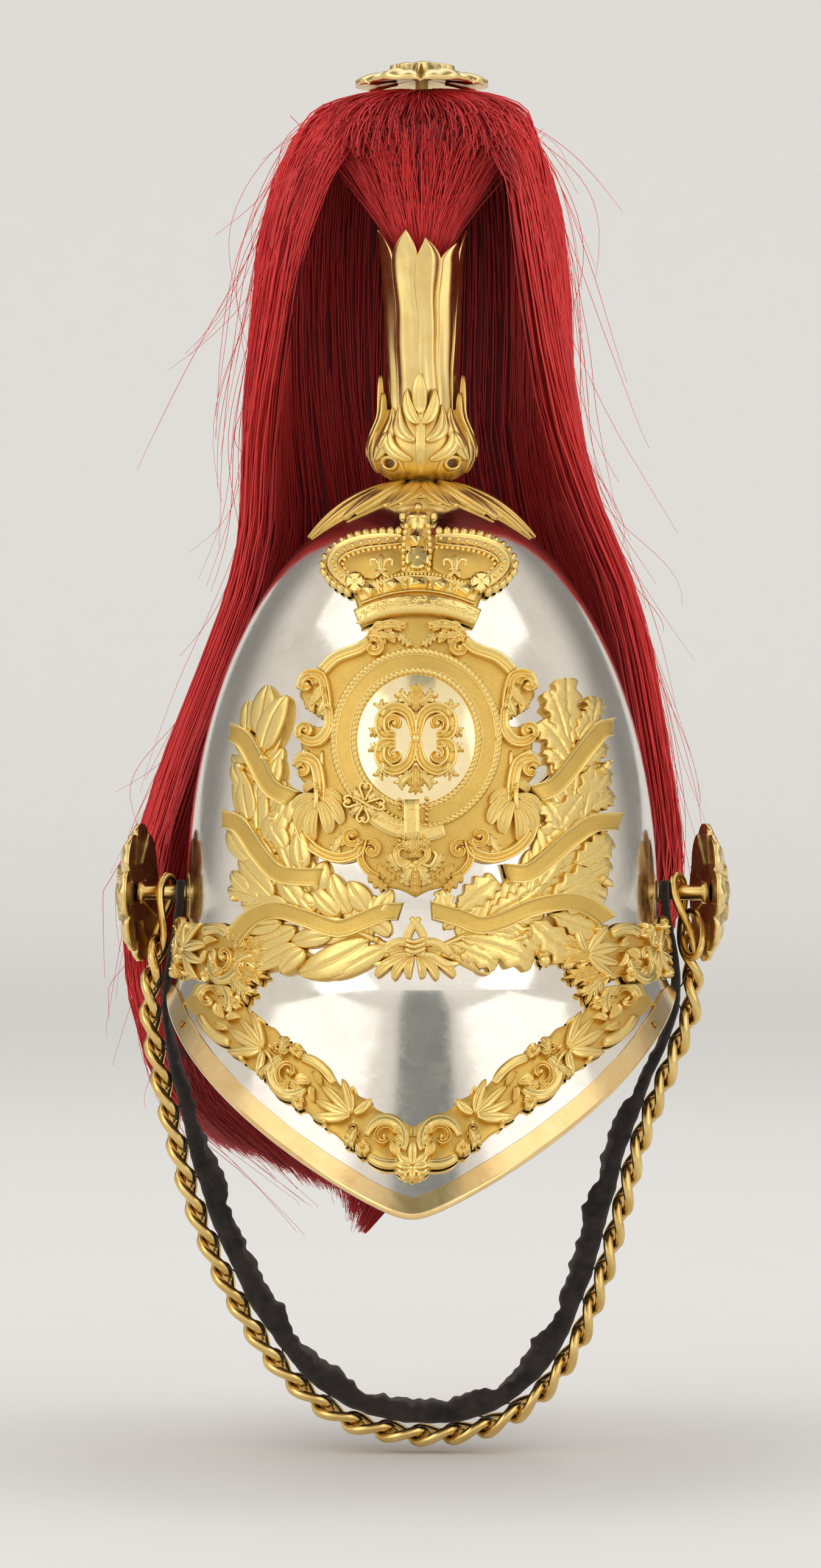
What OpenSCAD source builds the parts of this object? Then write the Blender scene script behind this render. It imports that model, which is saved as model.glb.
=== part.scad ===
// Dress helmet of a cavalry soldier: a polished metal skull with a pointed front peak, a gilt badge and
// wreath, a falling hair plume in a leaf-shaped holder, ear rosettes and a backed curb chin chain.
// The front faces -Y, +X is the viewer's right, and z = 0 is the plane of the head opening.

/* [Skull] */
// Outer width of the skull at the temples
skull_w = 183; // [172:1:195]
// Outer length of the skull, front to back
skull_l = 224; // [212:1:238]
// Height of the dome above the temple line
dome_h = 161; // [152:1:170]
// Height of the temple line above the head opening
temple_h = 30; // [27:1:33]
// How much wider each side is at the opening than at the temples
skirt_flare = 3; // [2:0.5:4]
// Thickness of the skull and peak metal
metal_t = 1.2; // [0.9:0.1:1.5]

/* [Peaks] */
// Drop of the front peak's tip below the head opening
front_drop = 78.5; // [68:0.5:86]
// Outward spread of the front peak for each millimetre of drop
front_flare = 0.616; // [0.5:0.01:0.7]
// Drop of the neck peak below the head opening
neck_drop = 58; // [46:1:62]
// Outward spread of the neck peak for each millimetre of drop
neck_flare = 0.45; // [0.35:0.01:0.55]
// Width of the gilt edging that folds over the peaks
edging_w = 7; // [5:0.5:9]
// Wall of the edging
edging_t = 0.7; // [0.5:0.1:1]
// Shank radius of the edging rivets
rivet_r = 0.9; // [0.7:0.1:1.2]

/* [Bands] */
// Height of the foliate band round the skull
band_h = 24; // [20:1:27]
// Number of scroll and leaf repeats round the band
band_repeats = 11; // [9:1:13]
// Width of the foliate band on the front peak
peak_band_w = 16; // [13:0.5:18]
// Number of repeats on each side of the peak band
peak_band_repeats = 4; // [3:1:5]
// Relief height of leaves and scrolls
relief_h = 2.2; // [1.6:0.1:2.8]

/* [Badge] */
// Height of the centre of the garter oval above the head opening
badge_z = 92; // [88:1:96]
// Half width of the garter oval
garter_rx = 30; // [28:0.5:32]
// Half height of the garter oval
garter_rz = 32.5; // [30:0.5:34]
// Width of the garter belt
garter_w = 8; // [6.5:0.5:9]
// Radius of the threaded posts behind the badge
post_r = 1.5; // [1.2:0.1:1.8]

/* [Plume holder] */
// Radius of the leaf plate on the dome, at its tips
base_plate_r = 45; // [40:1:48]
// Widest radius of the acanthus bulb
bulb_r = 20; // [18.5:0.5:22]
// Height of the acanthus bulb
bulb_h = 25; // [23:0.5:28]
// Height of the fluted holder, without its leaf tips
holder_h = 82; // [76:1:88]
// Radius of the fluted holder at its foot
holder_r0 = 11.7; // [11:0.1:12.5]
// Radius of the fluted holder at its mouth
holder_r1 = 15.5; // [14.5:0.1:16.5]
// Number of flutes and leaf tips on the holder
holder_leaves = 8; // [6:1:10]
// Outer radius of the threaded tube that clamps the holder to the skull
tube_r = 6; // [5.5:0.1:6.5]

/* [Plume] */
// Radius of the plume rod
rod_r = 2.5; // [2.2:0.1:2.8]
// Height of the underside of the top rosette above the head opening
plume_top = 346.5; // [340:0.5:352]
// Radius of the top rosette
top_rosette_r = 25.5; // [23:0.5:28]
// Depth of the hair in the falling curtain
hair_t = 14; // [11:0.5:16]

/* [Chin chain] */
// Distance of the ear studs behind the middle of the skull
ear_y = 16; // [12:1:20]
// Height of the ear studs above the head opening
ear_z = 33.5; // [33.5:0.5:36]
// Radius of the ear studs
stud_r = 2; // [1.6:0.1:2.3]
// Radius of the ear rosettes
rosette_r = 27; // [25:0.5:28]
// Backward tilt of the ear rosettes in degrees
rosette_tilt = 10; // [8:1:12]
// Radius of the chain wire
wire_r = 1.6; // [1.4:0.05:1.65]
// Half length of a chain link, to the middle of its wire
link_a = 9.6; // [9.4:0.1:9.8]
// Half width of a chain link, to the middle of its wire
link_b = 7.2; // [7:0.1:7.5]
// Twist of each half link in degrees
link_twist = 36; // [33:1:38]
// Pitch of the chain
link_pitch = 13; // [12.9:0.1:13.4]
// Width of the padded backing strap
strap_w = 15; // [13:0.5:16]
// Thickness of the backing strap at the chin
strap_t = 8.4; // [7:0.2:9]

/* [Liner] */
// Width of the leather sweatband
sweatband_h = 34; // [28:1:38]
// Thickness of the liner leather
leather_t = 1.6; // [1.2:0.1:2]
// Number of liner tongues
tongue_count = 8; // [6:1:10]

/* [Hidden] */

gilt = "goldenrod";
silver = "silver";
horsehair = "firebrick";
velvet = "#1c1715";
hide = "#8a5a33";

fine = 96;
clear = 0.3;          // air between curved pieces that lie on each other
skull_a = skull_w / 2;
skull_k = skull_l / skull_w;
rim_a = skull_a + skirt_flare;
apex_z = temple_h + dome_h;

// Half width of the helmet's outer surface at height z, on the front side
function half_w(z, flare = front_flare) =
    z > temple_h ? skull_a * sqrt(max(0.001, 1 - pow((z - temple_h) / dome_h, 2)))
    : z >= 0 ? rim_a - skirt_flare * z / temple_h
    : rim_a - z * flare;
// Half width times its rate of change with height, which sets the lean of the surface
function lean(z, flare = front_flare) =
    z > temple_h ? -pow(skull_a / dome_h, 2) * (z - temple_h)
    : z >= 0 ? -half_w(z) * skirt_flare / temple_h
    : -half_w(z, flare) * flare;
function unit(v) = v / norm(v);
function lift(p, z, h, flare) = p + h * unit([p.x, p.y / pow(skull_k, 2), -lean(z, flare)]);
// Point seen at x, z from the front, h above the surface
function on(x, z, h) =
    lift([x, -skull_k * sqrt(max(1, pow(half_w(z), 2) - x * x)), z], z, h, front_flare);
// Point at the bearing a, counted from the front towards +X, h above the surface
function around(a, z, h, flare = front_flare) =
    lift([half_w(z, flare) * sin(a), -skull_k * half_w(z, flare) * cos(a), z], z, h, flare);
// Point of the dome above x, y, h above the surface
function on_dome(x, y, h) =
    let (s = pow(x / skull_a, 2) + pow(y / (skull_a * skull_k), 2))
    let (z = temple_h + dome_h * sqrt(max(0.01, 1 - s)))
    lift([x, y, z], z, h, front_flare);

function total(v) = v * [for (i = v) 1];
function volume(p, faces) = total([for (f = faces) p[f[0]] * cross(p[f[1]], p[f[2]])]);
function side_faces(n, m, last) = [
    for (i = [0:last], j = [0:m - 1])
        let (a = i * m + j, b = i * m + (j + 1) % m)
        let (c = (i + 1) % n * m + (j + 1) % m, d = (i + 1) % n * m + j)
        each [[a, c, b], [a, d, c]]
];
function cap_faces(m, start, flip) = [
    for (j = [0:floor((m - 1) / 2) - 1])
        let (a = start + j, b = a + 1, c = start + m - 2 - j, d = c + 1)
        each concat(b == c ? [] : [flip ? [a, c, b] : [a, b, c]], [flip ? [a, d, c] : [a, c, d]])
];
// Closed solid of triangles, whichever way round they are listed
module solid(points, faces) {
    turned = volume(points, faces) < 0 ? faces : [for (f = faces) [f[0], f[2], f[1]]];
    polyhedron(points = points, faces = turned, convexity = 8);
}
// Solid through rings of equally many points, as a closed loop or with end faces
module loft(rings, closed = false) {
    n = len(rings);
    m = len(rings[0]);
    sides = side_faces(n, m, closed ? n - 1 : n - 2);
    solid([for (r = rings) each r],
        closed ? sides : concat(sides, cap_faces(m, 0, false), cap_faces(m, (n - 1) * m, true)));
}
// Low pyramid from a ring of base points to its tip
module tent(base, tip) {
    n = len(base);
    solid(concat(base, [tip]), concat([for (i = [0:n - 1]) [i, (i + 1) % n, n]], [for (i = [1:n - 2]) [0, i + 1, i]]));
}

// Curve through hand-chosen points, with n steps between neighbours
function bend(a, b, c, d, t) =
    0.5 * (2 * b + (c - a) * t + (2 * a - 5 * b + 4 * c - d) * t * t + (3 * b - a - 3 * c + d) * pow(t, 3));
function smooth(p, n) = [
    for (i = [0:len(p) - 2], j = [0:n - 1])
        bend(p[max(0, i - 1)], p[i], p[i + 1], p[min(len(p) - 1, i + 2)], j / n),
    p[len(p) - 1]
];
function spiral(x, z, r0, r1, a0, a1, n) = [
    for (i = [0:n]) let (t = i / n, a = a0 + (a1 - a0) * t, r = r0 + (r1 - r0) * t)
        [x + r * cos(a), z + r * sin(a)]
];
function mirror_x(p) = [for (q = p) [-q.x, q.y]];
function turn(v, a) = [v.x * cos(a) - v.y * sin(a), v.x * sin(a) + v.y * cos(a)];
function course(p, i) = unit(p[min(i + 1, len(p) - 1)] - p[max(i - 1, 0)]);

// Raised moulding along a flat path of x, z points, laid on the front surface
module ridge(path, w, h, ends = 0.45, foot = clear) {
    n = len(path) - 1;
    loft([for (i = [0:n])
        let (c = course(path, i), s = [-c.y, c.x] * w / 2)
        let (k = ends + (1 - ends) * sin(180 * i / n), p = path[i])
        let (l = p + s * k, r = p - s * k, lt = p + 0.55 * s * k, rt = p - 0.55 * s * k)
        [on(l.x, l.y, foot), on(lt.x, lt.y, foot + h * k), on(rt.x, rt.y, foot + h * k), on(r.x, r.y, foot)]]);
}
// Leaf with a raised midrib, from its root at x, z towards the bearing a, laid on the front surface
module leaf(x, z, a, l, w, h = relief_h) {
    steps = [[0, 0.16, 0.75], [0.4, 1, 1], [0.74, 0.7, 0.95], [1, 0.06, 0.6]];
    loft([for (s = steps)
        let (p = [x, z] + turn([l * s[0], 0], a), e = turn([0, w / 2 * s[1]], a))
        let (lo = p + e, hi = p - e)
        [on(lo.x, lo.y, clear + 0.4), on(p.x, p.y, clear + h * s[2]), on(hi.x, hi.y, clear + 0.4),
         on(p.x, p.y, clear)]]);
}
// Leaf with two rounded lobes on each side of its midrib
module lobed_leaf(x, z, a, l, w) {
    leaf(x, z, a, l, w * 0.7);
    for (s = [-1, 1], t = [0.2, 0.48])
        let (q = function (u, v, h) let (p = [x, z] + turn([u, s * v], a)) on(p.x, p.y, clear + h))
        tent([q(l * t, 0, 0.35), q(l * t + w * 0.1, w * 0.5, 0.35), q(l * t + w * 0.34, w * 0.6, 0.35),
            q(l * t + w * 0.52, w * 0.44, 0.35), q(l * t + w * 0.36, 0, 0.35)],
            q(l * t + w * 0.26, w * 0.32, relief_h * 0.85));
}
// Small boss at x, z on the front surface
module bead(x, z, r, h = relief_h) {
    tent([for (i = [0:5]) on(x + r * cos(60 * i), z + r * sin(60 * i), clear + h * 0.2)], on(x, z, clear + h));
}
// Curved plate inside an outline, drawn in rings about the centre c
module plate(outline, c, foot, h, rings = 4) {
    steps = [for (i = [0:rings - 1]) 0.04 + 0.96 * i / (rings - 1)];
    loft(concat(
        [for (s = steps) [for (p = outline) let (q = c + (p - c) * s) on(q.x, q.y, foot)]],
        [for (i = [rings - 1:-1:0]) [for (p = outline) let (q = c + (p - c) * steps[i]) on(q.x, q.y, foot + h)]]
    ));
}
function oval(c, rx, rz, n) = [for (i = [0:n - 1]) c + [rx * cos(360 * i / n), rz * sin(360 * i / n)]];

// Solid with the outer form of the skull, grown by o
module skull_form(o) {
    scale([1, skull_k, 1]) {
        translate([0, 0, temple_h]) intersection() {
            scale([1, 1, (dome_h + o) / (skull_a + o)]) sphere(r = skull_a + o, $fn = fine);
            translate([-skull_l, -skull_l, 0]) cube([2 * skull_l, 2 * skull_l, 2 * dome_h]);
        }
        cylinder(r1 = rim_a + o, r2 = skull_a + o, h = temple_h, $fn = fine);
    }
}

// The skull is held to the plume tube at its apex, to the badge posts in front and to the ear studs
post_at = [[-9, 138], [9, 138], [-30, 62], [30, 62], [0, 42], [-54, 72], [54, 72]];
ear_x = skull_a * sqrt(1 - pow(ear_y / (skull_a * skull_k), 2));
hole_clear = 0.15;
post_hole_r = post_r + hole_clear;
module post_line(i, r, y0, y1) {
    p = post_at[i];
    translate([p[0], y1, p[1]]) rotate([90, 0, 0]) cylinder(r = r, h = y1 - y0, $fn = 32);
}
module ear_line(r, x0, x1, side, sides = 32) {
    translate([side * x0, ear_y, ear_z]) rotate([0, 90 * side, 0]) cylinder(r = r, h = x1 - x0, $fn = sides);
}
module skull_shell() {
    color(silver) difference() {
        skull_form(0);
        translate([0, 0, -0.01]) skull_form(-metal_t);
        translate([0, 0, temple_h]) cylinder(r = tube_r + hole_clear, h = 2 * dome_h, $fn = 48);
        for (i = [0:len(post_at) - 1]) post_line(i, post_hole_r, -skull_l, -skull_l / 4);
        for (side = [-1, 1]) ear_line(stud_r + hole_clear, skull_a / 2, skull_a + 20, side);
    }
}

// Lower edge of the front peak at the bearing a from the front: a V with a rounded tip
tip_round = 0.05;
function front_edge(a) = -front_drop * pow(1 - (norm([sin(a), tip_round]) - tip_round), 0.9);
// Lower edge of the neck peak at the bearing a from the front
neck_side = 5;
function neck_edge(a) = -neck_side - (neck_drop - neck_side) * pow(cos(a), 2);

// Cone of sheet metal below the rim, kept to the +Y side and cut square along its edge curve
module peak_sheet(flare, drop, edge) {
    deep = drop + 2;
    reach = rim_a + deep * flare;
    intersection() {
        scale([1, skull_k, 1]) difference() {
            translate([0, 0, -deep]) cylinder(r1 = reach, r2 = rim_a, h = deep, $fn = fine);
            translate([0, 0, -deep]) cylinder(r1 = reach - metal_t, r2 = rim_a - metal_t, h = deep, $fn = fine);
        }
        loft([for (a = [-90:5:90])
            let (q = function (r, z) [r * sin(a), skull_k * r * cos(a), z], e = edge(a), w = half_w(e, flare))
            [q(w - 4, e), q(w + 4, e), q(w + 4, 1), q(rim_a * 0.8, 1)]]);
    }
}
rivet_bearing = 59;
rivet_inset = 3.2;
// Point of the sheet, u in from the peak's edge at the bearing a, and v outward of the sheet's middle
function hem(a, u, v, edge, flare) =
    let (e = around(a, edge(a), 0, flare))
    let (t = unit(around(a + 1, edge(a + 1), 0, flare) - around(a - 1, edge(a - 1), 0, flare)))
    let (n = unit(lift(e, e.z, 1, flare) - e), in = unit(cross(t, n)), p = e + in * u * (in.z > 0 ? 1 : -1))
    around(atan2(p.x, -p.y / skull_k), p.z, v - metal_t / 2, flare);
module rivet(a, side, edge, flare, r, v0, v1) {
    p = hem(side * a, rivet_inset, v0, edge, flare);
    q = hem(side * a, rivet_inset, v1, edge, flare);
    d = q - p;
    translate(p) rotate([0, acos(d.z / norm(d)), atan2(d.y, d.x)]) cylinder(r = r, h = norm(d), $fn = 24);
}
module rivet_holes(edge, flare, bearing) {
    for (side = [-1, 1]) rivet(bearing, side, edge, flare, rivet_r + 0.1, -3, 3);
}
module front_peak() {
    color(silver) difference() {
        rotate([0, 0, 180]) peak_sheet(front_flare, front_drop, function (a) front_edge(a));
        rivet_holes(function (a) front_edge(a), front_flare, rivet_bearing);
    }
}
neck_rivet_bearing = 127;
module neck_peak() {
    color(silver) difference() {
        peak_sheet(neck_flare, neck_drop, function (a) neck_edge(a));
        rivet_holes(function (a) neck_edge(a), neck_flare, neck_rivet_bearing);
    }
}

// Folded edging: a channel that closes over the edge of a peak
fold_gap = 0.3;
fold_air = 0.5;
fold_in = metal_t / 2 + fold_gap;
fold_out = fold_in + edging_t;
// The fold narrows towards the ears, where the peak is shallow, and stays this far below the rim
rim_air = 1.4;
module edging(edge, flare, a0, a1, n) {
    loft([for (i = [0:n])
        let (a = a0 + (a1 - a0) * i / n, w = min(edging_w, -edge(a) - rim_air), e = -edging_t - fold_air)
        [for (s = [[w, -fold_out], [e, -fold_out], [e, fold_out], [w, fold_out],
            [w, fold_in], [-fold_air, fold_in], [-fold_air, -fold_in], [w, -fold_in]])
            hem(a, s[0], s[1], edge, flare)]]);
}
edging_side = 86;
// Ends behind the chain's backing
neck_edging_side = 75;
module front_peak_edging() {
    color(gilt) difference() {
        edging(function (a) front_edge(a), front_flare, -edging_side, edging_side, 36);
        rivet_holes(function (a) front_edge(a), front_flare, rivet_bearing);
    }
}
module neck_peak_edging() {
    color(gilt) difference() {
        edging(function (a) neck_edge(a), neck_flare, 180 - neck_edging_side, 180 + neck_edging_side, 24);
        rivet_holes(function (a) neck_edge(a), neck_flare, neck_rivet_bearing);
    }
}
module rivet_pair(edge, flare, bearing) {
    head = rivet_r * 1.7;
    for (side = [-1, 1]) {
        rivet(bearing, side, edge, flare, rivet_r, -fold_out - 0.5, fold_out + 0.5);
        for (v = [-1, 1]) rivet(bearing, side, edge, flare, head, v * (fold_out + 0.3), v * (fold_out + 1));
    }
}
module edging_rivets() {
    color(gilt) {
        rivet_pair(function (a) front_edge(a), front_flare, rivet_bearing);
        rivet_pair(function (a) neck_edge(a), neck_flare, neck_rivet_bearing);
    }
}

// Foliate band round the foot of the skull, with scrolls and leaf sprays in relief
band_foot = 0.5;
deg = 180 / PI / rim_a;
module band_ridge(path, w, h) {
    n = len(path) - 1;
    loft([for (i = [0:n])
        let (c = course(path, i), s = [-c.y, c.x] * w / 2, k = 0.4 + 0.6 * sin(180 * i / n), p = path[i])
        let (q = function (o, h) around((p.x + s.x * o * k) * deg, p.y + s.y * o * k, h))
        [q(1, clear), q(0.5, clear + h), q(-0.5, clear + h), q(-1, clear)]]);
}
module band_leaf(x, z, a, l, w) {
    q = function (u, v, h) let (t = turn([u, v], a)) around((x + t.x) * deg, z + t.y, clear + h);
    tent([q(0, 0, 0.4), q(l / 2, w / 2, 0.4), q(l, 0, 0.4), q(l / 2, -w / 2, 0.4)], q(l / 2, 0, relief_h * 0.85));
}
module band_bead(x, z, r, h) {
    tent([for (i = [0:4]) around((x + r * cos(72 * i)) * deg, z + r * sin(72 * i), clear + h * 0.2)],
        around(x * deg, z, clear + h));
}
band_start = 47.5;
module base_band() {
    n = 44;
    sweep = 360 - 2 * band_start;
    step = sweep * PI / 180 * rim_a / band_repeats;
    mid = band_h / 2;
    color(gilt) {
        loft([for (i = [0:n]) let (a = band_start + sweep * i / n)
            [around(a, band_foot, clear), around(a, band_h - 1.5, clear),
             around(a, band_h - 1.5, clear + 0.7), around(a, band_foot, clear + 0.7)]]);
        for (i = [0:band_repeats - 1]) let (x = (i + 0.36) * step + band_start * rim_a * PI / 180) {
            s = i % 2 == 0 ? 1 : -1;
            band_ridge([for (q = spiral(0, 0, mid * 0.7, mid * 0.2, -150, 170, 6)) [x + q.x, mid + s * q.y]],
                3.2, relief_h * 0.8);
            for (t = [-1, 0, 1]) band_leaf(x + mid * 0.65, mid + s * t, 50 * t, mid * 0.85, 4.5);
            for (t = [-1, 1]) band_bead(x + mid * 1.5, mid + t * mid * 0.32, 1.6, relief_h * 0.8);
        }
    }
}

// Foliate band along the front peak's V, one side of it
palmette_w = 7;
peak_band_path = [[0, -58], [9, -54.5], [27, -43.5], [47, -28.5], [67, -14.5], [81, -4]];
function peak_band_run(side) = [for (p = smooth(peak_band_path, 3)) [side * p.x, p.y * front_drop / 78.5]];
function along(path, t) =
    let (f = t * (len(path) - 1), i = min(floor(f), len(path) - 2)) path[i] + (path[i + 1] - path[i]) * (f - i);
module peak_band(side) {
    run = peak_band_run(side);
    w = peak_band_w;
    color(gilt) difference() {
        union() {
            loft([for (i = [0:len(run) - 1])
                let (c = course(run, i), e = [-c.y, c.x] * w * 0.42, l = run[i] - e, r = run[i] + e)
                [on(l.x, l.y, clear), on(l.x, l.y, clear + 0.7), on(r.x, r.y, clear + 0.7), on(r.x, r.y, clear)]]);
            for (i = [0:peak_band_repeats - 1])
                let (t = (i + 0.62) / (peak_band_repeats + 0.35), p = along(run, t), q = along(run, t + 0.06))
                let (a = atan2(q.y - p.y, q.x - p.x), flip = i % 2 == 0 ? 1 : -1) {
                    ridge([for (v = spiral(0, 0, w * 0.36, w * 0.1, -150, 170, 6)) p + turn([v.x, flip * v.y], a)],
                        2.8, relief_h * 0.8);
                    for (k = [-1, 0, 1]) leaf(q.x, q.y, a + k * 42, w * 0.55, 4.2, relief_h * 0.8);
                    for (k = [-1, 1]) let (b = p + turn([w * 0.75, k * w * 0.3], a)) bead(b.x, b.y, 1.5);
                }
        }
        translate([-skull_l, -skull_l, -0.6]) cube([2 * skull_l, 2 * skull_l, skull_l]);
        translate([-palmette_w, -skull_l, -skull_l]) cube([2 * palmette_w, skull_l, 2 * skull_l]);
    }
}
module peak_band_left() { peak_band(-1); }
module peak_band_right() { peak_band(1); }
// Palmette where the two halves of the band meet
module peak_palmette() {
    z = peak_band_path[0][1] * front_drop / 78.5;
    w = palmette_w - 0.8;
    color(gilt) intersection() {
        union() {
            for (k = [-2:2]) leaf(0, z - 6, 90 + 34 * k, k == 0 ? 15 : 11, 4.4);
            for (k = [-1, 1]) leaf(0, z - 4, -90 + 40 * k, 7, 4);
            for (k = [0:4]) bead(0, z - 5 + 2.4 * k, 1.7, 3);
        }
        translate([-w, -skull_l, z - 30]) cube([2 * w, skull_l, 60]);
    }
}

// Crown above the badge: fur roll, jewelled band, pearled arches, orb and cross
crown_z = badge_z + 49;
module crown_badge() {
    arch = [[20, 8], [30, 12], [34, 19], [29, 27], [17, 30], [5, 26]];
    inner = [[8, 8], [12, 16], [11, 24], [4, 27]];
    z = crown_z;
    color(gilt) {
        plate([for (p = concat(arch, [[0, 25]], mirror_x([for (i = [5:-1:0]) arch[i]]), [[-10, 5], [0, 3], [10, 5]]))
            [p.x * 0.9, z + p.y]], [0, z + 14], badge_foot, 0.8, 5);
        ridge([for (i = [0:8]) let (a = -1 + i / 4) [23 * a, z - 4 + 2.2 * a * a]], 7, 3, 0.85, badge_foot);
        ridge([for (i = [0:6]) let (a = -1 + i / 3) [21.5 * a, z + 2.2 + 2 * a * a]], 7, 1.7, 0.9, badge_foot);
        for (s = [-1, 1]) {
            ridge([for (p = arch) [s * p.x, z + p.y]], 4.2, 2.4, 0.8, badge_foot);
            ridge([for (p = inner) [s * p.x, z + p.y]], 3, 2.2, 0.7);
            for (i = [0:6]) let (p = along(arch, i / 6.2)) bead(s * p.x, z + p.y, 1.7, 3.6);
            for (i = [0:2]) leaf(s * 18, z + 9, 90 + s * (i - 1) * 42, 8, 3.6, 2.4);
        }
        ridge([[0, z + 6], [0, z + 16], [0, z + 28]], 6, 3, 0.85, badge_foot);
        for (i = [-2:2]) bead(8.5 * i, z + 2.4 + 0.35 * i * i, 2, 2.9);
        bead(0, z + 30, 3.8, 4);
        ridge([[0, z + 32], [0, z + 39.5]], 2.6, 2.6, 1);
        ridge([[-3.2, z + 36.5], [3.2, z + 36.5]], 2.6, 2.6, 1);
    }
}

// Cartouche: stippled ground inside a rim of scrolls, with volutes and balls
cartouche_c = [0, badge_z - 6];
cartouche_half = [[0, 41], [8, 42], [16, 43], [25, 37], [33, 31], [38, 27], [43, 22], [41, 8], [45, -4], [42, -18],
    [36, -24], [30, -30], [25, -36], [20, -42], [9, -50]];
// Air between the skull and the plates of the badge, more than under the small pieces
badge_foot = 0.55;
cartouche_line = concat(cartouche_half, [[0, -54]],
    mirror_x([for (i = [len(cartouche_half) - 1:-1:1]) cartouche_half[i]]));
// Prism round the cartouche, grown by o, which keeps its scrolls and the wreath apart
module cartouche_zone(o) {
    translate([cartouche_c.x, 0, cartouche_c.y]) rotate([90, 0, 0]) linear_extrude(skull_l)
        offset(delta = o) polygon(cartouche_line);
}
module cartouche_scrolls() {
    c = cartouche_c;
    for (s = [-1, 1]) let (at = function (p) [for (q = p) c + [s * q.x, q.y]]) {
        ridge(at([[4, 40], [17, 42], [26, 36], [33, 30], [42, 25]]), 4, 2.4, foot = badge_foot);
        ridge(at(spiral(39, 25, 6.5, 2, 120, -200, 7)), 3, 2.8);
        ridge(at([[36, 22], [33, 14], [36, 6], [43, 4]]), 3.4, 2.4, foot = badge_foot);
        ridge(at(spiral(40, 7, 5, 1.8, 200, 480, 6)), 2.8, 2.8);
        bead(c.x + s * 44, c.y + 1, 2.8, 3.4);
        ridge(at([[44, -4], [44, -12], [41, -21], [34, -29], [26, -33]]), 4.4, 2.8);
        ridge(at(spiral(27, -28, 5.5, 1.8, -90, 180, 6)), 2.8, 2.8);
        for (i = [0:2]) let (q = c + [s * (38 - 4.5 * i), -14 - 6 * i])
            leaf(q.x, q.y, s > 0 ? 170 - 26 * i : 10 + 26 * i, 12, 5.5, 2.6);
        ridge(at(spiral(17, -39, 5.5, 1.8, 100, -190, 6)), 3, 2.8);
        ridge(at(spiral(15, 37, 5, 1.6, 200, -80, 6)), 2.8, 3);
    }
    for (i = [-1:1]) leaf(c.x, c.y - 36, -90 + i * 34, 13, 6, 2.8);
    for (i = [0:4]) bead(c.x, c.y - 37 - 3.2 * i, 1.8, 3.2);
}
cartouche_grow = 3.4;
module cartouche_plate() {
    color(gilt) {
        plate([for (p = cartouche_line) cartouche_c + p], cartouche_c, badge_foot, 0.9, 5);
        difference() {
            intersection() {
                cartouche_scrolls();
                cartouche_zone(cartouche_grow);
            }
            translate([0, 0, badge_z]) rotate([90, 0, 0]) scale([garter_rx + 1.2, garter_rz + 1.6, skull_l])
                cylinder(r = 1, h = 1, $fn = 40);
        }
    }
}

// Garter: an oval belt with corded edges on the cartouche, its buckle and hanging tail
plate_top = badge_foot + 0.9;
garter_foot = plate_top + clear;
badge_c = [0, badge_z];
module garter_strap() {
    n = 32;
    color(gilt) {
        loft([for (i = [0:n - 1])
            let (a = 360 * i / n, u = [cos(a), sin(a)])
            let (q = function (d, h) let (p = badge_c + [u.x * (garter_rx - d), u.y * (garter_rz - d)])
                on(p.x, p.y, garter_foot + h))
            [q(0, 0), q(0.6, 1.3), q(1.6, 0.7), q(garter_w - 1.6, 0.7), q(garter_w - 0.6, 1.3),
             q(garter_w, 0)]], true);
    }
}
buckle_at = [-14.5, -27.5];
module garter_buckle() {
    f = garter_foot + 1.3 + clear;
    p = badge_c + buckle_at;
    a = 28;
    frame = oval([0, 0], 5.2, 6, 10);
    color(gilt) {
        loft([for (i = [0:len(frame) - 1]) let (u = frame[i], o = p + turn(u, a), n = p + turn(u * 0.6, a))
            [on(o.x, o.y, f), on(o.x, o.y, f + 1.2), on(n.x, n.y, f + 1.2), on(n.x, n.y, f)]], true);
        ridge([for (i = [0:3]) p + turn([-3.6 + 2.4 * i, 0], a)], 1.4, 0.9, 0.9, f);
        ridge([for (q = smooth([[-7.5, -30.5], [-2, -38.5], [1.5, -34.5]], 3)) badge_c + q],
            5.2, 1, 0.9, f);
    }
}
// Burnished oval inside the garter, very slightly domed
module badge_mirror() {
    rx = garter_rx - garter_w - 0.3;
    rz = garter_rz - garter_w - 0.3;
    color("gold") plate(oval(badge_c, rx, rz, 24), badge_c, garter_foot, 0.6);
}
// Plain scrolled ornament, the same on its left and right
module badge_ornament() {
    f = garter_foot + 0.6 + clear;
    color(gilt) {
        for (s = [-1, 1]) {
            ridge([for (q = spiral(6, 6, 7, 2, -160, 130, 9)) badge_c + [s * q.x, q.y]], 3, 1.6, 0.5, f);
            ridge([for (q = spiral(5, -7, 6.4, 2, 150, -120, 9)) badge_c + [s * q.x, q.y]], 3, 1.6, 0.5, f);
        }
        ridge([for (t = [0:4]) badge_c + [0, -14 + 7 * t]], 3, 1.8, 0.4, f);
    }
}

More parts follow.
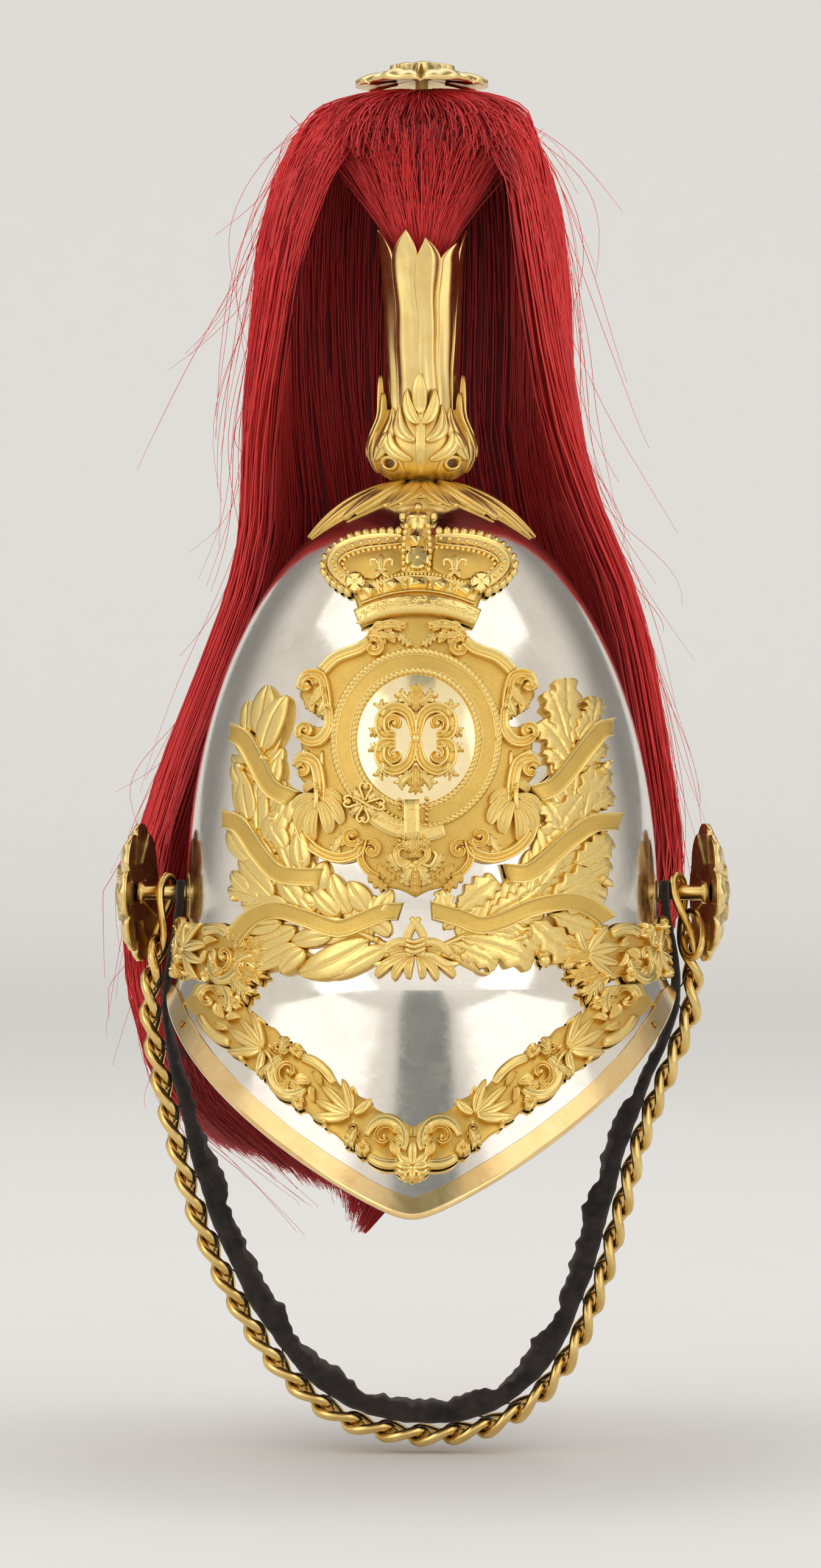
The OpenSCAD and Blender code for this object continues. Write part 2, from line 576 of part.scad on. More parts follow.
// Wreath: a laurel branch on the viewer's left and an oak branch on the right
branch_path = [[3, 12], [16, 18], [34, 32], [47, 50], [54, 70], [56, 88], [54, 106]];
function branch(s) = [for (p = smooth(branch_path, 4)) [s * p.x, p.y]];
wreath_gap = 0.4;
module beside_cartouche(side) {
    color(gilt) difference() {
        children();
        cartouche_zone(cartouche_grow + wreath_gap);
        translate([side > 0 ? -skull_w : 0, -skull_l, -1]) cube([skull_w, skull_l, 2 * skull_l]);
        translate([-skull_w, -skull_l, -skull_l]) cube([2 * skull_w, skull_l, skull_l + 1]);
    }
}
module laurel_branch() {
    run = branch(-1);
    beside_cartouche(-1) {
        ridge([for (i = [0:2:len(run) - 1]) run[i]], 2.6, 1.6, 0.5);
        for (i = [0:8]) let (t = i / 8.5, p = along(run, t), q = along(run, min(1, t + 0.05)))
            let (a = atan2(q.y - p.y, q.x - p.x)) {
                leaf(p.x, p.y, a + 32, 20 - 0.3 * i, 7);
                leaf(p.x, p.y, a - 36, 19 - 0.3 * i, 7);
                if (i % 2 == 1) bead(p.x + 4.5 * cos(a + 70), p.y + 4.5 * sin(a + 70), 1.9, 3);
                if (i % 3 == 2) bead(p.x + 5 * cos(a - 75), p.y + 5 * sin(a - 75), 1.9, 3);
            }
        leaf(run[len(run) - 1].x, run[len(run) - 1].y, 78, 16, 6.4);
    }
}
module oak_branch() {
    run = branch(1);
    beside_cartouche(1) {
        ridge([for (i = [0:2:len(run) - 1]) run[i]], 2.6, 1.6, 0.5);
        for (i = [0:4]) let (t = (i + 0.2) / 5, p = along(run, t), q = along(run, min(1, t + 0.05)))
            let (a = atan2(q.y - p.y, q.x - p.x)) {
                lobed_leaf(p.x, p.y, a + 34, 22, 12);
                lobed_leaf(p.x, p.y, a - 40, 21, 12);
                if (i % 2 == 0) bead(p.x + 7 * cos(a + 78), p.y + 7 * sin(a + 78), 2.6, 3);
            }
        lobed_leaf(run[len(run) - 1].x, run[len(run) - 1].y, 98, 18, 11);
    }
}
// Three bare ribbons on each side, each a shallow S across the branch, seated on the leaves below it
ribbon_low = clear + 2.5;
ribbon_high = clear + 3.4;
module ribbons(paths, foot) {
    for (p = paths) ridge(smooth(p, 3), 6.6, 0.7, 0.85, foot);
}
module honour_ribbons_left() {
    color(gilt) {
        ribbons([
            [[-68, 98], [-61, 92], [-55, 80], [-47, 70]],
            [[-70, 65], [-60, 62], [-47, 48], [-31, 42]]
        ], ribbon_high);
        ribbons([[[-65, 20], [-52, 25], [-30, 17], [-9, 25]]], ribbon_low);
    }
}
module honour_ribbons_right() {
    color(gilt) ribbons([
        [[70, 98], [64, 92], [56, 80], [44, 73]],
        [[73, 65], [62, 63], [48, 47], [33, 40]],
        [[68, 22], [52, 26], [30, 18], [9, 28]]
    ], ribbon_low);
}
// Crossed stems and the ribbon that ties them
module wreath_tie() {
    f = clear + 2.6;
    color(gilt) {
        for (s = [-1, 1]) {
            ridge([[s * 10, 17], [0, 13], [-s * 9, 8.5], [-s * 18, 7]], 3.2, 1.8, 0.7, s > 0 ? f : f + 2);
            ridge([[s * 1, 14], [s * 6, 22], [s * 3, 26], [0, 20]], 2.6, 1.4, 0.7, f + 3.9);
        }
    }
}
// Threaded posts soldered behind the badge, through the skull, and their square nuts inside
post_len = 6.5;
// The post's flat end stops short of the curved badge at the rim that lies farthest back
function post_y(i) = let (p = post_at[i]) on(abs(p[0]) + post_r, p[1] + post_r, clear / 2).y;
module badge_posts() {
    color("peru") for (i = [0:len(post_at) - 1]) post_line(i, post_r, post_y(i), post_y(i) + post_len);
}
nut_t = 2;
nut_w = 5;
nut_air = 0.4;
module badge_nuts() {
    color("peru") for (i = [0:len(post_at) - 1]) {
        p = post_at[i];
        far = [abs(p[0]) + nut_w / 2, p[1] + nut_w / 2];
        y0 = -skull_k * sqrt(pow(half_w(far.y) - metal_t, 2) - far.x * far.x) + nut_air;
        difference() {
            translate([p[0] - nut_w / 2, y0, p[1] - nut_w / 2]) cube([nut_w, nut_t, nut_w]);
            post_line(i, post_r + 0.05, y0 - 5, y0 + 5);
        }
    }
}

// Leaf plate on the dome, under the plume holder
module crown_base_plate() {
    n = 40;
    inner = tube_r + 0.6;
    color(gilt) loft([for (i = [0:n - 1])
        let (a = 360 * i / n, lobe = abs(cos(2 * a)), frill = i % 4 == 0 ? 0 : i % 4 == 2 ? -2.6 : -1)
        let (front = max(0, -sin(a)), r = base_plate_r * (0.72 + 0.28 * pow(lobe, 0.8) * (1 - front)) + frill)
        let (q = function (d, h) on_dome(d * cos(a), d * sin(a), h))
        concat([for (t = [0:0.25:1]) q(inner + (r - inner) * t, badge_foot)],
            [q(r, badge_foot + 0.9), q(r * 0.8, 2.2 + 1.4 * lobe), q(r * 0.5, 3 + (i % 4 == 0 ? 1.2 : 0)),
            [inner * cos(a), inner * sin(a), apex_z + 2.6]])], true);
}
// Bulb of acanthus leaves with pierced eyes and four upright leaves
bulb_z = apex_z + 2.9;
holder_z = bulb_z + 8.5;
module acanthus_bulb() {
    n = 24;
    floor_t = 3;
    neck = holder_r0 + 0.9;
    wall = function (t) bulb_r * (0.66 + 0.34 * sin(200 * t - 10));
    z = function (t) bulb_z + bulb_h * t;
    color(gilt) {
        difference() {
            loft([for (i = [0:n - 1])
                let (a = 360 * i / n, f = i % 4 == 0 ? 0.9 : i % 4 == 2 ? -0.9 : 0)
                let (q = function (r, h) [r * cos(a), r * sin(a), h])
                concat([q(tube_r + 0.5, z(0))],
                    [for (t = [0, 0.2, 0.45, 0.7, 0.9, 1]) q(max(neck + 1, wall(t) + f), z(t))],
                    [q(neck, z(1)), q(neck, z(0) + floor_t), q(tube_r + 0.5, z(0) + floor_t)])], true);
            for (a = [45:90:315]) rotate([0, 0, a + 20]) translate([neck + 1.5, 0, z(0.28)]) rotate([0, 90, 0])
                cylinder(r = 2.6, h = bulb_r, $fn = 24);
        }
        for (a = [0:90:270]) rotate([0, 0, a]) for (s = [-1, 0, 1])
            loft([for (t = [0, 0.4, 0.75, 1])
                let (r = bulb_r - 3.4 - 5 * t + 5.2 * t * t + (s == 0 ? 0.6 : 0), w = 4.4 * (1 - 0.75 * t * t))
                let (x = s * (3.5 + 3 * sin(150 * t)), h = z(0.62) + t * (s == 0 ? 22 : 13))
                [[x - w / 2, -r + 0.7, h], [x, -r - 0.9, h], [x + w / 2, -r + 0.7, h], [x, -r + 1.1, h]]]);
    }
}
// Fluted holder with a crown of flame-shaped leaf tips
holder_wall = 1.3;
tip_h = 9;
module plume_holder() {
    n = holder_leaves * 4;
    top = holder_z + holder_h;
    color(gilt) loft([for (i = [0:n - 1])
        let (a = 360 * i / n, u = i % 4 / 4, tip = 1 + tip_h * (1 - abs(2 * u - 1)) * (i % 8 > 3 ? 0.7 : 1))
        let (f = 0.55 * cos(360 * u + 180), q = function (r, h) [r * cos(a), r * sin(a), h])
        let (r = function (t) holder_r0 + (holder_r1 - holder_r0) * t * t)
        [q(r(0) - holder_wall, holder_z), q(r(0), holder_z), q(r(0.3) + f, holder_z + holder_h * 0.3),
         q(r(0.7) + f, holder_z + holder_h * 0.7), q(r(1) + f, top), q(r(1) + 0.9 + f * 0.4, top + tip),
         q(r(1) - holder_wall + 1, top + tip), q(r(1) - holder_wall - 0.4, top)]], true);
}
// Threaded tube through the crown, with its shoulder, washer and nut
rod_clear = 0.06;
washer_r = 14;
inner_drop = dome_h * (1 - sqrt(1 - pow(washer_r / (skull_a - metal_t), 2)));
washer_top = apex_z - metal_t - inner_drop - 0.3;
washer_t = 1.5;
crown_nut_t = 6;
shoulder_z = bulb_z + 3.2;
module socket_tube() {
    color("peru") difference() {
        union() {
            translate([0, 0, washer_top - washer_t - crown_nut_t - 2])
                cylinder(r = tube_r, h = shoulder_z + 34 - washer_top + washer_t + crown_nut_t + 2, $fn = 48);
            translate([0, 0, shoulder_z]) cylinder(r = tube_r + 3.5, h = 5, $fn = 48);
        }
        cylinder(r = rod_r + rod_clear, h = plume_top, $fn = 48);
    }
}
module crown_washer() {
    color("peru") translate([0, 0, washer_top - washer_t]) difference() {
        cylinder(r = washer_r, h = washer_t, $fn = 64);
        translate([0, 0, -1]) cylinder(r = tube_r + 0.2, h = washer_t + 2, $fn = 48);
    }
}
module crown_nut() {
    color("peru") translate([0, 0, washer_top - washer_t - crown_nut_t]) difference() {
        cylinder(r = tube_r + 5, h = crown_nut_t, $fn = 6);
        translate([0, 0, -1]) cylinder(r = tube_r + 0.05, h = crown_nut_t + 2, $fn = 48);
    }
}

// Ear stud: a shaft along X with a collar outside the skull, and its nut inside
collar_x = ear_x + 0.6;
collar_t = 1.2;
rosette_x = ear_x + 18.6;
stud_nut_x = ear_x - metal_t - 3.2;
module ear_stud(side) {
    color("peru") {
        ear_line(stud_r, stud_nut_x - 1.5, rosette_x + 2.5, side);
        ear_line(stud_r + 2.4, collar_x, collar_x + collar_t, side);
    }
}
module ear_stud_left() { ear_stud(-1); }
module ear_stud_right() { ear_stud(1); }
module ear_stud_nuts() {
    color("peru") for (side = [-1, 1]) difference() {
        ear_line(4.6, stud_nut_x, stud_nut_x + 2.4, side, 6);
        ear_line(stud_r + 0.05, stud_nut_x - 2, stud_nut_x + 5, side);
    }
}

// Leather lining: a sweatband, tongues that close over the head, and the lace under their tips
liner_gap = 6;
module sweatband() {
    o = -metal_t - liner_gap;
    color(hide) scale([1, skull_k, 1]) translate([0, 0, 2]) difference() {
        cylinder(r1 = rim_a + o, r2 = skull_a + o, h = sweatband_h, $fn = fine);
        translate([0, 0, -0.01]) cylinder(r1 = rim_a + o - leather_t, r2 = skull_a + o - leather_t,
            h = sweatband_h + 0.02, $fn = fine);
    }
}
tongue_z0 = sweatband_h + 2.3;
tongue_tip = 112;
module liner_tongues() {
    color(hide) for (i = [0:tongue_count - 1])
        let (a = 360 * (i + 0.5) / tongue_count, half = 168 / tongue_count)
        loft([for (t = [0:0.2:1])
            let (z = tongue_z0 + (tongue_tip - tongue_z0) * sin(90 * t), s = 1 - 0.62 * t * t)
            let (w = half * (1 - 0.62 * t * t * t))
            let (q = function (b, o) let (r = (skull_a - metal_t - liner_gap - o) * s)
                [r * sin(a + b), -skull_k * r * cos(a + b), z - o * t])
            [q(-w, 0), q(0, 0), q(w, 0), q(w, leather_t), q(0, leather_t), q(-w, leather_t)]]);
}
lace_r = 1.1;
module liner_lace() {
    r = (skull_a - metal_t - liner_gap) * 0.38 + 3;
    n = 24;
    color("saddlebrown") loft([for (i = [0:n - 1]) let (a = 360 * i / n)
        [for (j = [0:5]) let (d = r + lace_r * cos(60 * j))
            [d * sin(a), skull_k * d * cos(a), tongue_tip - 2 * leather_t - lace_r + lace_r * sin(60 * j)]]], true);
}

// Plume rod, the thread that binds the hair to it, and the hair
rod_z0 = bulb_z + 6;
module plume_rod() {
    color("peru") translate([0, 0, rod_z0]) cylinder(r = rod_r, h = plume_top + 4 - rod_z0, $fn = 48);
}
binding_z0 = holder_z + 42;
binding_z1 = holder_z + 68;
module plume_binding() {
    color("#5a1010") rotate_extrude($fn = 48)
        polygon([[rod_r + 0.15, binding_z0], [7.4, binding_z0], [8.2, binding_z0 + 8], [8.2, binding_z1 - 4],
            [7.6, binding_z1], [rod_r + 0.15, binding_z1]]);
}
fan_z0 = binding_z1 + 0.3;
module hair_fan() {
    n = 24;
    rise = plume_top - 17 - fan_z0;
    // The fan clears the holder's tips before it spreads
    mouth = (holder_z + holder_h + tip_h + 2.6 - fan_z0) / rise;
    profile = [[5.2, 0], [9, mouth / 2], [11, mouth], for (p = [[17, 0.38], [24, 0.7], [31, 1]])
        [p[0], mouth + (1 - mouth) * p[1]]];
    color(horsehair) loft([for (i = [0:n - 1])
        let (a = 360 * i / n, f = i % 2 == 0 ? 0.5 : -0.5)
        let (q = function (r, t, k) [r * cos(a), 0.8 * r * sin(a), fan_z0 + rise * t - k])
        concat([for (p = profile) q(p[0] + f * p[1] * 1.6 + 1.2, p[1], 0)],
            [for (j = [len(profile) - 1:-1:0]) let (p = profile[j]) q(p[0] - 1.8, p[1], -1.4 * p[1])])], true);
}
// The falling hair is a curtain open to the front. Each row gives its height, how far it reaches to the
// left and right, the y of its middle, its depth behind that, and how far round to the left and right it
// closes, in degrees from the back.
hair_rows = [
    [346, 6, 6, 0, 6, 150, 150], [342, 28, 25, 1, 22, 146, 146], [332, 46, 40, 2, 36, 142, 142],
    [315, 56, 50, 4, 48, 136, 136], [285, 64, 56, 7, 56, 127, 127], [250, 67, 58, 11, 59, 116, 116],
    [215, 70, 61, 20, 61, 102, 102], [180, 75, 69, 29, 63, 92, 92], [150, 85, 79, 38, 66, 90, 90],
    [115, 97, 91, 47, 69, 90, 90], [75, 109, 100, 57, 73, 90, 86], [35, 119, 108, 66, 74, 90, 72],
    [0, 120, 112, 74, 78, 90, 54], [-35, 113, 112, 90, 74, 88, 24], [-55, 104, 110, 104, 64, 80, 8],
    [-75, 88, 100, 116, 56, 60, -4], [-98, 80, 90, 120, 52, 36, -22]
];
// The upper rows rise with the top of the plume
drawn_top = 346.5;
function row_z(z) = z + (plume_top - drawn_top) * max(0, z - apex_z) / (drawn_top - apex_z);
function hair_point(row, s, inward, drop) =
    let (xm = (row[2] - row[1]) / 2, xh = (row[1] + row[2]) / 2)
    let (b = (row[6] - row[5]) / 2 + s * (row[6] + row[5]) / 2)
    [xm + (xh - inward) * sin(b), row[3] + (row[4] - inward) * cos(b), row_z(row[0]) - drop];
module hair_fall() {
    n = 18;
    last = len(hair_rows) - 1;
    depth = function (i) hair_t * min(1, max(0, (i - 0.8) / 3)) * (i > last - 3 ? 0.8 - 0.2 * (i - last + 3) : 1);
    color(horsehair) loft([for (j = [0:n])
        let (s = 2 * j / n - 1, f = j % 2 == 0 ? 1.1 : 0)
        concat(
            [for (i = [0:last]) hair_point(hair_rows[i], s, i < 2 ? 0 : f, 0)],
            [for (i = [last:-1:0]) hair_point(hair_rows[i], s, depth(i), max(0, 5 - 1.3 * i))])]);
}

// Rosette of fat outer petals and a raised inner flower, drawn with its back at z = 0
module rosette(r, outer, inner, big, hub_r, back) {
    difference() {
        union() {
            cylinder(r = r - big * 0.8, h = 2.2, $fn = 64);
            for (i = [0:outer - 1]) rotate([0, 0, 360 * (i + 0.5) / outer])
                translate([r - big, 0, -big * 0.28]) sphere(r = big, $fn = 32);
            for (i = [0:inner - 1]) rotate([0, 0, 360 * i / inner])
                translate([big * 0.86, 0, big * 0.3]) sphere(r = big * 0.56, $fn = 32);
            translate([0, 0, big * 0.62]) sphere(r = big * 0.42, $fn = 32);
        }
        translate([-2 * r, -2 * r, -2 * r]) cube([4 * r, 4 * r, 2 * r]);
        translate([0, 0, -0.01]) difference() {
            cylinder(r = r - big * 0.9, h = back, $fn = 64);
            translate([0, 0, -1]) cylinder(r = hub_r + 1, h = back + 2, $fn = 48);
        }
    }
}
module top_rosette() {
    color(gilt) translate([0, 0, plume_top]) difference() {
        rosette(top_rosette_r, 7, 5, 9.6, rod_r + 1, 0.8);
        translate([0, 0, -1]) cylinder(r = rod_r + rod_clear, h = 6, $fn = 48);
    }
}

// Ear rosette on its hub, which turns on the stud and carries the chain
hub_r = 3;
hub_x = collar_x + collar_t + 0.2;
module ear_rosette(side) {
    color(gilt) difference() {
        union() {
            translate([side * rosette_x, ear_y, ear_z]) rotate([0, 0, side * rosette_tilt])
                rotate([0, 90 * side, 0]) rosette(rosette_r, 8, 6, 8.4, hub_r, 1);
            ear_line(hub_r, hub_x, rosette_x + 2, side);
        }
        ear_line(stud_r + rod_clear, hub_x - 1, rosette_x + 3, side);
    }
}
module ear_rosette_left() { ear_rosette(-1); }
module ear_rosette_right() { ear_rosette(1); }

// Route of the backing strap's middle in the plane of the studs, from the viewer's left to the right, as
// drawn for a skull of drawn_w
drawn_w = 183;
drawn_ear_z = 33.5;
drawn_route = [
    [-94.8, 38.5], [-95.2, 28], [-97.4, 14], [-99.2, 4], [-100.6, -8], [-99.5, -22], [-94, -45], [-86, -72],
    [-77, -98], [-64, -125], [-48, -148], [-28, -164], [-4, -170], [20, -168], [38, -158], [52, -140],
    [62, -115], [69, -90], [76, -66], [85, -44], [93, -27], [98.6, -12], [99.4, 0], [97.8, 12], [95.2, 28],
    [94.8, 38.5]
];
strap_route = [for (p = drawn_route) [p.x * skull_w / drawn_w, p.y + ear_z - drawn_ear_z]];
strap_line = smooth(strap_route, 3);
strap_run = [for (i = 0, s = 0; i < len(strap_line);
    s = s + (i + 1 < len(strap_line) ? norm(strap_line[i + 1] - strap_line[i]) : 0), i = i + 1) s];
strap_len = strap_run[len(strap_run) - 1];
strap_thin = 3.2;
function strap_depth(s) =
    let (d = min(s, strap_len - s)) strap_thin + (strap_t - strap_thin) * min(1, max(0, (d - 60) / 60));
function outward(p, i) = let (c = course(p, i)) [-c.y, c.x];
// The chain lies on the outside of the strap, so its route is the strap's, moved outward
chain_air = 0.75;
link_half_t = link_b * sin(link_twist) / 2 + wire_r;
chain_line = [for (i = [0:len(strap_line) - 1])
    strap_line[i] - outward(strap_line, i) * (strap_depth(strap_run[i]) / 2 + link_half_t + chain_air)];
chain_run = [for (i = 0, s = 0; i < len(chain_line);
    s = s + (i + 1 < len(chain_line) ? norm(chain_line[i + 1] - chain_line[i]) : 0), i = i + 1) s];
chain_len = chain_run[len(chain_run) - 1];
chain_x = [for (i = [0:len(chain_line) - 1]) [chain_run[i], chain_line[i].x]];
chain_z = [for (i = [0:len(chain_line) - 1]) [chain_run[i], chain_line[i].y]];
function chain_at(s) = [lookup(s, chain_x), lookup(s, chain_z)];
end_a = 15.5;
// Each end loop hangs on a rosette's hub and takes the first link in its lower end
hub_run = strap_route[0][1] - ear_z;
// The hub sits as high in the loop as the loop's narrowing end lets it
loop_run = hub_run + sqrt((1 - pow((hub_r + wire_r + 2 * clear) / (link_b * cos(link_twist / 2)), 2))
    * (end_a * end_a - link_b * link_b));
first_link = loop_run + end_a - link_a + link_pitch;
// Links share out the length between the two end loops
link_count = floor((chain_len - 2 * first_link) / link_pitch) + 1;
link_step = (chain_len - 2 * first_link) / (link_count - 1);
// Closed ring of wire that follows p, a function of the angle around the middle o
module wire_ring(p, o, r, rings, sides = 4) {
    loft([for (i = [0:rings - 1])
        let (u = 360 * i / rings, d = unit(p(u + 4) - p(u - 4)), e = unit(cross(d, p(u) - o)), g = cross(e, d))
        [for (j = [0:sides - 1]) p(u) + r * (e * cos(360 * j / sides) + g * sin(360 * j / sides))]], true);
}
// Twisted link at s along the chain, with half length a and half width b
module link(s, a, b, rings = 10) {
    c = chain_at(s);
    t2 = unit(chain_at(s + 3) - chain_at(s - 3));
    t = [t2.x, 0, t2.y];
    n = [t2.y, 0, -t2.x];
    o = [c.x, ear_y, c.y];
    wire_ring(function (u) let (w = link_twist * cos(u), y = b * sin(u))
        o + t * a * cos(u) + [0, 1, 0] * y * cos(w) + n * y * sin(w), o, wire_r, rings);
}
module chain_links() {
    color(gilt) for (i = [0:link_count - 1]) link(first_link + i * link_step, link_a, link_b);
}
module chain_end_loops() {
    color(gilt) for (s = [loop_run, chain_len - loop_run]) link(s, end_a, link_b, 14);
}
// Seat of the spare ring that hangs in the end loop at the viewer's right
ring_a = 14.5;
ring_b = 5.8;
ring_wire = 1.4;
ring_at = [rosette_x - 4.16, ear_y - 12.5, ear_z - 16];
ring_lean = -57;
ring_roll = 37;
ring_tip = -6;
module chain_end_ring() {
    color(gilt) translate(ring_at) rotate([ring_lean, 0, 0]) rotate([0, ring_tip, 0]) rotate([0, 0, ring_roll])
        wire_ring(function (u) [0, ring_b * sin(u), ring_a * cos(u)], [0, 0, 0], ring_wire, 16, 6);
}
module chain_backing() {
    n = 44;
    table_x = [for (i = [0:len(strap_line) - 1]) [strap_run[i], strap_line[i].x]];
    table_z = [for (i = [0:len(strap_line) - 1]) [strap_run[i], strap_line[i].y]];
    at = function (s) [lookup(s, table_x), lookup(s, table_z)];
    color(velvet) difference() {
        loft([for (i = [0:n])
            let (s = strap_len * i / n, c = at(s), t = unit(at(s + 2) - at(s - 2)), u = [-t.y, t.x])
            let (h = strap_depth(s) / 2, w = strap_w / 2)
            [for (q = [[-0.7, -1], [0.7, -1], [1, -0.45], [1, 0.45], [0.7, 1], [-0.7, 1], [-1, 0.45], [-1, -0.45]])
                [c.x + u.x * h * q[1], ear_y + w * q[0], c.y + u.y * h * q[1]]]]);
        for (side = [-1, 1]) ear_line(hub_r + 0.4, skull_a / 2, skull_a + 30, side);
    }
}

skull_shell();
front_peak();
neck_peak();
front_peak_edging();
neck_peak_edging();
edging_rivets();
base_band();
peak_band_left();
peak_band_right();
peak_palmette();
crown_badge();
cartouche_plate();
garter_strap();
garter_buckle();
badge_mirror();
badge_ornament();
laurel_branch();
oak_branch();
honour_ribbons_left();
honour_ribbons_right();
wreath_tie();
badge_posts();
badge_nuts();
crown_base_plate();
acanthus_bulb();
plume_holder();
socket_tube();
crown_washer();
crown_nut();
ear_stud_left();
ear_stud_right();
ear_stud_nuts();
sweatband();
liner_tongues();
liner_lace();
plume_rod();
plume_binding();
hair_fan();
hair_fall();
top_rosette();
ear_rosette_left();
ear_rosette_right();
chain_links();
chain_backing();
chain_end_loops();
chain_end_ring();
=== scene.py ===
"""Looks of the cavalry helmet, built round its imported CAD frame.

Sizes are in millimetres in the frame of the CAD source, and become metres where a mesh is made.
The front faces -Y, +X is the viewer's right, and z = 0 is the plane of the head opening.
"""
import math

import bpy
import numpy as np
from mathutils import Matrix, Vector


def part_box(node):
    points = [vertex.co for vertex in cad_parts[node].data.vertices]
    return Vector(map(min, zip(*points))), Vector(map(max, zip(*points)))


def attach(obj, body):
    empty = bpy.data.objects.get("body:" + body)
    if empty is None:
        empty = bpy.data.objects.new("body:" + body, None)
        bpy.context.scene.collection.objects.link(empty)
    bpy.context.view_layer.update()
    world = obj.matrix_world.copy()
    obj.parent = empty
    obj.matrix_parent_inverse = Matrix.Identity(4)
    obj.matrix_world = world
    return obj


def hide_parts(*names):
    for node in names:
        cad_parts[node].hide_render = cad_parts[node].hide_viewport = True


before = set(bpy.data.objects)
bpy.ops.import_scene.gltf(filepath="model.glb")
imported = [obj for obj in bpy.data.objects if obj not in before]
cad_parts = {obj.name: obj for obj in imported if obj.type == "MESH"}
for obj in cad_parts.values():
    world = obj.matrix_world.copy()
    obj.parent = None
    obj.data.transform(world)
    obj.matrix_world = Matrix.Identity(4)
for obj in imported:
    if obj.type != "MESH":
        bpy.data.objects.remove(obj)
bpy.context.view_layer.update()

MM = 0.001
TAU = 2 * math.pi

# Driving sizes of the CAD source
SKULL_W = 183
SKULL_L = 224
DOME_H = 161
TEMPLE_H = 30
SKIRT_FLARE = 3
METAL_T = 1.2
FRONT_DROP = 78.5
FRONT_FLARE = 0.616
NECK_DROP = 58
NECK_FLARE = 0.45
NECK_SIDE = 5
EDGING_W = 7
EDGING_T = 0.7
BADGE_Z = 92
GARTER_RX = 30
GARTER_RZ = 32.5
GARTER_W = 8
BULB_Z = 193.9
HOLDER_Z = 202.4
HOLDER_R0 = 11.7
HOLDER_R1 = 15.5
PLUME_TOP = 346.5
TOP_ROSETTE_R = 25.5
EAR_Y = 16
EAR_Z = 33.5
ROSETTE_R = 27
ROSETTE_TILT = 10
HAIR_T = 14
WIRE_R = 1.6
LINK_A = 9.6
LINK_B = 7.2
LINK_TWIST = math.radians(36)
LINK_PITCH = 13
END_A = 15.5
STRAP_W = 15
STRAP_T = 8.4

SKULL_A = SKULL_W / 2
SKULL_K = SKULL_L / SKULL_W
RIM_A = SKULL_A + SKIRT_FLARE
APEX_Z = TEMPLE_H + DOME_H
EAR_X = SKULL_A * math.sqrt(1 - (EAR_Y / (SKULL_A * SKULL_K)) ** 2)
SINK = -0.35          # relief edges end this far inside the metal below them
TURN_Z = 7            # half height of the soft turn between skull and peak


# Points on the helmet's surface

def foot_curve(z, flare):
    """Half width and its slope in the soft turn between skull and peak."""
    w0, s0 = RIM_A + flare * TURN_Z, -flare
    up = np.sqrt(1 - TURN_Z / TEMPLE_H)
    w1, s1 = SKULL_A + SKIRT_FLARE * up ** 3, -1.5 * SKIRT_FLARE / TEMPLE_H * up
    t, run = (z + TURN_Z) / (2 * TURN_Z), 2 * TURN_Z
    a, b = 3 * (w1 - w0) - run * (2 * s0 + s1), run * (s0 + s1) - 2 * (w1 - w0)
    return w0 + run * s0 * t + a * t ** 2 + b * t ** 3, s0 + (2 * a * t + 3 * b * t ** 2) / run


def half_w(z, flare=FRONT_FLARE):
    """Half width of the outer surface at height z."""
    z = np.asarray(z, float)
    dome = SKULL_A * np.sqrt(np.maximum(0.001, 1 - ((z - TEMPLE_H) / DOME_H) ** 2))
    skirt = SKULL_A + SKIRT_FLARE * np.clip(1 - z / TEMPLE_H, 0, 1) ** 1.5
    low = np.where(z > -TURN_Z, foot_curve(z, flare)[0], RIM_A - z * flare)
    return np.where(z > TEMPLE_H, dome, np.where(z >= TURN_Z, skirt, low))


def lean(z, flare=FRONT_FLARE):
    """Half width times its rate of change with height."""
    z = np.asarray(z, float)
    dome = -(SKULL_A / DOME_H) ** 2 * (z - TEMPLE_H)
    skirt = -1.5 * SKIRT_FLARE / TEMPLE_H * np.sqrt(np.clip(1 - z / TEMPLE_H, 0, 1))
    low = np.where(z > -TURN_Z, foot_curve(z, flare)[1], -flare)
    return np.where(z > TEMPLE_H, dome, half_w(z, flare) * np.where(z >= TURN_Z, skirt, low))


def lifted(x, y, z, h, flare=FRONT_FLARE):
    """Points of the surface moved outward by h."""
    x, y, z, h = np.broadcast_arrays(x, y, z, h)
    n = np.stack([x, y / SKULL_K ** 2, -lean(z, flare)], -1).astype(float)
    n /= np.linalg.norm(n, axis=-1, keepdims=True)
    return np.stack([x, y, z], -1) + n * h[..., None]


def on(x, z, h):
    """Points seen at x, z from the front, h above the surface."""
    y = -SKULL_K * np.sqrt(np.maximum(1, half_w(z) ** 2 - np.asarray(x, float) ** 2))
    return lifted(x, y, z, h)


def around(a, z, h, flare=FRONT_FLARE):
    """Points at the bearing a in radians from the front, h above the surface."""
    w = half_w(z, flare)
    return lifted(w * np.sin(a), -SKULL_K * w * np.cos(a), z, h, flare)


def on_band(x, z, h):
    """Points of the foot of the skull, x along its outline from the front."""
    return around(np.asarray(x, float) / RIM_A, z, h)


def on_dome(x, y, h):
    """Points of the dome above x, y, h above the surface."""
    s = (x / SKULL_A) ** 2 + (y / (SKULL_A * SKULL_K)) ** 2
    return lifted(x, y, TEMPLE_H + DOME_H * np.sqrt(np.maximum(0.01, 1 - s)), h)


# Curves

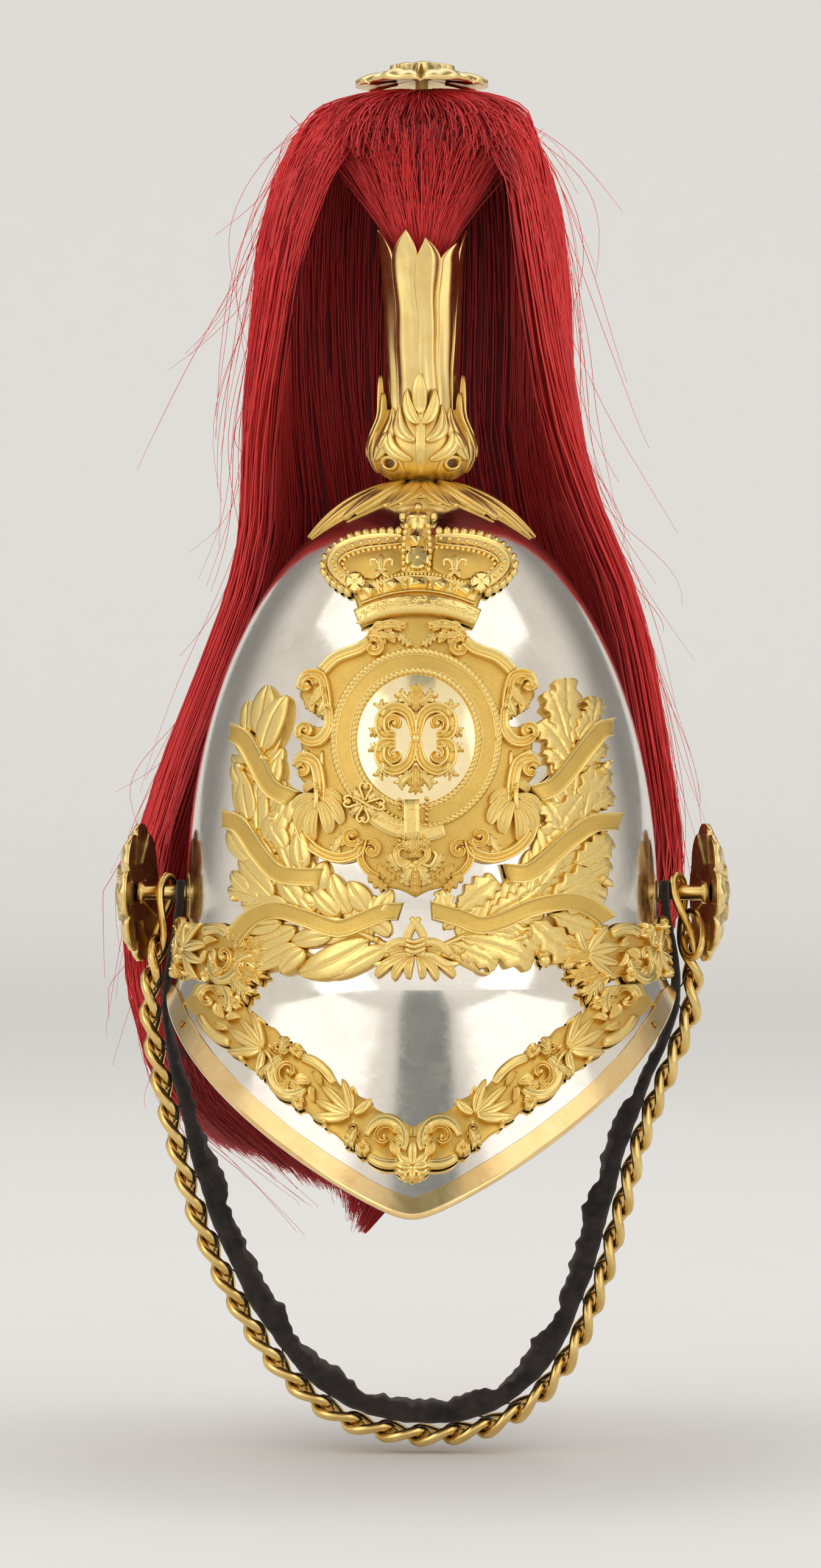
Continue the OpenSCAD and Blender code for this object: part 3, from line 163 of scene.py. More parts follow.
def smooth(points, steps=4):
    """Curve through given points of any dimension."""
    p = np.asarray(points, float)
    p = np.vstack([p[:1], p, p[-1:]])
    t = np.arange(steps)[:, None] / steps
    out = []
    for a, b, c, d in zip(p, p[1:], p[2:], p[3:]):
        out.append(0.5 * (2 * b + (c - a) * t + (2 * a - 5 * b + 4 * c - d) * t ** 2
                          + (3 * b - a - 3 * c + d) * t ** 3))
    return np.vstack(out + [p[-1:]])


def runs(path):
    """Distance along a path at each of its points."""
    return np.concatenate([[0], np.cumsum(np.linalg.norm(np.diff(path, axis=0), axis=1))])


def length_of(path):
    return np.linalg.norm(np.diff(path, axis=0), axis=1).sum()


def resampled(path, n):
    """The same polyline with n points at even distances."""
    run = runs(path)
    at = np.linspace(0, run[-1], n)
    return np.stack([np.interp(at, run, path[:, k]) for k in range(path.shape[1])], 1)


def spiral(centre, r0, r1, a0, a1, n=28):
    """Flat spiral between two radii and two angles in degrees."""
    t = np.linspace(0, 1, n)
    a = np.radians(a0 + (a1 - a0) * t)
    r = r0 + (r1 - r0) * t
    return np.stack([centre[0] + r * np.cos(a), centre[1] + r * np.sin(a)], 1)


def flipped(points, side):
    """Flat points mirrored to the side -1 or kept on the side 1."""
    return np.asarray(points, float) * [side, 1]


def unit(v):
    return v / np.maximum(1e-9, np.linalg.norm(v, axis=-1, keepdims=True))


def courses(path, closed=False):
    """Unit direction of a path at each of its points."""
    if closed:
        return unit(np.roll(path, -1, 0) - np.roll(path, 1, 0))
    i = np.arange(len(path))
    return unit(path[np.minimum(i + 1, len(path) - 1)] - path[np.maximum(i - 1, 0)])


def angles(n):
    """Even angles round a full turn."""
    return np.linspace(0, TAU, n + 1)[:-1]


def about(r, a, z, deep=1):
    """Points at radius r, bearing a from the front and height z, deep times as far in y as in x."""
    return np.stack(np.broadcast_arrays(r * np.sin(a), -deep * r * np.cos(a), z), -1)


# Meshes, gathered patch by patch

class Shape:
    """Points in millimetres, quads, and for each point how far the finish is burnished, from 0 to 1; where
    it is low, gilt hollows and hair get painted shade.
    """

    def __init__(self, middle=(0, 0, 60)):
        self.points, self.quads, self.burnish, self.count = [], [], [], 0
        self.middle = np.array(middle, float)

    def grid(self, p, burnish=0.5, round_u=False, round_v=False, outward=True):
        nu, nv = p.shape[:2]
        index = np.arange(nu * nv).reshape(nu, nv)
        if round_u:
            index = np.vstack([index, index[:1]])
        if round_v:
            index = np.hstack([index, index[:, :1]])
        flat = p.reshape(-1, 3)
        corners = [index[:-1, :-1], index[1:, :-1], index[1:, 1:], index[:-1, 1:]]
        quads = np.stack(corners, -1).reshape(-1, 4)
        if outward:
            a, b, c, d = (flat[quads[:, k]] for k in range(4))
            face_n = np.cross(c - a, d - b)
            away = (a + c) / 2 - (self.middle if outward is True else np.asarray(outward, float))
            if (face_n * away).sum() < 0:
                quads = quads[:, ::-1]
        self.points.append(flat)
        self.quads.append(quads + self.count)
        self.burnish.append(np.broadcast_to(burnish, (nu, nv)).reshape(-1))
        self.count += nu * nv

    def many(self, p, burnish=0.5):
        """Closed tubes of shape (tubes, rings, sides, 3), each capped at both ends."""
        m, n, s = p.shape[:3]
        base = (np.arange(m) * n * s)[:, None, None, None]
        i = np.arange(n - 1)[None, :, None] * s
        j = np.arange(s)[None, None, :]
        k = (j + 1) % s
        quads = np.stack(np.broadcast_arrays(i + j, i + k, i + s + k, i + s + j), -1)
        quads = quads[None] + base[..., None]
        self.points.append(p.reshape(-1, 3))
        self.quads.append(quads.reshape(-1, 4) + self.count)
        if s == 3:
            low = np.array([2, 1, 0, 0])
            caps = np.concatenate([base[:, 0, 0] + low, base[:, 0, 0] + (n - 1) * s + [0, 1, 2, 2]])
            self.quads.append(caps + self.count)
        self.burnish.append(np.repeat(np.broadcast_to(np.asarray(burnish, float), (m,)), n * s))
        self.count += m * n * s

    def build(self, name, material, body, replaces=(), smooth_faces=True):
        co = (np.concatenate(self.points) * MM).astype(np.float32)
        quads = np.concatenate(self.quads)
        mesh = bpy.data.meshes.new(name)
        same = quads[:, 2] == quads[:, 3]
        counts = np.where(same, 3, 4)
        loops = quads[~np.stack([np.zeros_like(same)] * 3 + [same], 1)]
        mesh.vertices.add(len(co))
        mesh.vertices.foreach_set("co", co.ravel())
        mesh.loops.add(len(loops))
        mesh.loops.foreach_set("vertex_index", loops.astype(np.int32))
        mesh.polygons.add(len(quads))
        mesh.polygons.foreach_set("loop_start",
                                  np.concatenate([[0], np.cumsum(counts)[:-1]]).astype(np.int32))
        mesh.update(calc_edges=True)
        mesh.validate()
        mesh.polygons.foreach_set("use_smooth", np.full(len(mesh.polygons), smooth_faces))
        if len(mesh.vertices) == len(co):
            # the burnish value is stored per point: burnished finish on gilt, painted shade on hair and in
            # gilt hollows
            layer = mesh.attributes.new("burnish", "FLOAT", "POINT")
            layer.data.foreach_set("value", np.concatenate(self.burnish).astype(np.float32))
        mesh.materials.append(material)
        piece = bpy.data.objects.new(name, mesh)
        bpy.context.scene.collection.objects.link(piece)
        if body:
            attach(piece, body)
        if replaces:
            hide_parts(*replaces)
        return piece


def tube(shape, path, radius, sides=8, closed=False, inner=None, burnish=0.6):
    """Round tube along a path of points, with its sides turned against the point inner."""
    n = len(path)
    d = courses(path, closed)
    ref = path - (path.mean(0) if inner is None else inner)
    e = unit(np.cross(d, ref))
    g = np.cross(e, d)
    a = np.arange(sides) * TAU / sides
    r = np.broadcast_to(radius, (n,))[:, None, None]
    rings = path[:, None] + r * (e[:, None] * np.cos(a)[:, None] + g[:, None] * np.sin(a)[:, None])
    if not closed:
        rings = np.concatenate([path[:1, None] + 0 * rings[:1], rings, path[-1:, None] + 0 * rings[-1:]])
    shape.grid(rings, burnish, round_u=closed, round_v=True, outward=False)


# Relief, drawn flat in x and z and laid on a surface by place(x, z, h)

SECTIONS = {
    "round": [(-1, None), (-1, 0.2), (-0.93, 0.52), (-0.75, 0.8), (-0.42, 0.96), (0, 1)],
    "moulding": [(-1, None), (-1, 0.35), (-0.9, 0.85), (-0.7, 1), (-0.52, 0.8), (-0.3, 0.5), (0, 0.4)],
    "strip": [(-1, None), (-1, 0.75), (-0.95, 1), (-0.86, 1), (-0.82, 0.72), (-0.4, 0.72), (0, 0.72)],
    "reeded": [(-1, None), (-1, 0.35), (-0.85, 0.75), (-0.62, 0.55), (-0.5, 0.85), (-0.32, 0.95),
               (-0.16, 0.7), (0, 1)],
}


def section(kind):
    """Places across a moulding from -1 to 1, and its height there as a share, None where it is sunk."""
    half = SECTIONS[kind]
    whole = half + [(-v, f) for v, f in half[-2::-1]]
    v = np.array([p[0] for p in whole], float)
    f = np.array([np.nan if p[1] is None else p[1] for p in whole])
    return v, f


def turned_down(x, z, h, low):
    """A strip with one more row at each of its ends, turned down to the height low."""
    x, z = np.vstack([x[:1], x, x[-1:]]), np.vstack([z[:1], z, z[-1:]])
    return x, z, np.vstack([h[:1] * 0 + low, h, h[-1:] * 0 + low])


def ridge(shape, place, path, width, height, foot=0.0, kind="round", ends=(0.5, 0.5), steps=4, sink=None,
          burnish=(0.2, 1.0)):
    """Moulding along a flat path. ends are its width at both ends, as shares of its greatest."""
    p = smooth(path, steps) if steps > 1 else np.asarray(path, float)
    n = len(p)
    t = np.linspace(0, 1, n)
    ease = lambda s: np.clip(s, 0, 1) * (2 - np.clip(s, 0, 1))
    k = np.minimum(ends[0] + (1 - ends[0]) * ease(t * 3), ends[1] + (1 - ends[1]) * ease((1 - t) * 3))
    c = courses(p)
    v, f = section(kind)
    low = foot + SINK if sink is None else sink
    x = p[:, 0, None] - c[:, 1, None] * v * k[:, None] * width / 2
    z = p[:, 1, None] + c[:, 0, None] * v * k[:, None] * width / 2
    h = np.where(np.isnan(f), low, foot + height * k[:, None] * np.nan_to_num(f))
    x, z, h = turned_down(x, z, h, low)
    shine = burnish[0] + (burnish[1] - burnish[0]) * np.nan_to_num(f) ** 2
    shape.grid(place(x, z, h), np.broadcast_to(shine, x.shape))


def bead(shape, place, x, z, r, height=None, foot=0.0, long=1.0, turn=0.0, burnish=0.9):
    """Ball or oval boss."""
    a = angles(16)
    e = np.radians([-25, 5, 25, 45, 65, 82, 90])
    u, v = r * long * np.cos(e)[:, None] * np.cos(a), r * np.cos(e)[:, None] * np.sin(a)
    c, s = math.cos(turn), math.sin(turn)
    h = np.sin(e)[:, None] * (r if height is None else height) + 0 * a
    shape.grid(place(x + u * c - v * s, z + u * s + v * c, np.where(h < 0, foot + SINK, foot + h)), burnish,
               round_v=True)


# A blade is one smooth leaf or lobe: how full it is at its root and tip, and its form
BLADES = {
    "laurel": (0.46, 0.62, "crowned"),
    "spear": (0.42, 0.60, "fluted"),
    "petal": (0.60, 0.36, "fluted"),
    "oak": (0.60, 0.34, "crowned"),
}
CROWNED = [(1, None), (1, 0.55), (0.95, 0.76), (0.84, 0.86), (0.62, 0.93), (0.38, 0.99), (0.17, 1),
           (0.07, 0.84), (0, 0.78)]
FLUTED = [(1, None), (1, 0.5), (0.95, 0.85), (0.86, 1), (0.74, 0.93), (0.48, 0.74), (0.20, 0.68),
          (0.08, 0.78), (0, 0.84)]

OAK_LOBES = 4

# A spray is a blade with pairs of side lobes: their kind, number of pairs, angle, the midrib's share
# of the width, and the first and last place along it
SPRAYS = {
    "acanthus": ("spear", 3, 36, 0.42, 0.06, 0.56),
    "frond": ("petal", 2, 42, 0.50, 0.10, 0.48),
}


def leaf_outline(u, full_root, full_tip):
    """Half width of a blade along its length, with its greatest at 1."""
    peak = full_root / (full_root + full_tip)
    top = peak ** full_root * (1 - peak) ** full_tip
    return np.maximum(u, 0.003) ** full_root * np.maximum(1 - u, 0.0) ** full_tip / top


def blade(shape, place, root, tip, width, height, foot, kind, bend, rows, sink, coarse=False):
    """One smooth leaf or lobe from root to tip."""
    full_root, full_tip, form = BLADES[kind]
    half = CROWNED if form == "crowned" else FLUTED
    if coarse:
        half = [half[i] for i in (0, 1, 3, 5, 8)]
    whole = [(-v, f) for v, f in half] + half[-2::-1]
    v = np.array([p[0] for p in whole], float)
    f = np.array([0 if p[1] is None else p[1] for p in whole])
    along = tip - root
    length = np.linalg.norm(along)
    side = np.array([-along[1], along[0]]) / length
    u = (1 - np.cos(np.linspace(0, math.pi, rows)))[:, None] / 2
    w = leaf_outline(u, full_root, full_tip) * width / 2
    veins = 0
    if kind == "oak":
        u = np.linspace(0, 1, rows)[:, None] ** 0.9
        lobe = OAK_LOBES * u - 0.75 * np.abs(v)
        w = leaf_outline(u, full_root, full_tip) * width / 2
        w = w * (1 - 0.36 * (0.5 - 0.5 * np.cos(TAU * (OAK_LOBES * u - 0.75))) * np.abs(v) ** 2)
        veins = 0.13 * np.exp(-((lobe - np.round(lobe)) / 0.07) ** 2) - 0.06
    off = bend * length * 4 * u * (1 - u) + v * w
    x = root[0] + along[0] * u + side[0] * off
    z = root[1] + along[1] * u + side[1] * off
    fall = 0.70 + 0.30 * np.sin(math.pi * np.clip(0.15 + 0.75 * u, 0, 1))
    h = sink + (foot + height * (f + veins) * fall - sink) * (1 - 0.5 * u ** 6)
    h[:, [0, -1]] = sink
    h[[0, -1]] = sink
    shape.grid(place(x, z, h), np.clip(1.6 * f - 0.75, 0, 0.85) * np.ones_like(u))


def spray(shape, place, root, tip, width, height, foot, kind, bend, sink):
    """Lobed leaf: pairs of lobes from its midrib, and a longer one at its end."""
    lobe, pairs, angle, share, first, last = SPRAYS[kind]
    along = tip - root
    length = np.linalg.norm(along)
    side = np.array([-along[1], along[0]]) / length
    small = length < 9
    lobe_rows = 7 if small else 10
    for k in range(pairs):
        u = first + (last - first) * k / max(1, pairs - 1)
        start = root + along * u + side * bend * length * 4 * u * (1 - u)
        ahead = unit(along / length + side * bend * 4 * (1 - 2 * u))
        across = np.array([-ahead[1], ahead[0]])
        reach = width / 2 * (1.0 - 0.30 * (k / pairs) ** 1.5)
        for turn in (-1, 1):
            a = math.radians(angle * (1 - 0.14 * k / pairs))
            end = start + (ahead * math.cos(a) + across * turn * math.sin(a)) * reach / math.sin(a)
            wide = length / pairs * 0.66 * (1 - 0.08 * k)
            blade(shape, place, start, end, wide, height * 0.86, foot - 0.02 * k, lobe, -0.10 * turn,
                  lobe_rows, sink, small)
    blade(shape, place, root, tip, width * share, height, foot + 0.06 * height, "spear", bend,
          max(9, lobe_rows), sink, small)


def leaf(shape, place, root, tip, width, height=2.0, foot=0.0, kind="laurel", bend=0.0, rows=0, sink=None):
    """Leaf from root to tip, both flat points, bent sideways by the share bend of its length."""
    root, tip = np.asarray(root, float), np.asarray(tip, float)
    low = foot + SINK if sink is None else sink
    if kind in SPRAYS:
        spray(shape, place, root, tip, width, height, foot, kind, bend, low)
    else:
        blade(shape, place, root, tip, width, height, foot, kind, bend,
              rows or (34 if kind == "oak" else 15), low)


def volute(shape, place, centre, r, a0, a1, width=2.4, height=2.4, foot=0.0, kind="moulding"):
    """Scroll end that winds from the radius r into a button."""
    ridge(shape, place, spiral(centre, r, r * 0.22, a0, a1), width, height, foot, kind, (1, 0.45), steps=1)
    bead(shape, place, centre[0], centre[1], r * 0.34, height * 1.05, foot)


def plate(shape, place, outline, centre, foot, height, rings=14, dome=0.0, burnish=0.1):
    """Flat or crowned plate inside an outline, with its rim turned down."""
    p = np.asarray(outline, float)
    c = np.asarray(centre, float)
    t = np.concatenate([np.linspace(0.02, 1, rings), [1, 1]])[:, None]
    q = c + (p - c)[None] * t[..., None]
    h = foot + height + dome * (1 - t ** 2) + 0 * p[None, :, 0]
    h[-2] = foot + height * 0.75
    h[-1] = foot + SINK
    shape.grid(place(q[..., 0], q[..., 1], h), burnish, round_v=True)


def rope(shape, place, path, width, height, foot, pitch=1.7):
    """Closed twisted cord along a flat path."""
    loop = np.vstack([path, path[:1]])
    turns = round(length_of(loop) / pitch)
    p = resampled(loop, turns * 6 + 1)[:-1]
    c = courses(p, closed=True)
    v = np.array([-1, -1, -0.85, -0.5, 0, 0.5, 0.85, 1, 1.0])
    twist = np.cos(TAU * (np.arange(len(p))[:, None] / 6 + 0.45 * v))
    h = foot + height * np.sqrt(np.clip(1.05 - v ** 2, 0.05, 1)) * (0.78 + 0.22 * twist)
    h[:, [0, -1]] = foot + SINK
    x = p[:, 0, None] - c[:, 1, None] * v * width / 2
    z = p[:, 1, None] + c[:, 0, None] * v * width / 2
    shape.grid(place(x, z, h), np.clip(0.5 + 0.5 * twist, 0, 1), round_u=True)


def oval(rx, rz, centre=(0, 0), n=96):
    a = angles(n)
    return np.stack([centre[0] + rx * np.cos(a), centre[1] + rz * np.sin(a)], 1)


# Materials

class Nodes:
    """A material's node tree, with short ways to make and join nodes."""

    def __init__(self, name):
        self.material = bpy.data.materials.new(name)
        self.material.use_nodes = True
        self.tree = self.material.node_tree
        self.shader = self.tree.nodes["Principled BSDF"]

    def add(self, kind, **values):
        node = self.tree.nodes.new(kind)
        for key, value in values.items():
            if key in node.inputs:
                node.inputs[key].default_value = value
            else:
                setattr(node, key, value)
        return node

    def link(self, out, to):
        self.tree.links.new(out, to)
        return out

    def coords(self):
        return self.add("ShaderNodeTexCoord").outputs["Object"]

    def noise(self, size, detail=4, rough=0.5, distort=0.0, stretch=None):
        """Noise whose features are about size millimetres wide."""
        node = self.add("ShaderNodeTexNoise", Scale=1 / (size * MM), Detail=detail, Roughness=rough,
                        Distortion=distort)
        source = self.coords()
        if stretch:
            source = self.scaled(source, stretch)
        self.link(source, node.inputs["Vector"])
        return node.outputs["Fac"]

    def scaled(self, source, factors):
        node = self.add("ShaderNodeMapping", Scale=factors)
        self.link(source, node.inputs["Vector"])
        return node.outputs["Vector"]

    def cells(self, size, feature="F1", metric="EUCLIDEAN"):
        node = self.add("ShaderNodeTexVoronoi", Scale=1 / (size * MM), feature=feature, distance=metric)
        self.link(self.coords(), node.inputs["Vector"])
        return node.outputs["Distance"]

    def ramp(self, source, *stops):
        """Colour ramp through (place, colour or grey) stops."""
        node = self.add("ShaderNodeValToRGB")
        elements = node.color_ramp.elements
        while len(elements) < len(stops):
            elements.new(0.5)
        for element, (place, value) in zip(elements, stops):
            element.position = place
            element.color = (value, value, value, 1) if np.isscalar(value) else (*value, 1)
        self.link(source, node.inputs["Fac"])
        return node.outputs["Color"]

    def mix(self, factor, a, b, blend="MIX"):
        node = self.add("ShaderNodeMix", data_type="RGBA", blend_type=blend)
        for value, socket in ((factor, node.inputs[0]), (a, node.inputs[6]), (b, node.inputs[7])):
            if hasattr(value, "is_linked"):
                self.link(value, socket)
            elif np.isscalar(value):
                socket.default_value = value
            else:
                socket.default_value = (*value, 1)
        return node.outputs[2]

    def math(self, operation, a, b=0.0, clamp=False):
        node = self.add("ShaderNodeMath", operation=operation, use_clamp=clamp)
        for value, socket in ((a, node.inputs[0]), (b, node.inputs[1])):
            if hasattr(value, "is_linked"):
                self.link(value, socket)
            else:
                socket.default_value = value
        return node.outputs[0]

    def attribute(self, name):
        return self.add("ShaderNodeAttribute", attribute_name=name).outputs["Fac"]

    def bump(self, height, depth, strength=1.0, under=None):
        """Bump whose height 1 stands depth millimetres proud."""
        node = self.add("ShaderNodeBump", Strength=strength, Distance=depth * MM)
        self.link(height, node.inputs["Height"])
        if under is not None:
            self.link(under, node.inputs["Normal"])
        return node.outputs["Normal"]

    def finish(self, colour=None, roughness=None, normal=None, **values):
        for source, socket in ((colour, "Base Color"), (roughness, "Roughness"), (normal, "Normal")):
            if source is None:
                continue
            if hasattr(source, "is_linked"):
                self.link(source, self.shader.inputs[socket])
            else:
                self.shader.inputs[socket].default_value = source if np.isscalar(source) else (*source, 1)
        for key, value in values.items():
            self.shader.inputs[key.replace("_", " ")].default_value = value
        return self.material


def silver_material():
    """Polished German silver with warm tarnished patches, specks, swirl marks and slight waves."""
    m = Nodes("polished_silver")
    cloud = m.noise(26, detail=5, rough=0.6, distort=0.6)
    speck = m.noise(1.3, detail=3, rough=0.7)
    colour = m.mix(m.ramp(cloud, (0.34, 0.0), (0.70, 1.0)), (0.81, 0.765, 0.695), (0.93, 0.885, 0.81))
    colour = m.mix(m.ramp(speck, (0.68, 0.0), (0.78, 0.5)), colour, (0.50, 0.47, 0.43))
    stain = m.noise(60, detail=6, rough=0.7, distort=1.5)
    colour = m.mix(m.ramp(stain, (0.52, 0.0), (0.74, 0.35)), colour, (0.66, 0.60, 0.52))
    smear = m.noise(7, detail=6, rough=0.65, distort=1.2)
    scratches = m.noise(0.5, detail=2, stretch=(1, 1, 0.05))
    rough = m.math("ADD", m.ramp(smear, (0.35, 0.09), (0.75, 0.20)),
                   m.ramp(scratches, (0.6, 0.0), (0.8, 0.06)))
    waves = m.bump(m.noise(30, detail=2), 0.10)
    normal = m.bump(scratches, 0.004, 0.5, waves)
    return m.finish(colour, rough, normal, Metallic=1.0)


def gilt_material(name, matt, bright, rough, stipple=0.0, grain=0.55, tarnish_and_shade=0.35):
    """Gilt stamping, matt in the hollows and burnished where the burnish attribute is high; the hollows are
    also darkened brown, partly as patina and partly as painted shade.
    """
    m = Nodes(name)
    high = m.attribute("burnish")
    cloud = m.noise(9, detail=4, rough=0.6)
    fine = m.noise(1.1, detail=3, rough=0.6)
    colour = m.mix(high, matt, bright)
    # brown in the hollows, scaled by tarnish_and_shade: partly patina, partly painted shade of the recesses
    hollow = m.math("MULTIPLY", m.ramp(high, (0.0, 1.0), (0.35, 0.0)),
                    m.ramp(cloud, (0.35, 0.2), (0.7, 1.0)))
    colour = m.mix(m.math("MULTIPLY", hollow, tarnish_and_shade), colour, (0.40, 0.22, 0.045))
    colour = m.mix(m.ramp(fine, (0.30, 0.30), (0.55, 0.0)), colour, tuple(0.8 * c for c in matt))
    polish = m.mix(high, (rough[0],) * 3, (rough[1],) * 3)
    roughness = m.math("ADD", polish, m.ramp(fine, (0.35, 0.06), (0.7, -0.0)))
    normal = m.bump(fine, 0.03, 0.5)
    if stipple:
        dots = m.cells(grain, feature="SMOOTH_F1")
        low = m.ramp(high, (0.1, 1.0), (0.75, 0.15))
        normal = m.bump(m.math("MULTIPLY", dots, low), stipple, 1.0, normal)
    return m.finish(colour, roughness, normal, Metallic=1.0)


def polished_gilt_material(name, colour_a, colour_b, rough=0.14, spots=0.35):
    """Smooth gilt sheet with dulled patches, fine scratches and a few dark spots."""
    m = Nodes(name)
    cloud = m.noise(14, detail=6, rough=0.62, distort=0.8)
    fine = m.noise(0.9, detail=2)
    speck = m.noise(1.7, detail=5, rough=0.75)
    colour = m.mix(m.ramp(cloud, (0.35, 0.0), (0.7, 1.0)), colour_a, colour_b)
    colour = m.mix(m.ramp(speck, (0.64, 0.0), (0.74, spots)), colour, (0.20, 0.11, 0.03))
    scratches = m.noise(0.35, detail=2, stretch=(0.08, 1, 1))
    roughness = m.math("ADD", m.ramp(cloud, (0.3, rough), (0.8, rough + 0.12)),
                       m.ramp(scratches, (0.62, 0.0), (0.8, 0.07)))
    normal = m.bump(fine, 0.012, 0.5, m.bump(m.noise(11, detail=2), 0.08))
    return m.finish(colour, roughness, normal, Metallic=1.0)


def brass_material():
    m = Nodes("brass_fixings")
    cloud = m.noise(4, detail=5, rough=0.65)
    colour = m.mix(cloud, (0.36, 0.24, 0.10), (0.66, 0.48, 0.21))
    lathe = m.noise(0.3, detail=1, stretch=(0.2, 0.2, 1))
    return m.finish(colour, m.ramp(cloud, (0.3, 0.24), (0.7, 0.46)), m.bump(lathe, 0.02), Metallic=1.0)


def hair_material(name, dark, light, gloss=0.36):
    """Dyed horsehair, each strand in its own shade, with painted shade that darkens it where the burnish
    attribute is low.
    """
    m = Nodes(name)
    own = m.add("ShaderNodeNewGeometry").outputs["Random Per Island"]
    streak = m.noise(2.2, detail=4, stretch=(1, 1, 0.05))
    shade = m.math("ADD", m.math("MULTIPLY", own, 0.6), m.math("MULTIPLY", streak, 0.4))
    colour = m.mix(shade, dark, light)
    # painted shade: strands deep in the hair are mixed towards a near-black red
    colour = m.mix(m.attribute("burnish"), (0.30 * dark[0], 0.002, 0.006), colour)
    return m.finish(colour, m.ramp(own, (0.0, gloss - 0.08), (1.0, gloss + 0.12)), Coat_Weight=0.15,
                    Coat_Roughness=0.28, Specular_IOR_Level=0.5, Sheen_Weight=0.08, Sheen_Roughness=0.4,
                    Sheen_Tint=(1.0, 0.35, 0.30, 1))


def hair_mass_material():
    # hair under the strands, coloured darker red than them as painted shade of the hair's depth, and darker
    # still on its inner face as painted shade
    m = Nodes("horsehair_depth")
    streak = m.noise(1.6, detail=6, rough=0.7, stretch=(1, 1, 0.03))
    colour = m.mix(m.ramp(streak, (0.35, 0.0), (0.7, 1.0)), (0.22, 0.003, 0.008), (0.55, 0.010, 0.018))
    colour = m.mix(m.attribute("burnish"), (0.15, 0.002, 0.006), colour)
    return m.finish(colour, 0.6, m.bump(streak, 0.9))


def velvet_material():
    m = Nodes("velvet")
    pile = m.noise(0.45, detail=4, rough=0.8)
    crush = m.noise(6, detail=4, rough=0.6)
    colour = m.mix(m.ramp(crush, (0.35, 0.0), (0.72, 1.0)), (0.006, 0.005, 0.005), (0.035, 0.026, 0.022))
    normal = m.bump(pile, 0.25, 0.8, m.bump(crush, 0.7))
    return m.finish(colour, 0.92, normal, Sheen_Weight=0.45, Sheen_Roughness=0.45,
                    Sheen_Tint=(0.55, 0.48, 0.44, 1))


def thread_material(name, dark, light):
    m = Nodes(name)
    twist = m.noise(0.7, detail=3, stretch=(1, 1, 0.4))
    return m.finish(m.mix(twist, dark, light), 0.8, m.bump(twist, 0.2), Sheen_Weight=0.2)


def leather_material(name="liner_leather"):
    m = Nodes(name)
    grain = m.cells(0.9, feature="DISTANCE_TO_EDGE")
    cloud = m.noise(18, detail=5, rough=0.6)
    colour = m.mix(m.ramp(cloud, (0.3, 0.0), (0.75, 1.0)), (0.16, 0.075, 0.03), (0.34, 0.18, 0.085))
    colour = m.mix(m.ramp(grain, (0.0, 0.5), (0.12, 0.0)), colour, (0.07, 0.03, 0.012))
    return m.finish(colour, m.ramp(cloud, (0.3, 0.46), (0.8, 0.62)), m.bump(grain, 0.12, 0.7))


def stage_material(name, colour):
    m = Nodes(name)
    grain = m.noise(40, detail=2)
    tone = m.mix(grain, tuple(0.98 * c for c in colour), colour)
    return m.finish(tone, 0.9)


GOLD_MATT = (0.76, 0.50, 0.115)
GOLD_BRIGHT = (0.98, 0.76, 0.30)
SILVER = silver_material()
GILT = gilt_material("gilt", GOLD_MATT, GOLD_BRIGHT, (0.42, 0.20), stipple=0.04)
FROSTED = gilt_material("frosted_gilt", (0.80, 0.545, 0.145), GOLD_BRIGHT, (0.48, 0.24), stipple=0.10,
                        tarnish_and_shade=0.25)
BURNISHED = polished_gilt_material("burnished_gilt", (0.86, 0.625, 0.24), (0.95, 0.74, 0.35), 0.20, 0.2)
SATIN_GILT = polished_gilt_material("satin_gilt", (0.90, 0.66, 0.24), (0.97, 0.75, 0.33), 0.24, 0.15)
MIRROR_GILT = polished_gilt_material("mirror_gilt", (0.93, 0.76, 0.42), (0.98, 0.85, 0.55), 0.08, 0.45)
EDGING_GILT = polished_gilt_material("edging_gilt", (0.88, 0.60, 0.26), (0.97, 0.74, 0.38), 0.12, 0.35)
CHAIN_GILT = polished_gilt_material("chain_gilt", (0.72, 0.49, 0.16), (0.92, 0.68, 0.28), 0.15, 0.35)
BRASS = brass_material()
HAIR = hair_material("horsehair", (0.78, 0.012, 0.026), (1.0, 0.075, 0.065))
HAIR_DEPTH = hair_mass_material()
VELVET = velvet_material()
BLACK_THREAD = thread_material("black_thread", (0.004, 0.004, 0.004), (0.03, 0.026, 0.024))
RED_THREAD = thread_material("binding_thread", (0.08, 0.004, 0.004), (0.25, 0.02, 0.02))
LACE = thread_material("lace", (0.10, 0.05, 0.02), (0.30, 0.18, 0.09))
LEATHER = leather_material()


# Polished skull and peaks

def skull_piece():
    s = Shape()
    rise = np.sin(np.linspace(0, math.pi / 2, 90)) * 0.99999
    z = np.concatenate([np.linspace(0, TEMPLE_H, 22)[:-1], TEMPLE_H + DOME_H * rise])[:, None]
    a = angles(240)
    front = np.clip((np.cos(a) + 0.12) / 0.24, 0, 1)
    flare = NECK_FLARE + (FRONT_FLARE - NECK_FLARE) * front ** 2 * (3 - 2 * front)
    w = np.maximum(half_w(z, flare), 0.05)
    out = about(w, a, z, SKULL_K)
    inn = out * (1 - METAL_T / SKULL_A)
    inn[..., 2] = out[..., 2] * (1 - METAL_T / APEX_Z)
    inn[0, :, 2] = 0
    s.grid(out, 0.5, round_v=True)
    s.grid(np.concatenate([out[:1], inn[:1]]), 0.5, round_v=True, outward=(0, 0, 30))
    s.grid(inn[:, ::-1], 0.5, round_v=True, outward=False)
    return s.build("skull_polished", SILVER, "helmet", ["skull_shell"])


def front_edge(a):
    """Height of the front peak's edge at the bearing a."""
    tip_round = 0.05
    return -FRONT_DROP * (1 - (np.hypot(np.sin(a), tip_round) - tip_round)) ** 0.9


def neck_edge(a):
    return -NECK_SIDE - (NECK_DROP - NECK_SIDE) * np.cos(a) ** 2


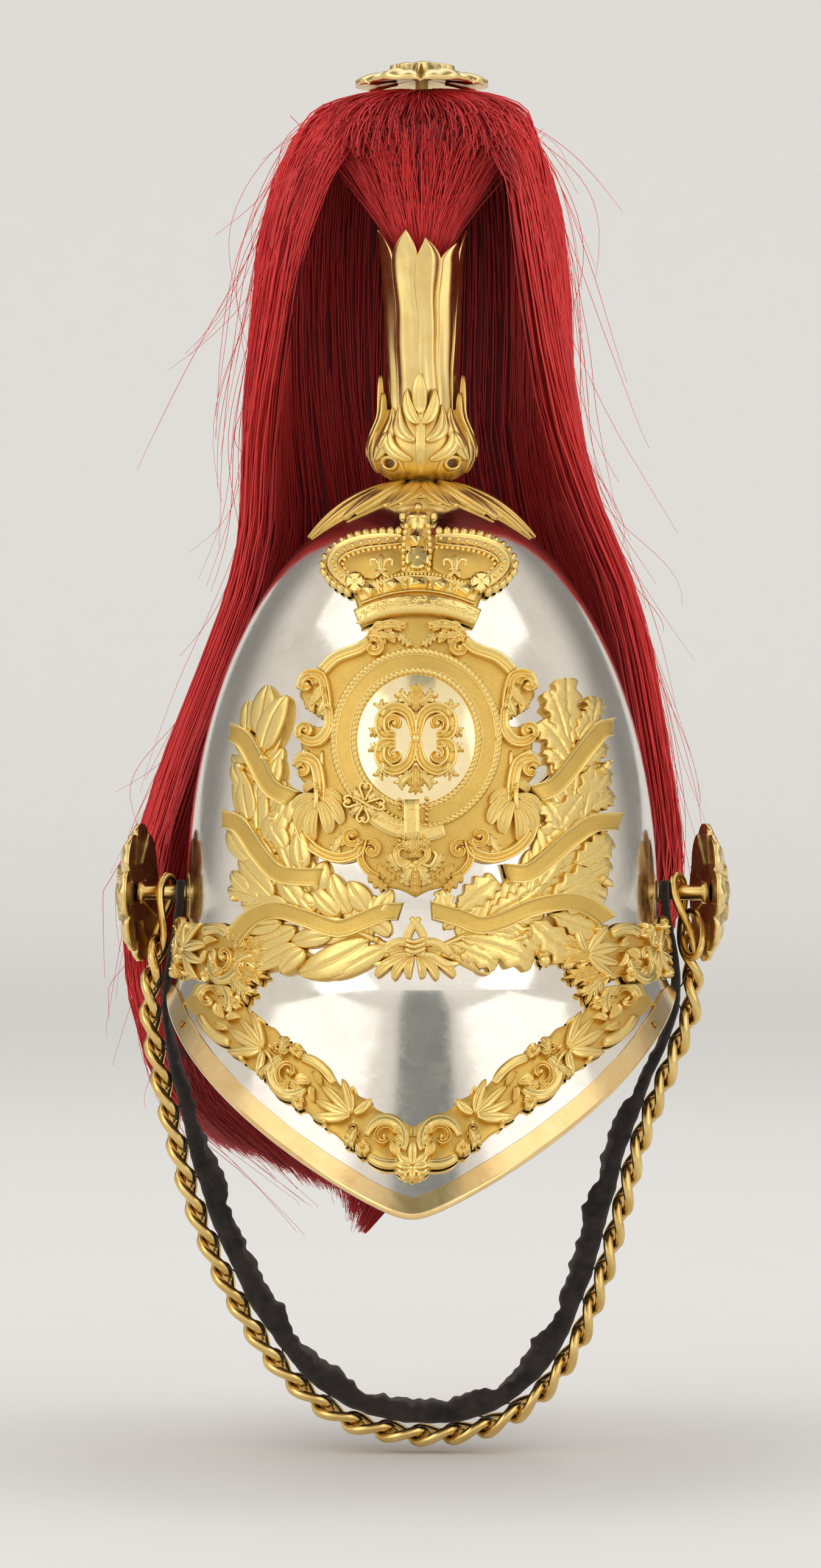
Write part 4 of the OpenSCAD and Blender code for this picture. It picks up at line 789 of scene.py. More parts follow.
def peak_piece(name, node, edge, flare, a0, a1):
    s = Shape()
    a = np.radians(np.linspace(a0, a1, 181))[None, :]
    t = np.linspace(0, 1, 34)[:, None] ** 1.25
    z = np.minimum(edge(a), -0.02) * t
    top = around(a + 0 * t, z, 0, flare)
    under = around(a + 0 * t, z, -METAL_T, flare)
    under[0, :, 2] = 0
    s.grid(top, 0.5)
    s.grid(np.concatenate([top[-1:], under[::-1], top[:1]]), 0.5, outward=False)
    return s.build(name, SILVER, "helmet", [node])


def hem(a, u, v, edge, flare):
    """Point of a peak, u in from its edge at the bearing a and v outward of the sheet's middle."""
    e = around(a, edge(a), 0, flare)
    t = unit(around(a + 0.01, edge(a + 0.01), 0, flare) - around(a - 0.01, edge(a - 0.01), 0, flare))
    n = unit(lifted(e[..., 0], e[..., 1], e[..., 2], 1, flare) - e)
    inn = unit(np.cross(t, n))
    inn = inn * np.sign(inn[..., 2:3])
    p = e + inn * u[..., None]
    return around(np.arctan2(p[..., 0], -p[..., 1] / SKULL_K), p[..., 2], v - METAL_T / 2, flare)


def edging_piece(name, node, edge, flare, a0, a1):
    """Folded edging with a rounded fold, a little uneven along its inner rim."""
    s = Shape()
    a = np.radians(np.linspace(a0, a1, 321))[:, None]
    rim = np.minimum(EDGING_W, -edge(a) - 1.4) + 0.12 * np.sin(37 * a) * np.sin(11 * a)
    out = METAL_T / 2 + 0.3 + EDGING_T
    inn = out - EDGING_T
    fold = np.linspace(-math.pi / 2, math.pi / 2, 9)
    u = [(1, -out), (0.97, -out), (0.5, -out), (0.05, -out)] + [(None, k) for k in fold]
    u += [(0.05, out), (0.5, out), (0.97, out), (1, out), (1, inn), (0, inn), (0, -inn), (1, -inn)]
    us, vs = [], []
    for place, v in u:
        if place is None:
            us.append(0.1 - 1.25 * np.cos(v) + 0 * a)
            vs.append(out * np.sin(v) + 0 * a)
        else:
            us.append(rim * place if place else -0.4 + 0 * a)
            vs.append(v + 0 * a)
    u, v = np.hstack(us), np.hstack(vs)
    s.grid(hem(a + 0 * u, u, v, edge, flare), 0.5, round_v=True, outward=False)
    return s.build(name, EDGING_GILT, "helmet", [node])


skull_piece()
peak_piece("front_peak_polished", "front_peak", front_edge, FRONT_FLARE, -90, 90)
peak_piece("neck_peak_polished", "neck_peak", neck_edge, NECK_FLARE, 90, 270)
edging_piece("front_edging_folded", "front_peak_edging", front_edge, FRONT_FLARE, -86, 86)
edging_piece("neck_edging_folded", "neck_peak_edging", neck_edge, NECK_FLARE, 105, 255)


# Camera, floor and light

CAM_DISTANCE = 2200
CAM_TURN = math.radians(1.3)
CAM_SIDE = -4.4
CAM_HEIGHT = 76
FRAME_H = 610
FLOOR_Z = -186


def studio_camera():
    data = bpy.data.cameras.new("camera")
    data.lens = data.sensor_width * CAM_DISTANCE / FRAME_H
    data.clip_end = 20
    camera = bpy.data.objects.new("camera", data)
    c, s = math.cos(CAM_TURN), math.sin(CAM_TURN)
    at = CAM_SIDE * c + CAM_DISTANCE * s, CAM_SIDE * s - CAM_DISTANCE * c, CAM_HEIGHT
    camera.location = [MM * v for v in at]
    camera.rotation_euler = (math.pi / 2, 0, CAM_TURN)
    bpy.context.scene.collection.objects.link(camera)
    bpy.context.scene.camera = camera


def studio_floor():
    """Pale sheet that runs back and curves up into a narrower backdrop."""
    bend_r, back, floor_wide, wall_wide = 1300, 7000, 60000, 3600
    front, narrows_at, wall_top = -60000, 1800, 2600
    a = np.linspace(0, math.pi / 2, 33)
    y = np.concatenate([[front, 0, narrows_at], back + bend_r * np.sin(a), [back + bend_r]])
    z = np.concatenate([[0, 0, 0], bend_r * (1 - np.cos(a)), [wall_top]])
    wide = np.interp(y, [narrows_at, back + bend_r], [floor_wide, wall_wide])
    s = Shape()
    s.grid(np.stack([np.array([-1, 1])[:, None] * wide, 0 * wide + y + np.zeros((2, 1)),
                     z + FLOOR_Z + np.zeros((2, 1))], -1), outward=False)
    sheet = s.build("studio_floor", FLOOR, None)


def soft_box(name, at, size, power, target=(0, 0, 0.09)):
    data = bpy.data.lights.new(name, "AREA")
    data.shape = "RECTANGLE"
    data.size, data.size_y = size
    data.energy = power
    lamp = bpy.data.objects.new(name, data)
    lamp.location = at
    lamp.rotation_euler = (Vector(target) - Vector(at)).to_track_quat("-Z", "Y").to_euler()
    bpy.context.scene.collection.objects.link(lamp)


def studio_world(bright, side, dim, gap):
    """Bright room in front and above, dimmer walls behind, and a dark gap between the overhead screens."""
    world = bpy.data.worlds.new("studio")
    world.use_nodes = True
    tree = world.node_tree
    add = tree.nodes.new

    def ramp(source, *stops):
        node = add("ShaderNodeValToRGB")
        node.color_ramp.interpolation = "EASE"
        ends = node.color_ramp.elements
        between = [ends.new(0.5) for _ in stops[2:]]
        for element, (place, value) in zip([ends[0]] + between + [ends[-1]], stops):
            element.position = place
            element.color = (*value, 1) if hasattr(value, "__len__") else (value, value, value, 1)
        tree.links.new(source, node.inputs["Fac"])
        return node.outputs["Color"]

    def shifted(source, scale, offset):
        node = add("ShaderNodeMath")
        node.operation = "MULTIPLY_ADD"
        node.inputs[1].default_value, node.inputs[2].default_value = scale, offset
        tree.links.new(source, node.inputs[0])
        return node.outputs[0]

    def both(a, b, blend):
        node = add("ShaderNodeMix")
        node.data_type, node.blend_type = "RGBA", blend
        node.inputs[0].default_value = 1
        tree.links.new(a, node.inputs[6])
        tree.links.new(b, node.inputs[7])
        return node.outputs[2]

    parts = add("ShaderNodeSeparateXYZ")
    tree.links.new(add("ShaderNodeTexCoord").outputs["Generated"], parts.inputs[0])
    x, y, z = parts.outputs
    walls = ramp(shifted(y, 0.5, 0.5), (0.05, bright), (0.40, side), (0.70, side), (0.88, dim))
    strip = ramp(shifted(x, 0.5, 0.5), (0.43, 0.0), (0.455, 1.0), (0.58, 1.0), (0.605, 0.0))
    high = ramp(z, (0.70, 0.0), (0.80, 1.0))
    dark = both(strip, high, "MULTIPLY")
    inverse = add("ShaderNodeInvert")
    tree.links.new(dark, inverse.inputs["Color"])
    level = ramp(inverse.outputs[0], (0.0, gap), (1.0, (1, 1, 1)))
    background = tree.nodes["Background"]
    tree.links.new(both(walls, level, "MULTIPLY"), background.inputs["Color"])
    background.inputs["Strength"].default_value = 1.0
    bpy.context.scene.world = world


bpy.context.scene.view_settings.view_transform = "Standard"
FLOOR = stage_material("studio_paper", (0.95, 0.95, 0.95))
studio_camera()
studio_floor()
studio_world(bright=(0.97, 0.945, 0.90), side=(0.73, 0.70, 0.65), dim=(0.27, 0.265, 0.25),
             gap=(0.34, 0.37, 0.38))
soft_box("key_left", (-1.7, -1.7, 1.2), (1.4, 1.8), 7.5)
soft_box("fill_right", (1.9, -1.5, 0.9), (1.2, 1.8), 5)
soft_box("over_left", (-0.85, -0.2, 1.7), (1.1, 1.2), 2.4)
soft_box("over_right", (0.95, -0.2, 1.7), (1.1, 1.2), 2.4)
soft_box("back_top", (0, 1.9, 2.2), (2.2, 1.2), 9)


# Scroll and leaf pattern of the two bands

FOOT = 0.3


def blossom(s, place, x, z, r, height, foot, turn=0.3):
    """Small flower of four broad petals."""
    for k in range(4):
        a = turn + TAU * k / 4
        tip = (x + r * math.cos(a), z + r * math.sin(a))
        leaf(s, place, (x + 0.1 * r * math.cos(a), z + 0.1 * r * math.sin(a)), tip, 1.15 * r, height, foot,
             "petal", rows=7)
    bead(s, place, x, z, r * 0.28, height * 1.2, foot)


def shell(s, place, x, z, r, a0, a1, w, tall, foot):
    """Reeded C-scroll round a small volute with leaf ends."""
    turn = 1 if a1 > a0 else -1
    ridge(s, place, spiral((x, z), r, r * 0.96, a0, a1, 26), w, tall, foot, "reeded", (0.5, 0.75), steps=1)
    ridge(s, place, spiral((x + 0.08 * r, z), r * 0.60, r * 0.13, a1 - 60 * turn, a1 - 400 * turn, 24),
          w * 0.40, tall * 1.1, foot, "moulding", (0.9, 0.5), steps=1)
    bead(s, place, x + 0.08 * r, z, r * 0.15, tall * 1.3, foot)
    for lift, far, wide, bend in ((0, 0.55, 0.55, 0.2), (35, 0.42, 0.42, 0.15), (75, 0.40, 0.40, 0.1)):
        a = math.radians(a1 - (20 + lift) * turn)
        b = math.radians(a1 + (18 - lift) * turn)
        root = (x + 0.55 * r * math.cos(a), z + 0.55 * r * math.sin(a))
        leaf(s, place, root, (x + (1 + 0.2 * far) * r * math.cos(b), z + (1 + 0.2 * far) * r * math.sin(b)),
             wide * r, tall * 1.1, foot, "spear", bend * turn, rows=9)


def fan_spray(s, place, x, z, k, flip, tall, foot):
    """Five pointed leaves with berries between them."""
    for tx, tz, wide, bend in ((-2.7, 8.6, 3.3, 0.06), (11.0, 8.6, 3.7, 0.05), (12.4, -8.6, 3.6, -0.05),
                               (14.6, -3.4, 3.4, -0.03), (15.8, 2.0, 3.9, 0.03)):
        leaf(s, place, (x + 0.06 * k * tx, z + 0.06 * k * flip * tz), (x + k * tx, z + k * flip * tz),
             k * wide, tall, foot, "laurel", bend * flip, rows=12)
    for bx, bz, r in ((4.6, 7.4, 1.05), (-2.2, -2.4, 1.0), (6.8, -7.8, 1.0)):
        bead(s, place, x + k * bx, z + k * flip * bz, k * r, tall * 1.5, foot)


def scroll_unit(s, place, x, k, flip, whole=True):
    """One repeat of the pattern, 40 k long: leaves, a shell, a blossom and a small leafy scroll."""
    f, tall = FOOT + 0.9, 2.5 * k
    at = lambda u, v: (x + k * u, k * flip * v)
    fan_spray(s, place, *at(0, 0.4), k, flip, tall, f)
    shell(s, place, *at(27, -1.2), 7.3 * k, 25 * flip, -175 * flip, 4.2 * k, tall, f)
    path = lambda *points: [at(*p) for p in points]
    ridge(s, place, path((12.5, 6.0), (17, 7.4), (22.5, 7.6), (27.4, 6.0)), 3.7 * k, tall * 0.9, f,
          "reeded", (0.5, 0.8))
    blossom(s, place, *at(19.0, -7.0), 2.7 * k, tall, f, 0.6)
    leaf(s, place, at(15.6, 2.6), at(21.6, 4.2), 2.6 * k, tall, f, "spear", 0.1 * flip, rows=9)
    leaf(s, place, at(17.6, 0.4), at(14.2, -3.8), 2.4 * k, tall, f, "spear", 0.1 * flip, rows=9)
    if not whole:
        return
    blossom(s, place, *at(30.0, 6.6), 2.6 * k, tall * 1.1, f)
    leaf(s, place, at(33.2, 1.6), at(37.6, 7.8), 4.4 * k, tall * 1.1, f, "acanthus", 0.1 * flip)
    leaf(s, place, at(33.4, -2.0), at(37.4, -8.2), 4.2 * k, tall * 1.1, f, "acanthus", -0.1 * flip)
    volute(s, place, at(35.4, 2.6), 2.2 * k, 200 * flip, -160 * flip, 1.1 * k, tall * 1.2, f)
    ridge(s, place, path((31.5, -4.6), (35.5, -1.4), (39.5, -0.2)), 1.9 * k, tall, f, "round", (0.5, 0.7))


def band_ground(s, place, x0, x1, k, n):
    """Stippled strip with a wavy outline, under the pattern."""
    x = np.linspace(x0, x1, n)[:, None]
    v = np.array([-1, -1, -0.96, -0.6, -0.2, 0.2, 0.6, 0.96, 1, 1])
    edge = k * (7.7 + 0.5 * np.sin(TAU * (x - x0) / (20 * k))
                + 0.3 * np.sin(TAU * (x - x0) / (7.3 * k) + 1))
    h = np.where(np.abs(v) < 0.97, FOOT + 0.9, FOOT + 0.5) + 0 * x
    h[:, [0, -1]] = FOOT + SINK
    s.grid(place(x + 0 * v, edge * v, h), 0.08)


def base_band():
    s = Shape()
    start = math.radians(40)
    length = (TAU - 2 * start) * RIM_A
    k, repeats = 1.22, 9
    step = length / repeats
    place = lambda x, z, h: on_band(x + start * RIM_A, 11.9 + z, h)
    band_ground(s, place, 0, length, k, 400)
    for i in range(repeats):
        fit = lambda x, z, h, i=i: place(x * step / (40 * k) + i * step + 1.5, z, h)
        scroll_unit(s, fit, 0, k, 1 - 2 * (i % 2))
    for side in (-1, 1):
        for x, z, tx, tz in ((68, 13, 50, 11.5), (69, 9, 54, 3.6), (66, 16, 52, 18), (70, 6, 60, 0.6),
                             (67, 3, 61, -3.4)):
            leaf(s, on, (side * x, z), (side * tx, tz), 7.2, 2.4, 1.4, "acanthus", 0.08 * side, sink=FOOT)
    s.build("base_band_scrolls", GILT, "helmet", ["base_band"])


PEAK_PATH = [[0, -57], [9, -53.2], [27, -42.6], [47, -28.2], [67, -14.5], [84, -2]]


def path_place(path, side):
    """Place function of a strip that follows a flat path, x along it and z across."""
    run = resampled(smooth(path, 8), 200)
    far = runs(run)
    slope = unit(np.gradient(run, axis=0))

    def place(x, z, h):
        x, z = np.broadcast_arrays(np.asarray(x, float), np.asarray(z, float))
        get = lambda v: np.interp(x, far, v)
        px = np.maximum(get(run[:, 0]) - get(slope[:, 1]) * z, 0.15)
        pz = get(run[:, 1]) + get(slope[:, 0]) * z
        return on(side * px, np.minimum(pz, -0.8), h)
    return place, far[-1]


def peak_band(side, name, node):
    s = Shape()
    place, length = path_place(PEAK_PATH, side)
    band_ground(s, place, 0.4, length + 2, 1.0, 150)
    f, tall = FOOT + 0.9, 2.5
    shell(s, place, 10.2, -0.6, 7.0, -20, 188, 3.8, tall, f)
    blossom(s, place, 15.8, -7.2, 2.7, tall * 1.1, f)
    leaf(s, place, (20.5, -2.6), (19.8, -9.4), 4.4, tall * 1.1, f, "acanthus", 0.1)
    volute(s, place, (21.6, -4.0), 2.2, 200, -160, 1.1, tall * 1.2, f)
    ridge(s, place, [(3, -6.2), (8, -8.4), (13, -8.6)], 2.8, tall * 0.9, f, "reeded", (0.7, 0.6))
    scroll_unit(s, place, 24.5, 1.0, 1)
    scroll_unit(s, place, 64.5, 1.0, -1, whole=False)
    s.build(name, GILT, "helmet", [node])


def palmette():
    """Small spray of leaves where the two halves of the peak's band meet."""
    s = Shape()
    f = FOOT
    outline = smooth([(0, -52), (4, -53), (6.2, -56.5), (6.8, -60), (6.2, -63.4), (3.2, -66), (0, -67)], 5)
    outline = np.vstack([outline, flipped(outline[-2:0:-1], -1)])
    plate(s, on, outline, (0, -59.5), f, 1.3, rings=6)
    for side in (-1, 1):
        leaf(s, on, (side * 0.5, -62.4), (side * 5.8, -57.4), 3.1, 1.9, f + 0.9, "laurel", -0.08 * side)
        leaf(s, on, (side * 0.5, -63.0), (side * 6.6, -61.4), 2.6, 1.8, f + 0.9, "laurel", -0.06 * side)
        ridge(s, on, [(side * 0.6, -64.2), (side * 3.4, -64.8), (side * 5.6, -63.8)], 1.7, 1.7, f + 0.8,
              "round", (0.8, 0.5))
        bead(s, on, side * 2.4, -65.6, 0.9, 1.5, f + 0.8)
    leaf(s, on, (0, -62.6), (0, -53.6), 3.4, 2.2, f + 1.0, "laurel")
    ridge(s, on, [(-1.8, -63.6), (1.8, -63.6)], 1.7, 2.3, f + 0.9, steps=2)
    leaf(s, on, (0, -63.6), (0, -67.2), 2.6, 1.8, f + 0.9, "laurel")
    s.build("peak_palmette_leaves", GILT, "helmet", ["peak_palmette"])


# Crown badge

def gem(s, x, z, rx, rz, foot, turn=0.0, height=1.3, corners=4):
    """Cut stone in its setting."""
    a = turn + TAU * (np.arange(corners) + 0.5) / corners
    k = 1 / math.cos(math.pi / corners)
    ring = np.stack([x + rx * k * np.cos(a), z + rz * k * np.sin(a)], 1)
    ring = np.repeat(ring, 2, axis=0) + 0.12 * np.array([[-1, 1], [1, -1]] * corners)
    plate(s, on, ring, (x, z), foot, height, rings=3, burnish=0.95)


def cross(s, x, z, size, foot, height=1.4):
    """Cross with arms that widen outward."""
    arm = [(0.10, 0.10), (0.44, 0.30), (0.50, 0.0), (0.44, -0.30)]
    out = []
    for k in range(4):
        c, d = math.cos(k * math.pi / 2), math.sin(k * math.pi / 2)
        out += [(x + size * (u * c - v * d), z + size * (u * d + v * c)) for u, v in arm[::-1]]
    plate(s, on, out, (x, z), foot, height, rings=5, burnish=0.9)
    bead(s, on, x, z, size * 0.13, height + 0.6, foot)


def lily(s, x, z, size, foot):
    leaf(s, on, (x, z - size * 0.35), (x, z + size * 0.6), size * 0.36, 1.9, foot, "laurel")
    for side in (-1, 1):
        ridge(s, on, [(x + side * size * 0.06, z - size * 0.3), (x + side * size * 0.2, z + size * 0.2),
                      (x + side * size * 0.45, z + size * 0.22), (x + side * size * 0.46, z - size * 0.02)],
              size * 0.17, 1.7, foot, "round", (0.7, 0.5))
        leaf(s, on, (x, z - size * 0.25), (x + side * size * 0.3, z - size * 0.55), size * 0.2, 1.5, foot,
             "laurel")
    ridge(s, on, [(x - size * 0.25, z - size * 0.2), (x + size * 0.25, z - size * 0.2)], size * 0.14, 2.1,
          foot, steps=2)


def pearls(s, path, r, spacing, foot, height=None):
    run = smooth(path, 6)
    for x, z in resampled(run, max(2, round(length_of(run) / spacing) + 1)):
        bead(s, on, x, z, r, height or r * 1.15, foot)


def crown_side(s, side):
    """Cushion, arch, pearls, lily, cross and rim stones on one side of the crown."""
    q = lambda points: flipped(points, side)
    cushion = smooth([(5, 156), (14, 152), (24, 153.5), (28.5, 157.5), (24.5, 162), (16, 164), (7, 165),
                      (5, 160), (5, 156)], 4)[:-1]
    plate(s, on, q(cushion), (side * 15, 158.5), 1.1, 0.7, rings=10, dome=1.5, burnish=0.06)
    arch = [(24.4, 149.6), (29.4, 154), (31.4, 158.2), (28.6, 162.6), (21.2, 165.6), (12, 166.6), (6, 167)]
    ridge(s, on, q(arch), 5.4, 1.9, 1.3, "strip", (1.2, 0.6), steps=5)
    pearls(s, q([(25.8, 147.4), (31, 150.6), (35.2, 155.6), (34.4, 161), (30.4, 165.6), (23.4, 169.2),
                 (15, 170.2), (7.4, 170.4)]), 1.55, 3.0, 1.3, 2.2)
    pearls(s, q([(22.6, 152.2), (26.4, 155.4), (27.8, 158.4), (25.4, 161), (19.4, 162.8), (12, 163.6),
                 (6.6, 163.8)]),
           0.8, 1.9, 1.6, 1.5)
    pearls(s, q([(25.6, 150.6), (30.2, 155.4), (30.6, 159.6), (26, 163.6), (17, 166), (8, 166.8)]), 0.75,
           3.2, 3.0, 0.9)
    lily(s, side * 13.2, 156.4, 8.4, 2.2)
    cross(s, side * 22.4, 150.0, 7.2, 2.6)
    for k, (x, z) in enumerate([(4.4, 149.8), (8.6, 149.2), (13.2, 148.4), (17.4, 147.2)]):
        if k % 2:
            gem(s, side * x, z, 1.9, 1.5, 2.6, math.pi / 4)
        else:
            for d in (-1.0, 1.0):
                bead(s, on, side * x, z + d, 0.85, 1.5, 2.4)
    pearls(s, [(-0.6 + side * 4.4, 154.6), (-0.6 + side * 4.7, 163), (-0.6 + side * 4.0, 171.4)], 1.05,
           2.25, 2.4, 1.9)
    bead(s, on, side * 5.7 - 0.4, 176.6, 1.5, 2.2, 1.2)


def ermine(s):
    """Fur roll at the crown's foot, made of many small tufts."""
    ridge(s, on, [(-22, 137.3), (-11.5, 141), (0, 142.3), (11.5, 141), (22, 137.3)], 7.4, 3.0, 1.2, "round",
          (0.86, 0.86), steps=8)
    rng = np.random.default_rng(5)
    for _ in range(150):
        u, v = rng.uniform(-1, 1, 2)
        x, z = 21 * u, 142.3 - 4.9 * u * u + 2.7 * v
        bead(s, on, x, z, 0.5, 0.55, 1.2 + 3.0 * math.sqrt(1 - 0.8 * v * v) * (1 - 0.14 * u * u), 1.9,
             -0.45 * u + rng.uniform(-0.5, 0.5), burnish=0.8)


def crown_badge():
    s = Shape()
    half = smooth([(21, 137), (22.6, 143), (24.5, 148), (29, 151), (33.2, 155.4), (32.6, 160),
                   (28.4, 165.4), (21, 168.4), (12, 167.6), (6, 169), (0, 172)], 5)
    low = smooth([(0, 139.4), (11, 138.4), (21, 134.4)], 5)
    outline = np.vstack([low, half, flipped(half[-2::-1], -1), flipped(low[:0:-1], -1)])
    plate(s, on, outline, (0, 154), 0.3, 1.1, rings=16, burnish=0.05)
    for side in (-1, 1):
        crown_side(s, side)
    ermine(s)
    ridge(s, on, [(-21.5, 145.0), (-11, 148.6), (0, 150), (11, 148.6), (21.5, 145.0)], 6.2, 1.4, 1.3,
          "strip", (0.95, 0.95), steps=8)
    gem(s, 0, 150, 3.1, 1.5, 2.6)
    pearls(s, [(-21, 148.4), (-11, 152.3), (0, 153.6), (11, 152.3), (21, 148.4)], 0.62, 1.35, 2.0, 1.0)
    ridge(s, on, [(-0.6, 154), (-0.6, 163), (-0.6, 172)], 8.2, 1.6, 1.4, "strip", (1, 0.9), steps=6)
    cross(s, -0.2, 158.6, 8.6, 3.0)
    gem(s, -0.6, 166.6, 1.8, 2.4, 2.9, math.pi / 4)
    bead(s, on, -0.5, 174.6, 4.3, 4.2, 1.0, burnish=0.8)
    ridge(s, on, [(-4.6, 174.4), (-2.4, 173.6), (1.4, 173.6), (3.6, 174.4)], 1.2, 4.6, 1.0, steps=3)
    bead(s, on, -0.6, 180.2, 1.9, 2.6, 1.0)
    s.build("crown_badge_jewelled", GILT, "helmet", ["crown_badge"])


# Cartouche

BELT_RX, BELT_RZ = GARTER_RX + 0.8, GARTER_RZ + 0.9
BELT_W = GARTER_W + 1.5
CARTOUCHE_HALF = [
    (0, 138.6), (8, 138.0), (15, 134.6), (22, 127.2), (30, 123.4), (35.4, 117.6), (41, 114), (43, 108),
    (37, 103), (33.5, 97.5), (41, 96), (42.4, 90), (41, 84.6), (43.8, 80), (40, 75), (37, 69.6),
    (41.8, 63), (38, 55.6), (31.6, 49.2), (25, 47.2), (19, 46.4), (12, 38.6), (5, 36.6), (0, 34),
]


class Half:
    """One side of a mirrored design on the helmet, drawn with the points of the side 1."""

    def __init__(self, shape, side, foot):
        self.shape, self.side, self.foot = shape, side, foot

    def ridge(self, path, width, height, ends, kind="moulding"):
        ridge(self.shape, on, flipped(path, self.side), width, height, self.foot, kind, ends)

    def curl(self, centre, r, a0, a1, width=2.5, height=2.7):
        turn = (a0, a1) if self.side > 0 else (180 - a0, 180 - a1)
        volute(self.shape, on, (self.side * centre[0], centre[1]), r, *turn, width, height, self.foot)

    def leaf(self, root, tip, wide, tall, kind, bend, lift=0.0, rows=0):
        root, tip = flipped([root, tip], self.side)
        leaf(self.shape, on, root, tip, wide, tall, self.foot + lift, kind, bend * self.side, rows)

    def leaves(self, table, tall, kind, lift=0.0, rows=0):
        for root, tip, wide, bend in table:
            self.leaf(root, tip, wide, tall, kind, bend, lift, rows)


def scroll_top(half):
    """Scrolls and leaves of the rim, from the crown down to the middle."""
    half.ridge([(34.6, 117.0), (29.2, 122.2), (20.8, 125.4), (17, 128.6)], 4.4, 2.4, (0.9, 0.7))
    half.curl((15.4, 125.6), 3.6, 60, 430)
    half.ridge([(17.4, 129.0), (14.5, 132.8), (9, 134.4), (4, 133.4)], 3.0, 2.5, (0.8, 0.5))
    half.leaves([((17.8, 131.6), (4.6, 130.6), 4.6, 0.12), ((16, 134), (3.0, 135.6), 4.2, 0.12),
                 ((6.5, 131), (1.2, 126.4), 3.2, 0.1)], 2.6, "acanthus")
    half.curl((39.6, 112.2), 3.3, 175, -170, 2.6, 2.8)
    half.ridge([(43, 110.6), (40.2, 115.8), (34.6, 115.4), (32.6, 109), (31.8, 103)], 3.6, 2.6, (0.6, 0.8))
    half.leaf((33.4, 111.8), (40.8, 103.4), 6.2, 2.8, "acanthus", -0.12)
    half.leaf((33.0, 107), (36.2, 100.4), 4.2, 2.4, "frond", -0.1)
    half.ridge([(31.6, 104), (31.4, 96.4), (34.6, 91.6), (39, 91.2), (42.6, 93.6)], 4.0, 2.6, (0.7, 0.6))
    half.curl((39.9, 95.0), 2.9, -40, 320)
    bead(half.shape, on, half.side * 40.4, 87, 1.8, 2.9, half.foot - 0.4)


def scroll_foot(half):
    """Scrolls and fans of leaves of the rim, from the middle down to the foot."""
    half.curl((40.9, 80.6), 2.9, 20, 380)
    half.ridge([(43.6, 82), (41.2, 85.2), (36.4, 83.4), (34.6, 76), (34.3, 67.6)], 4.6, 2.6, (0.6, 0.9))
    half.ridge([(35.6, 74), (35.4, 69.5), (36.2, 66)], 2.2, 3.3, (0.7, 0.7), "round")
    half.leaves([((35.0, 71.4), (44.4, 64.4), 4.6, 0.16), ((35.2, 69.6), (42.6, 58.0), 5.0, 0.14),
                 ((35.0, 68.2), (37.4, 54.8), 5.2, 0.08), ((34.6, 69.2), (31.0, 57.4), 5.2, -0.10),
                 ((34.2, 71.0), (26.4, 61.0), 5.0, -0.14), ((34.0, 73.2), (26.6, 67.8), 4.0, -0.14),
                 ((35.0, 75.4), (40.6, 72.6), 3.4, 0.12)], 2.9, "petal", 0.2, 18)
    half.ridge([(42.6, 61.4), (40, 55.6), (34.6, 50.8), (27.4, 48.4), (20.8, 50.4), (18.8, 55)], 4.2, 2.7,
               (0.7, 0.8))
    half.curl((22.6, 56.4), 3.4, 200, 560, 2.6, 2.9)
    half.leaf((30.4, 49.8), (26.6, 57.8), 4.0, 2.4, "frond", 0.1)
    half.curl((15.6, 51.6), 3.1, 60, 420)
    half.ridge([(18.6, 53), (19.6, 48.2), (16.6, 43.4), (12.6, 41.4)], 2.9, 2.6, (0.6, 0.7))
    half.leaves([((13.6, 46.6), (6.8, 40.4), 4.6, 0.1), ((16.4, 43.6), (9.4, 36.8), 4.4, 0.1),
                 ((9.4, 50.4), (4.6, 43.6), 4.0, 0.08)], 2.4, "acanthus")
    half.ridge([(34.2, 88), (34.2, 80)], 1.6, 1.5, (0.6, 0.6), "round")


def cartouche():
    s = Shape()
    right = smooth(CARTOUCHE_HALF, 4)
    outline = np.vstack([right, flipped(right[-2:0:-1], -1)])
    plate(s, on, outline, (0, 86), 0.3, 1.15, rings=26, burnish=0.0)
    for side in (-1, 1):
        half = Half(s, side, 1.3)
        scroll_top(half)
        scroll_foot(half)
    for x, z, root in ((0, 34.6, 45), (-4.2, 38.2, 46), (4.2, 38.2, 46)):
        leaf(s, on, (0.2 * x, root), (x, z), 5.2, 2.7, 1.6, "acanthus", 0.04 * x / 4)
    leaf(s, on, (0, 58.4), (0, 47.6), 6.6, 2.9, 1.8, "acanthus")
    for side in (-1, 1):
        leaf(s, on, (0, 54), (side * 6.2, 52.4), 3.8, 2.5, 1.7, "frond", 0.1 * side)
        ridge(s, on, [(side * 1.2, 47), (side * 5.2, 45.6), (side * 7.4, 49.4), (side * 5.4, 51.6)], 1.9,
              2.3, 1.6, "round", (0.7, 0.5))
    for k in range(4):
        bead(s, on, 0, 46.6 - 2.5 * k, 1.25 - 0.12 * k, 2.4, 2.4)
    s.build("cartouche_scrolled", FROSTED, "helmet", ["cartouche_plate"])


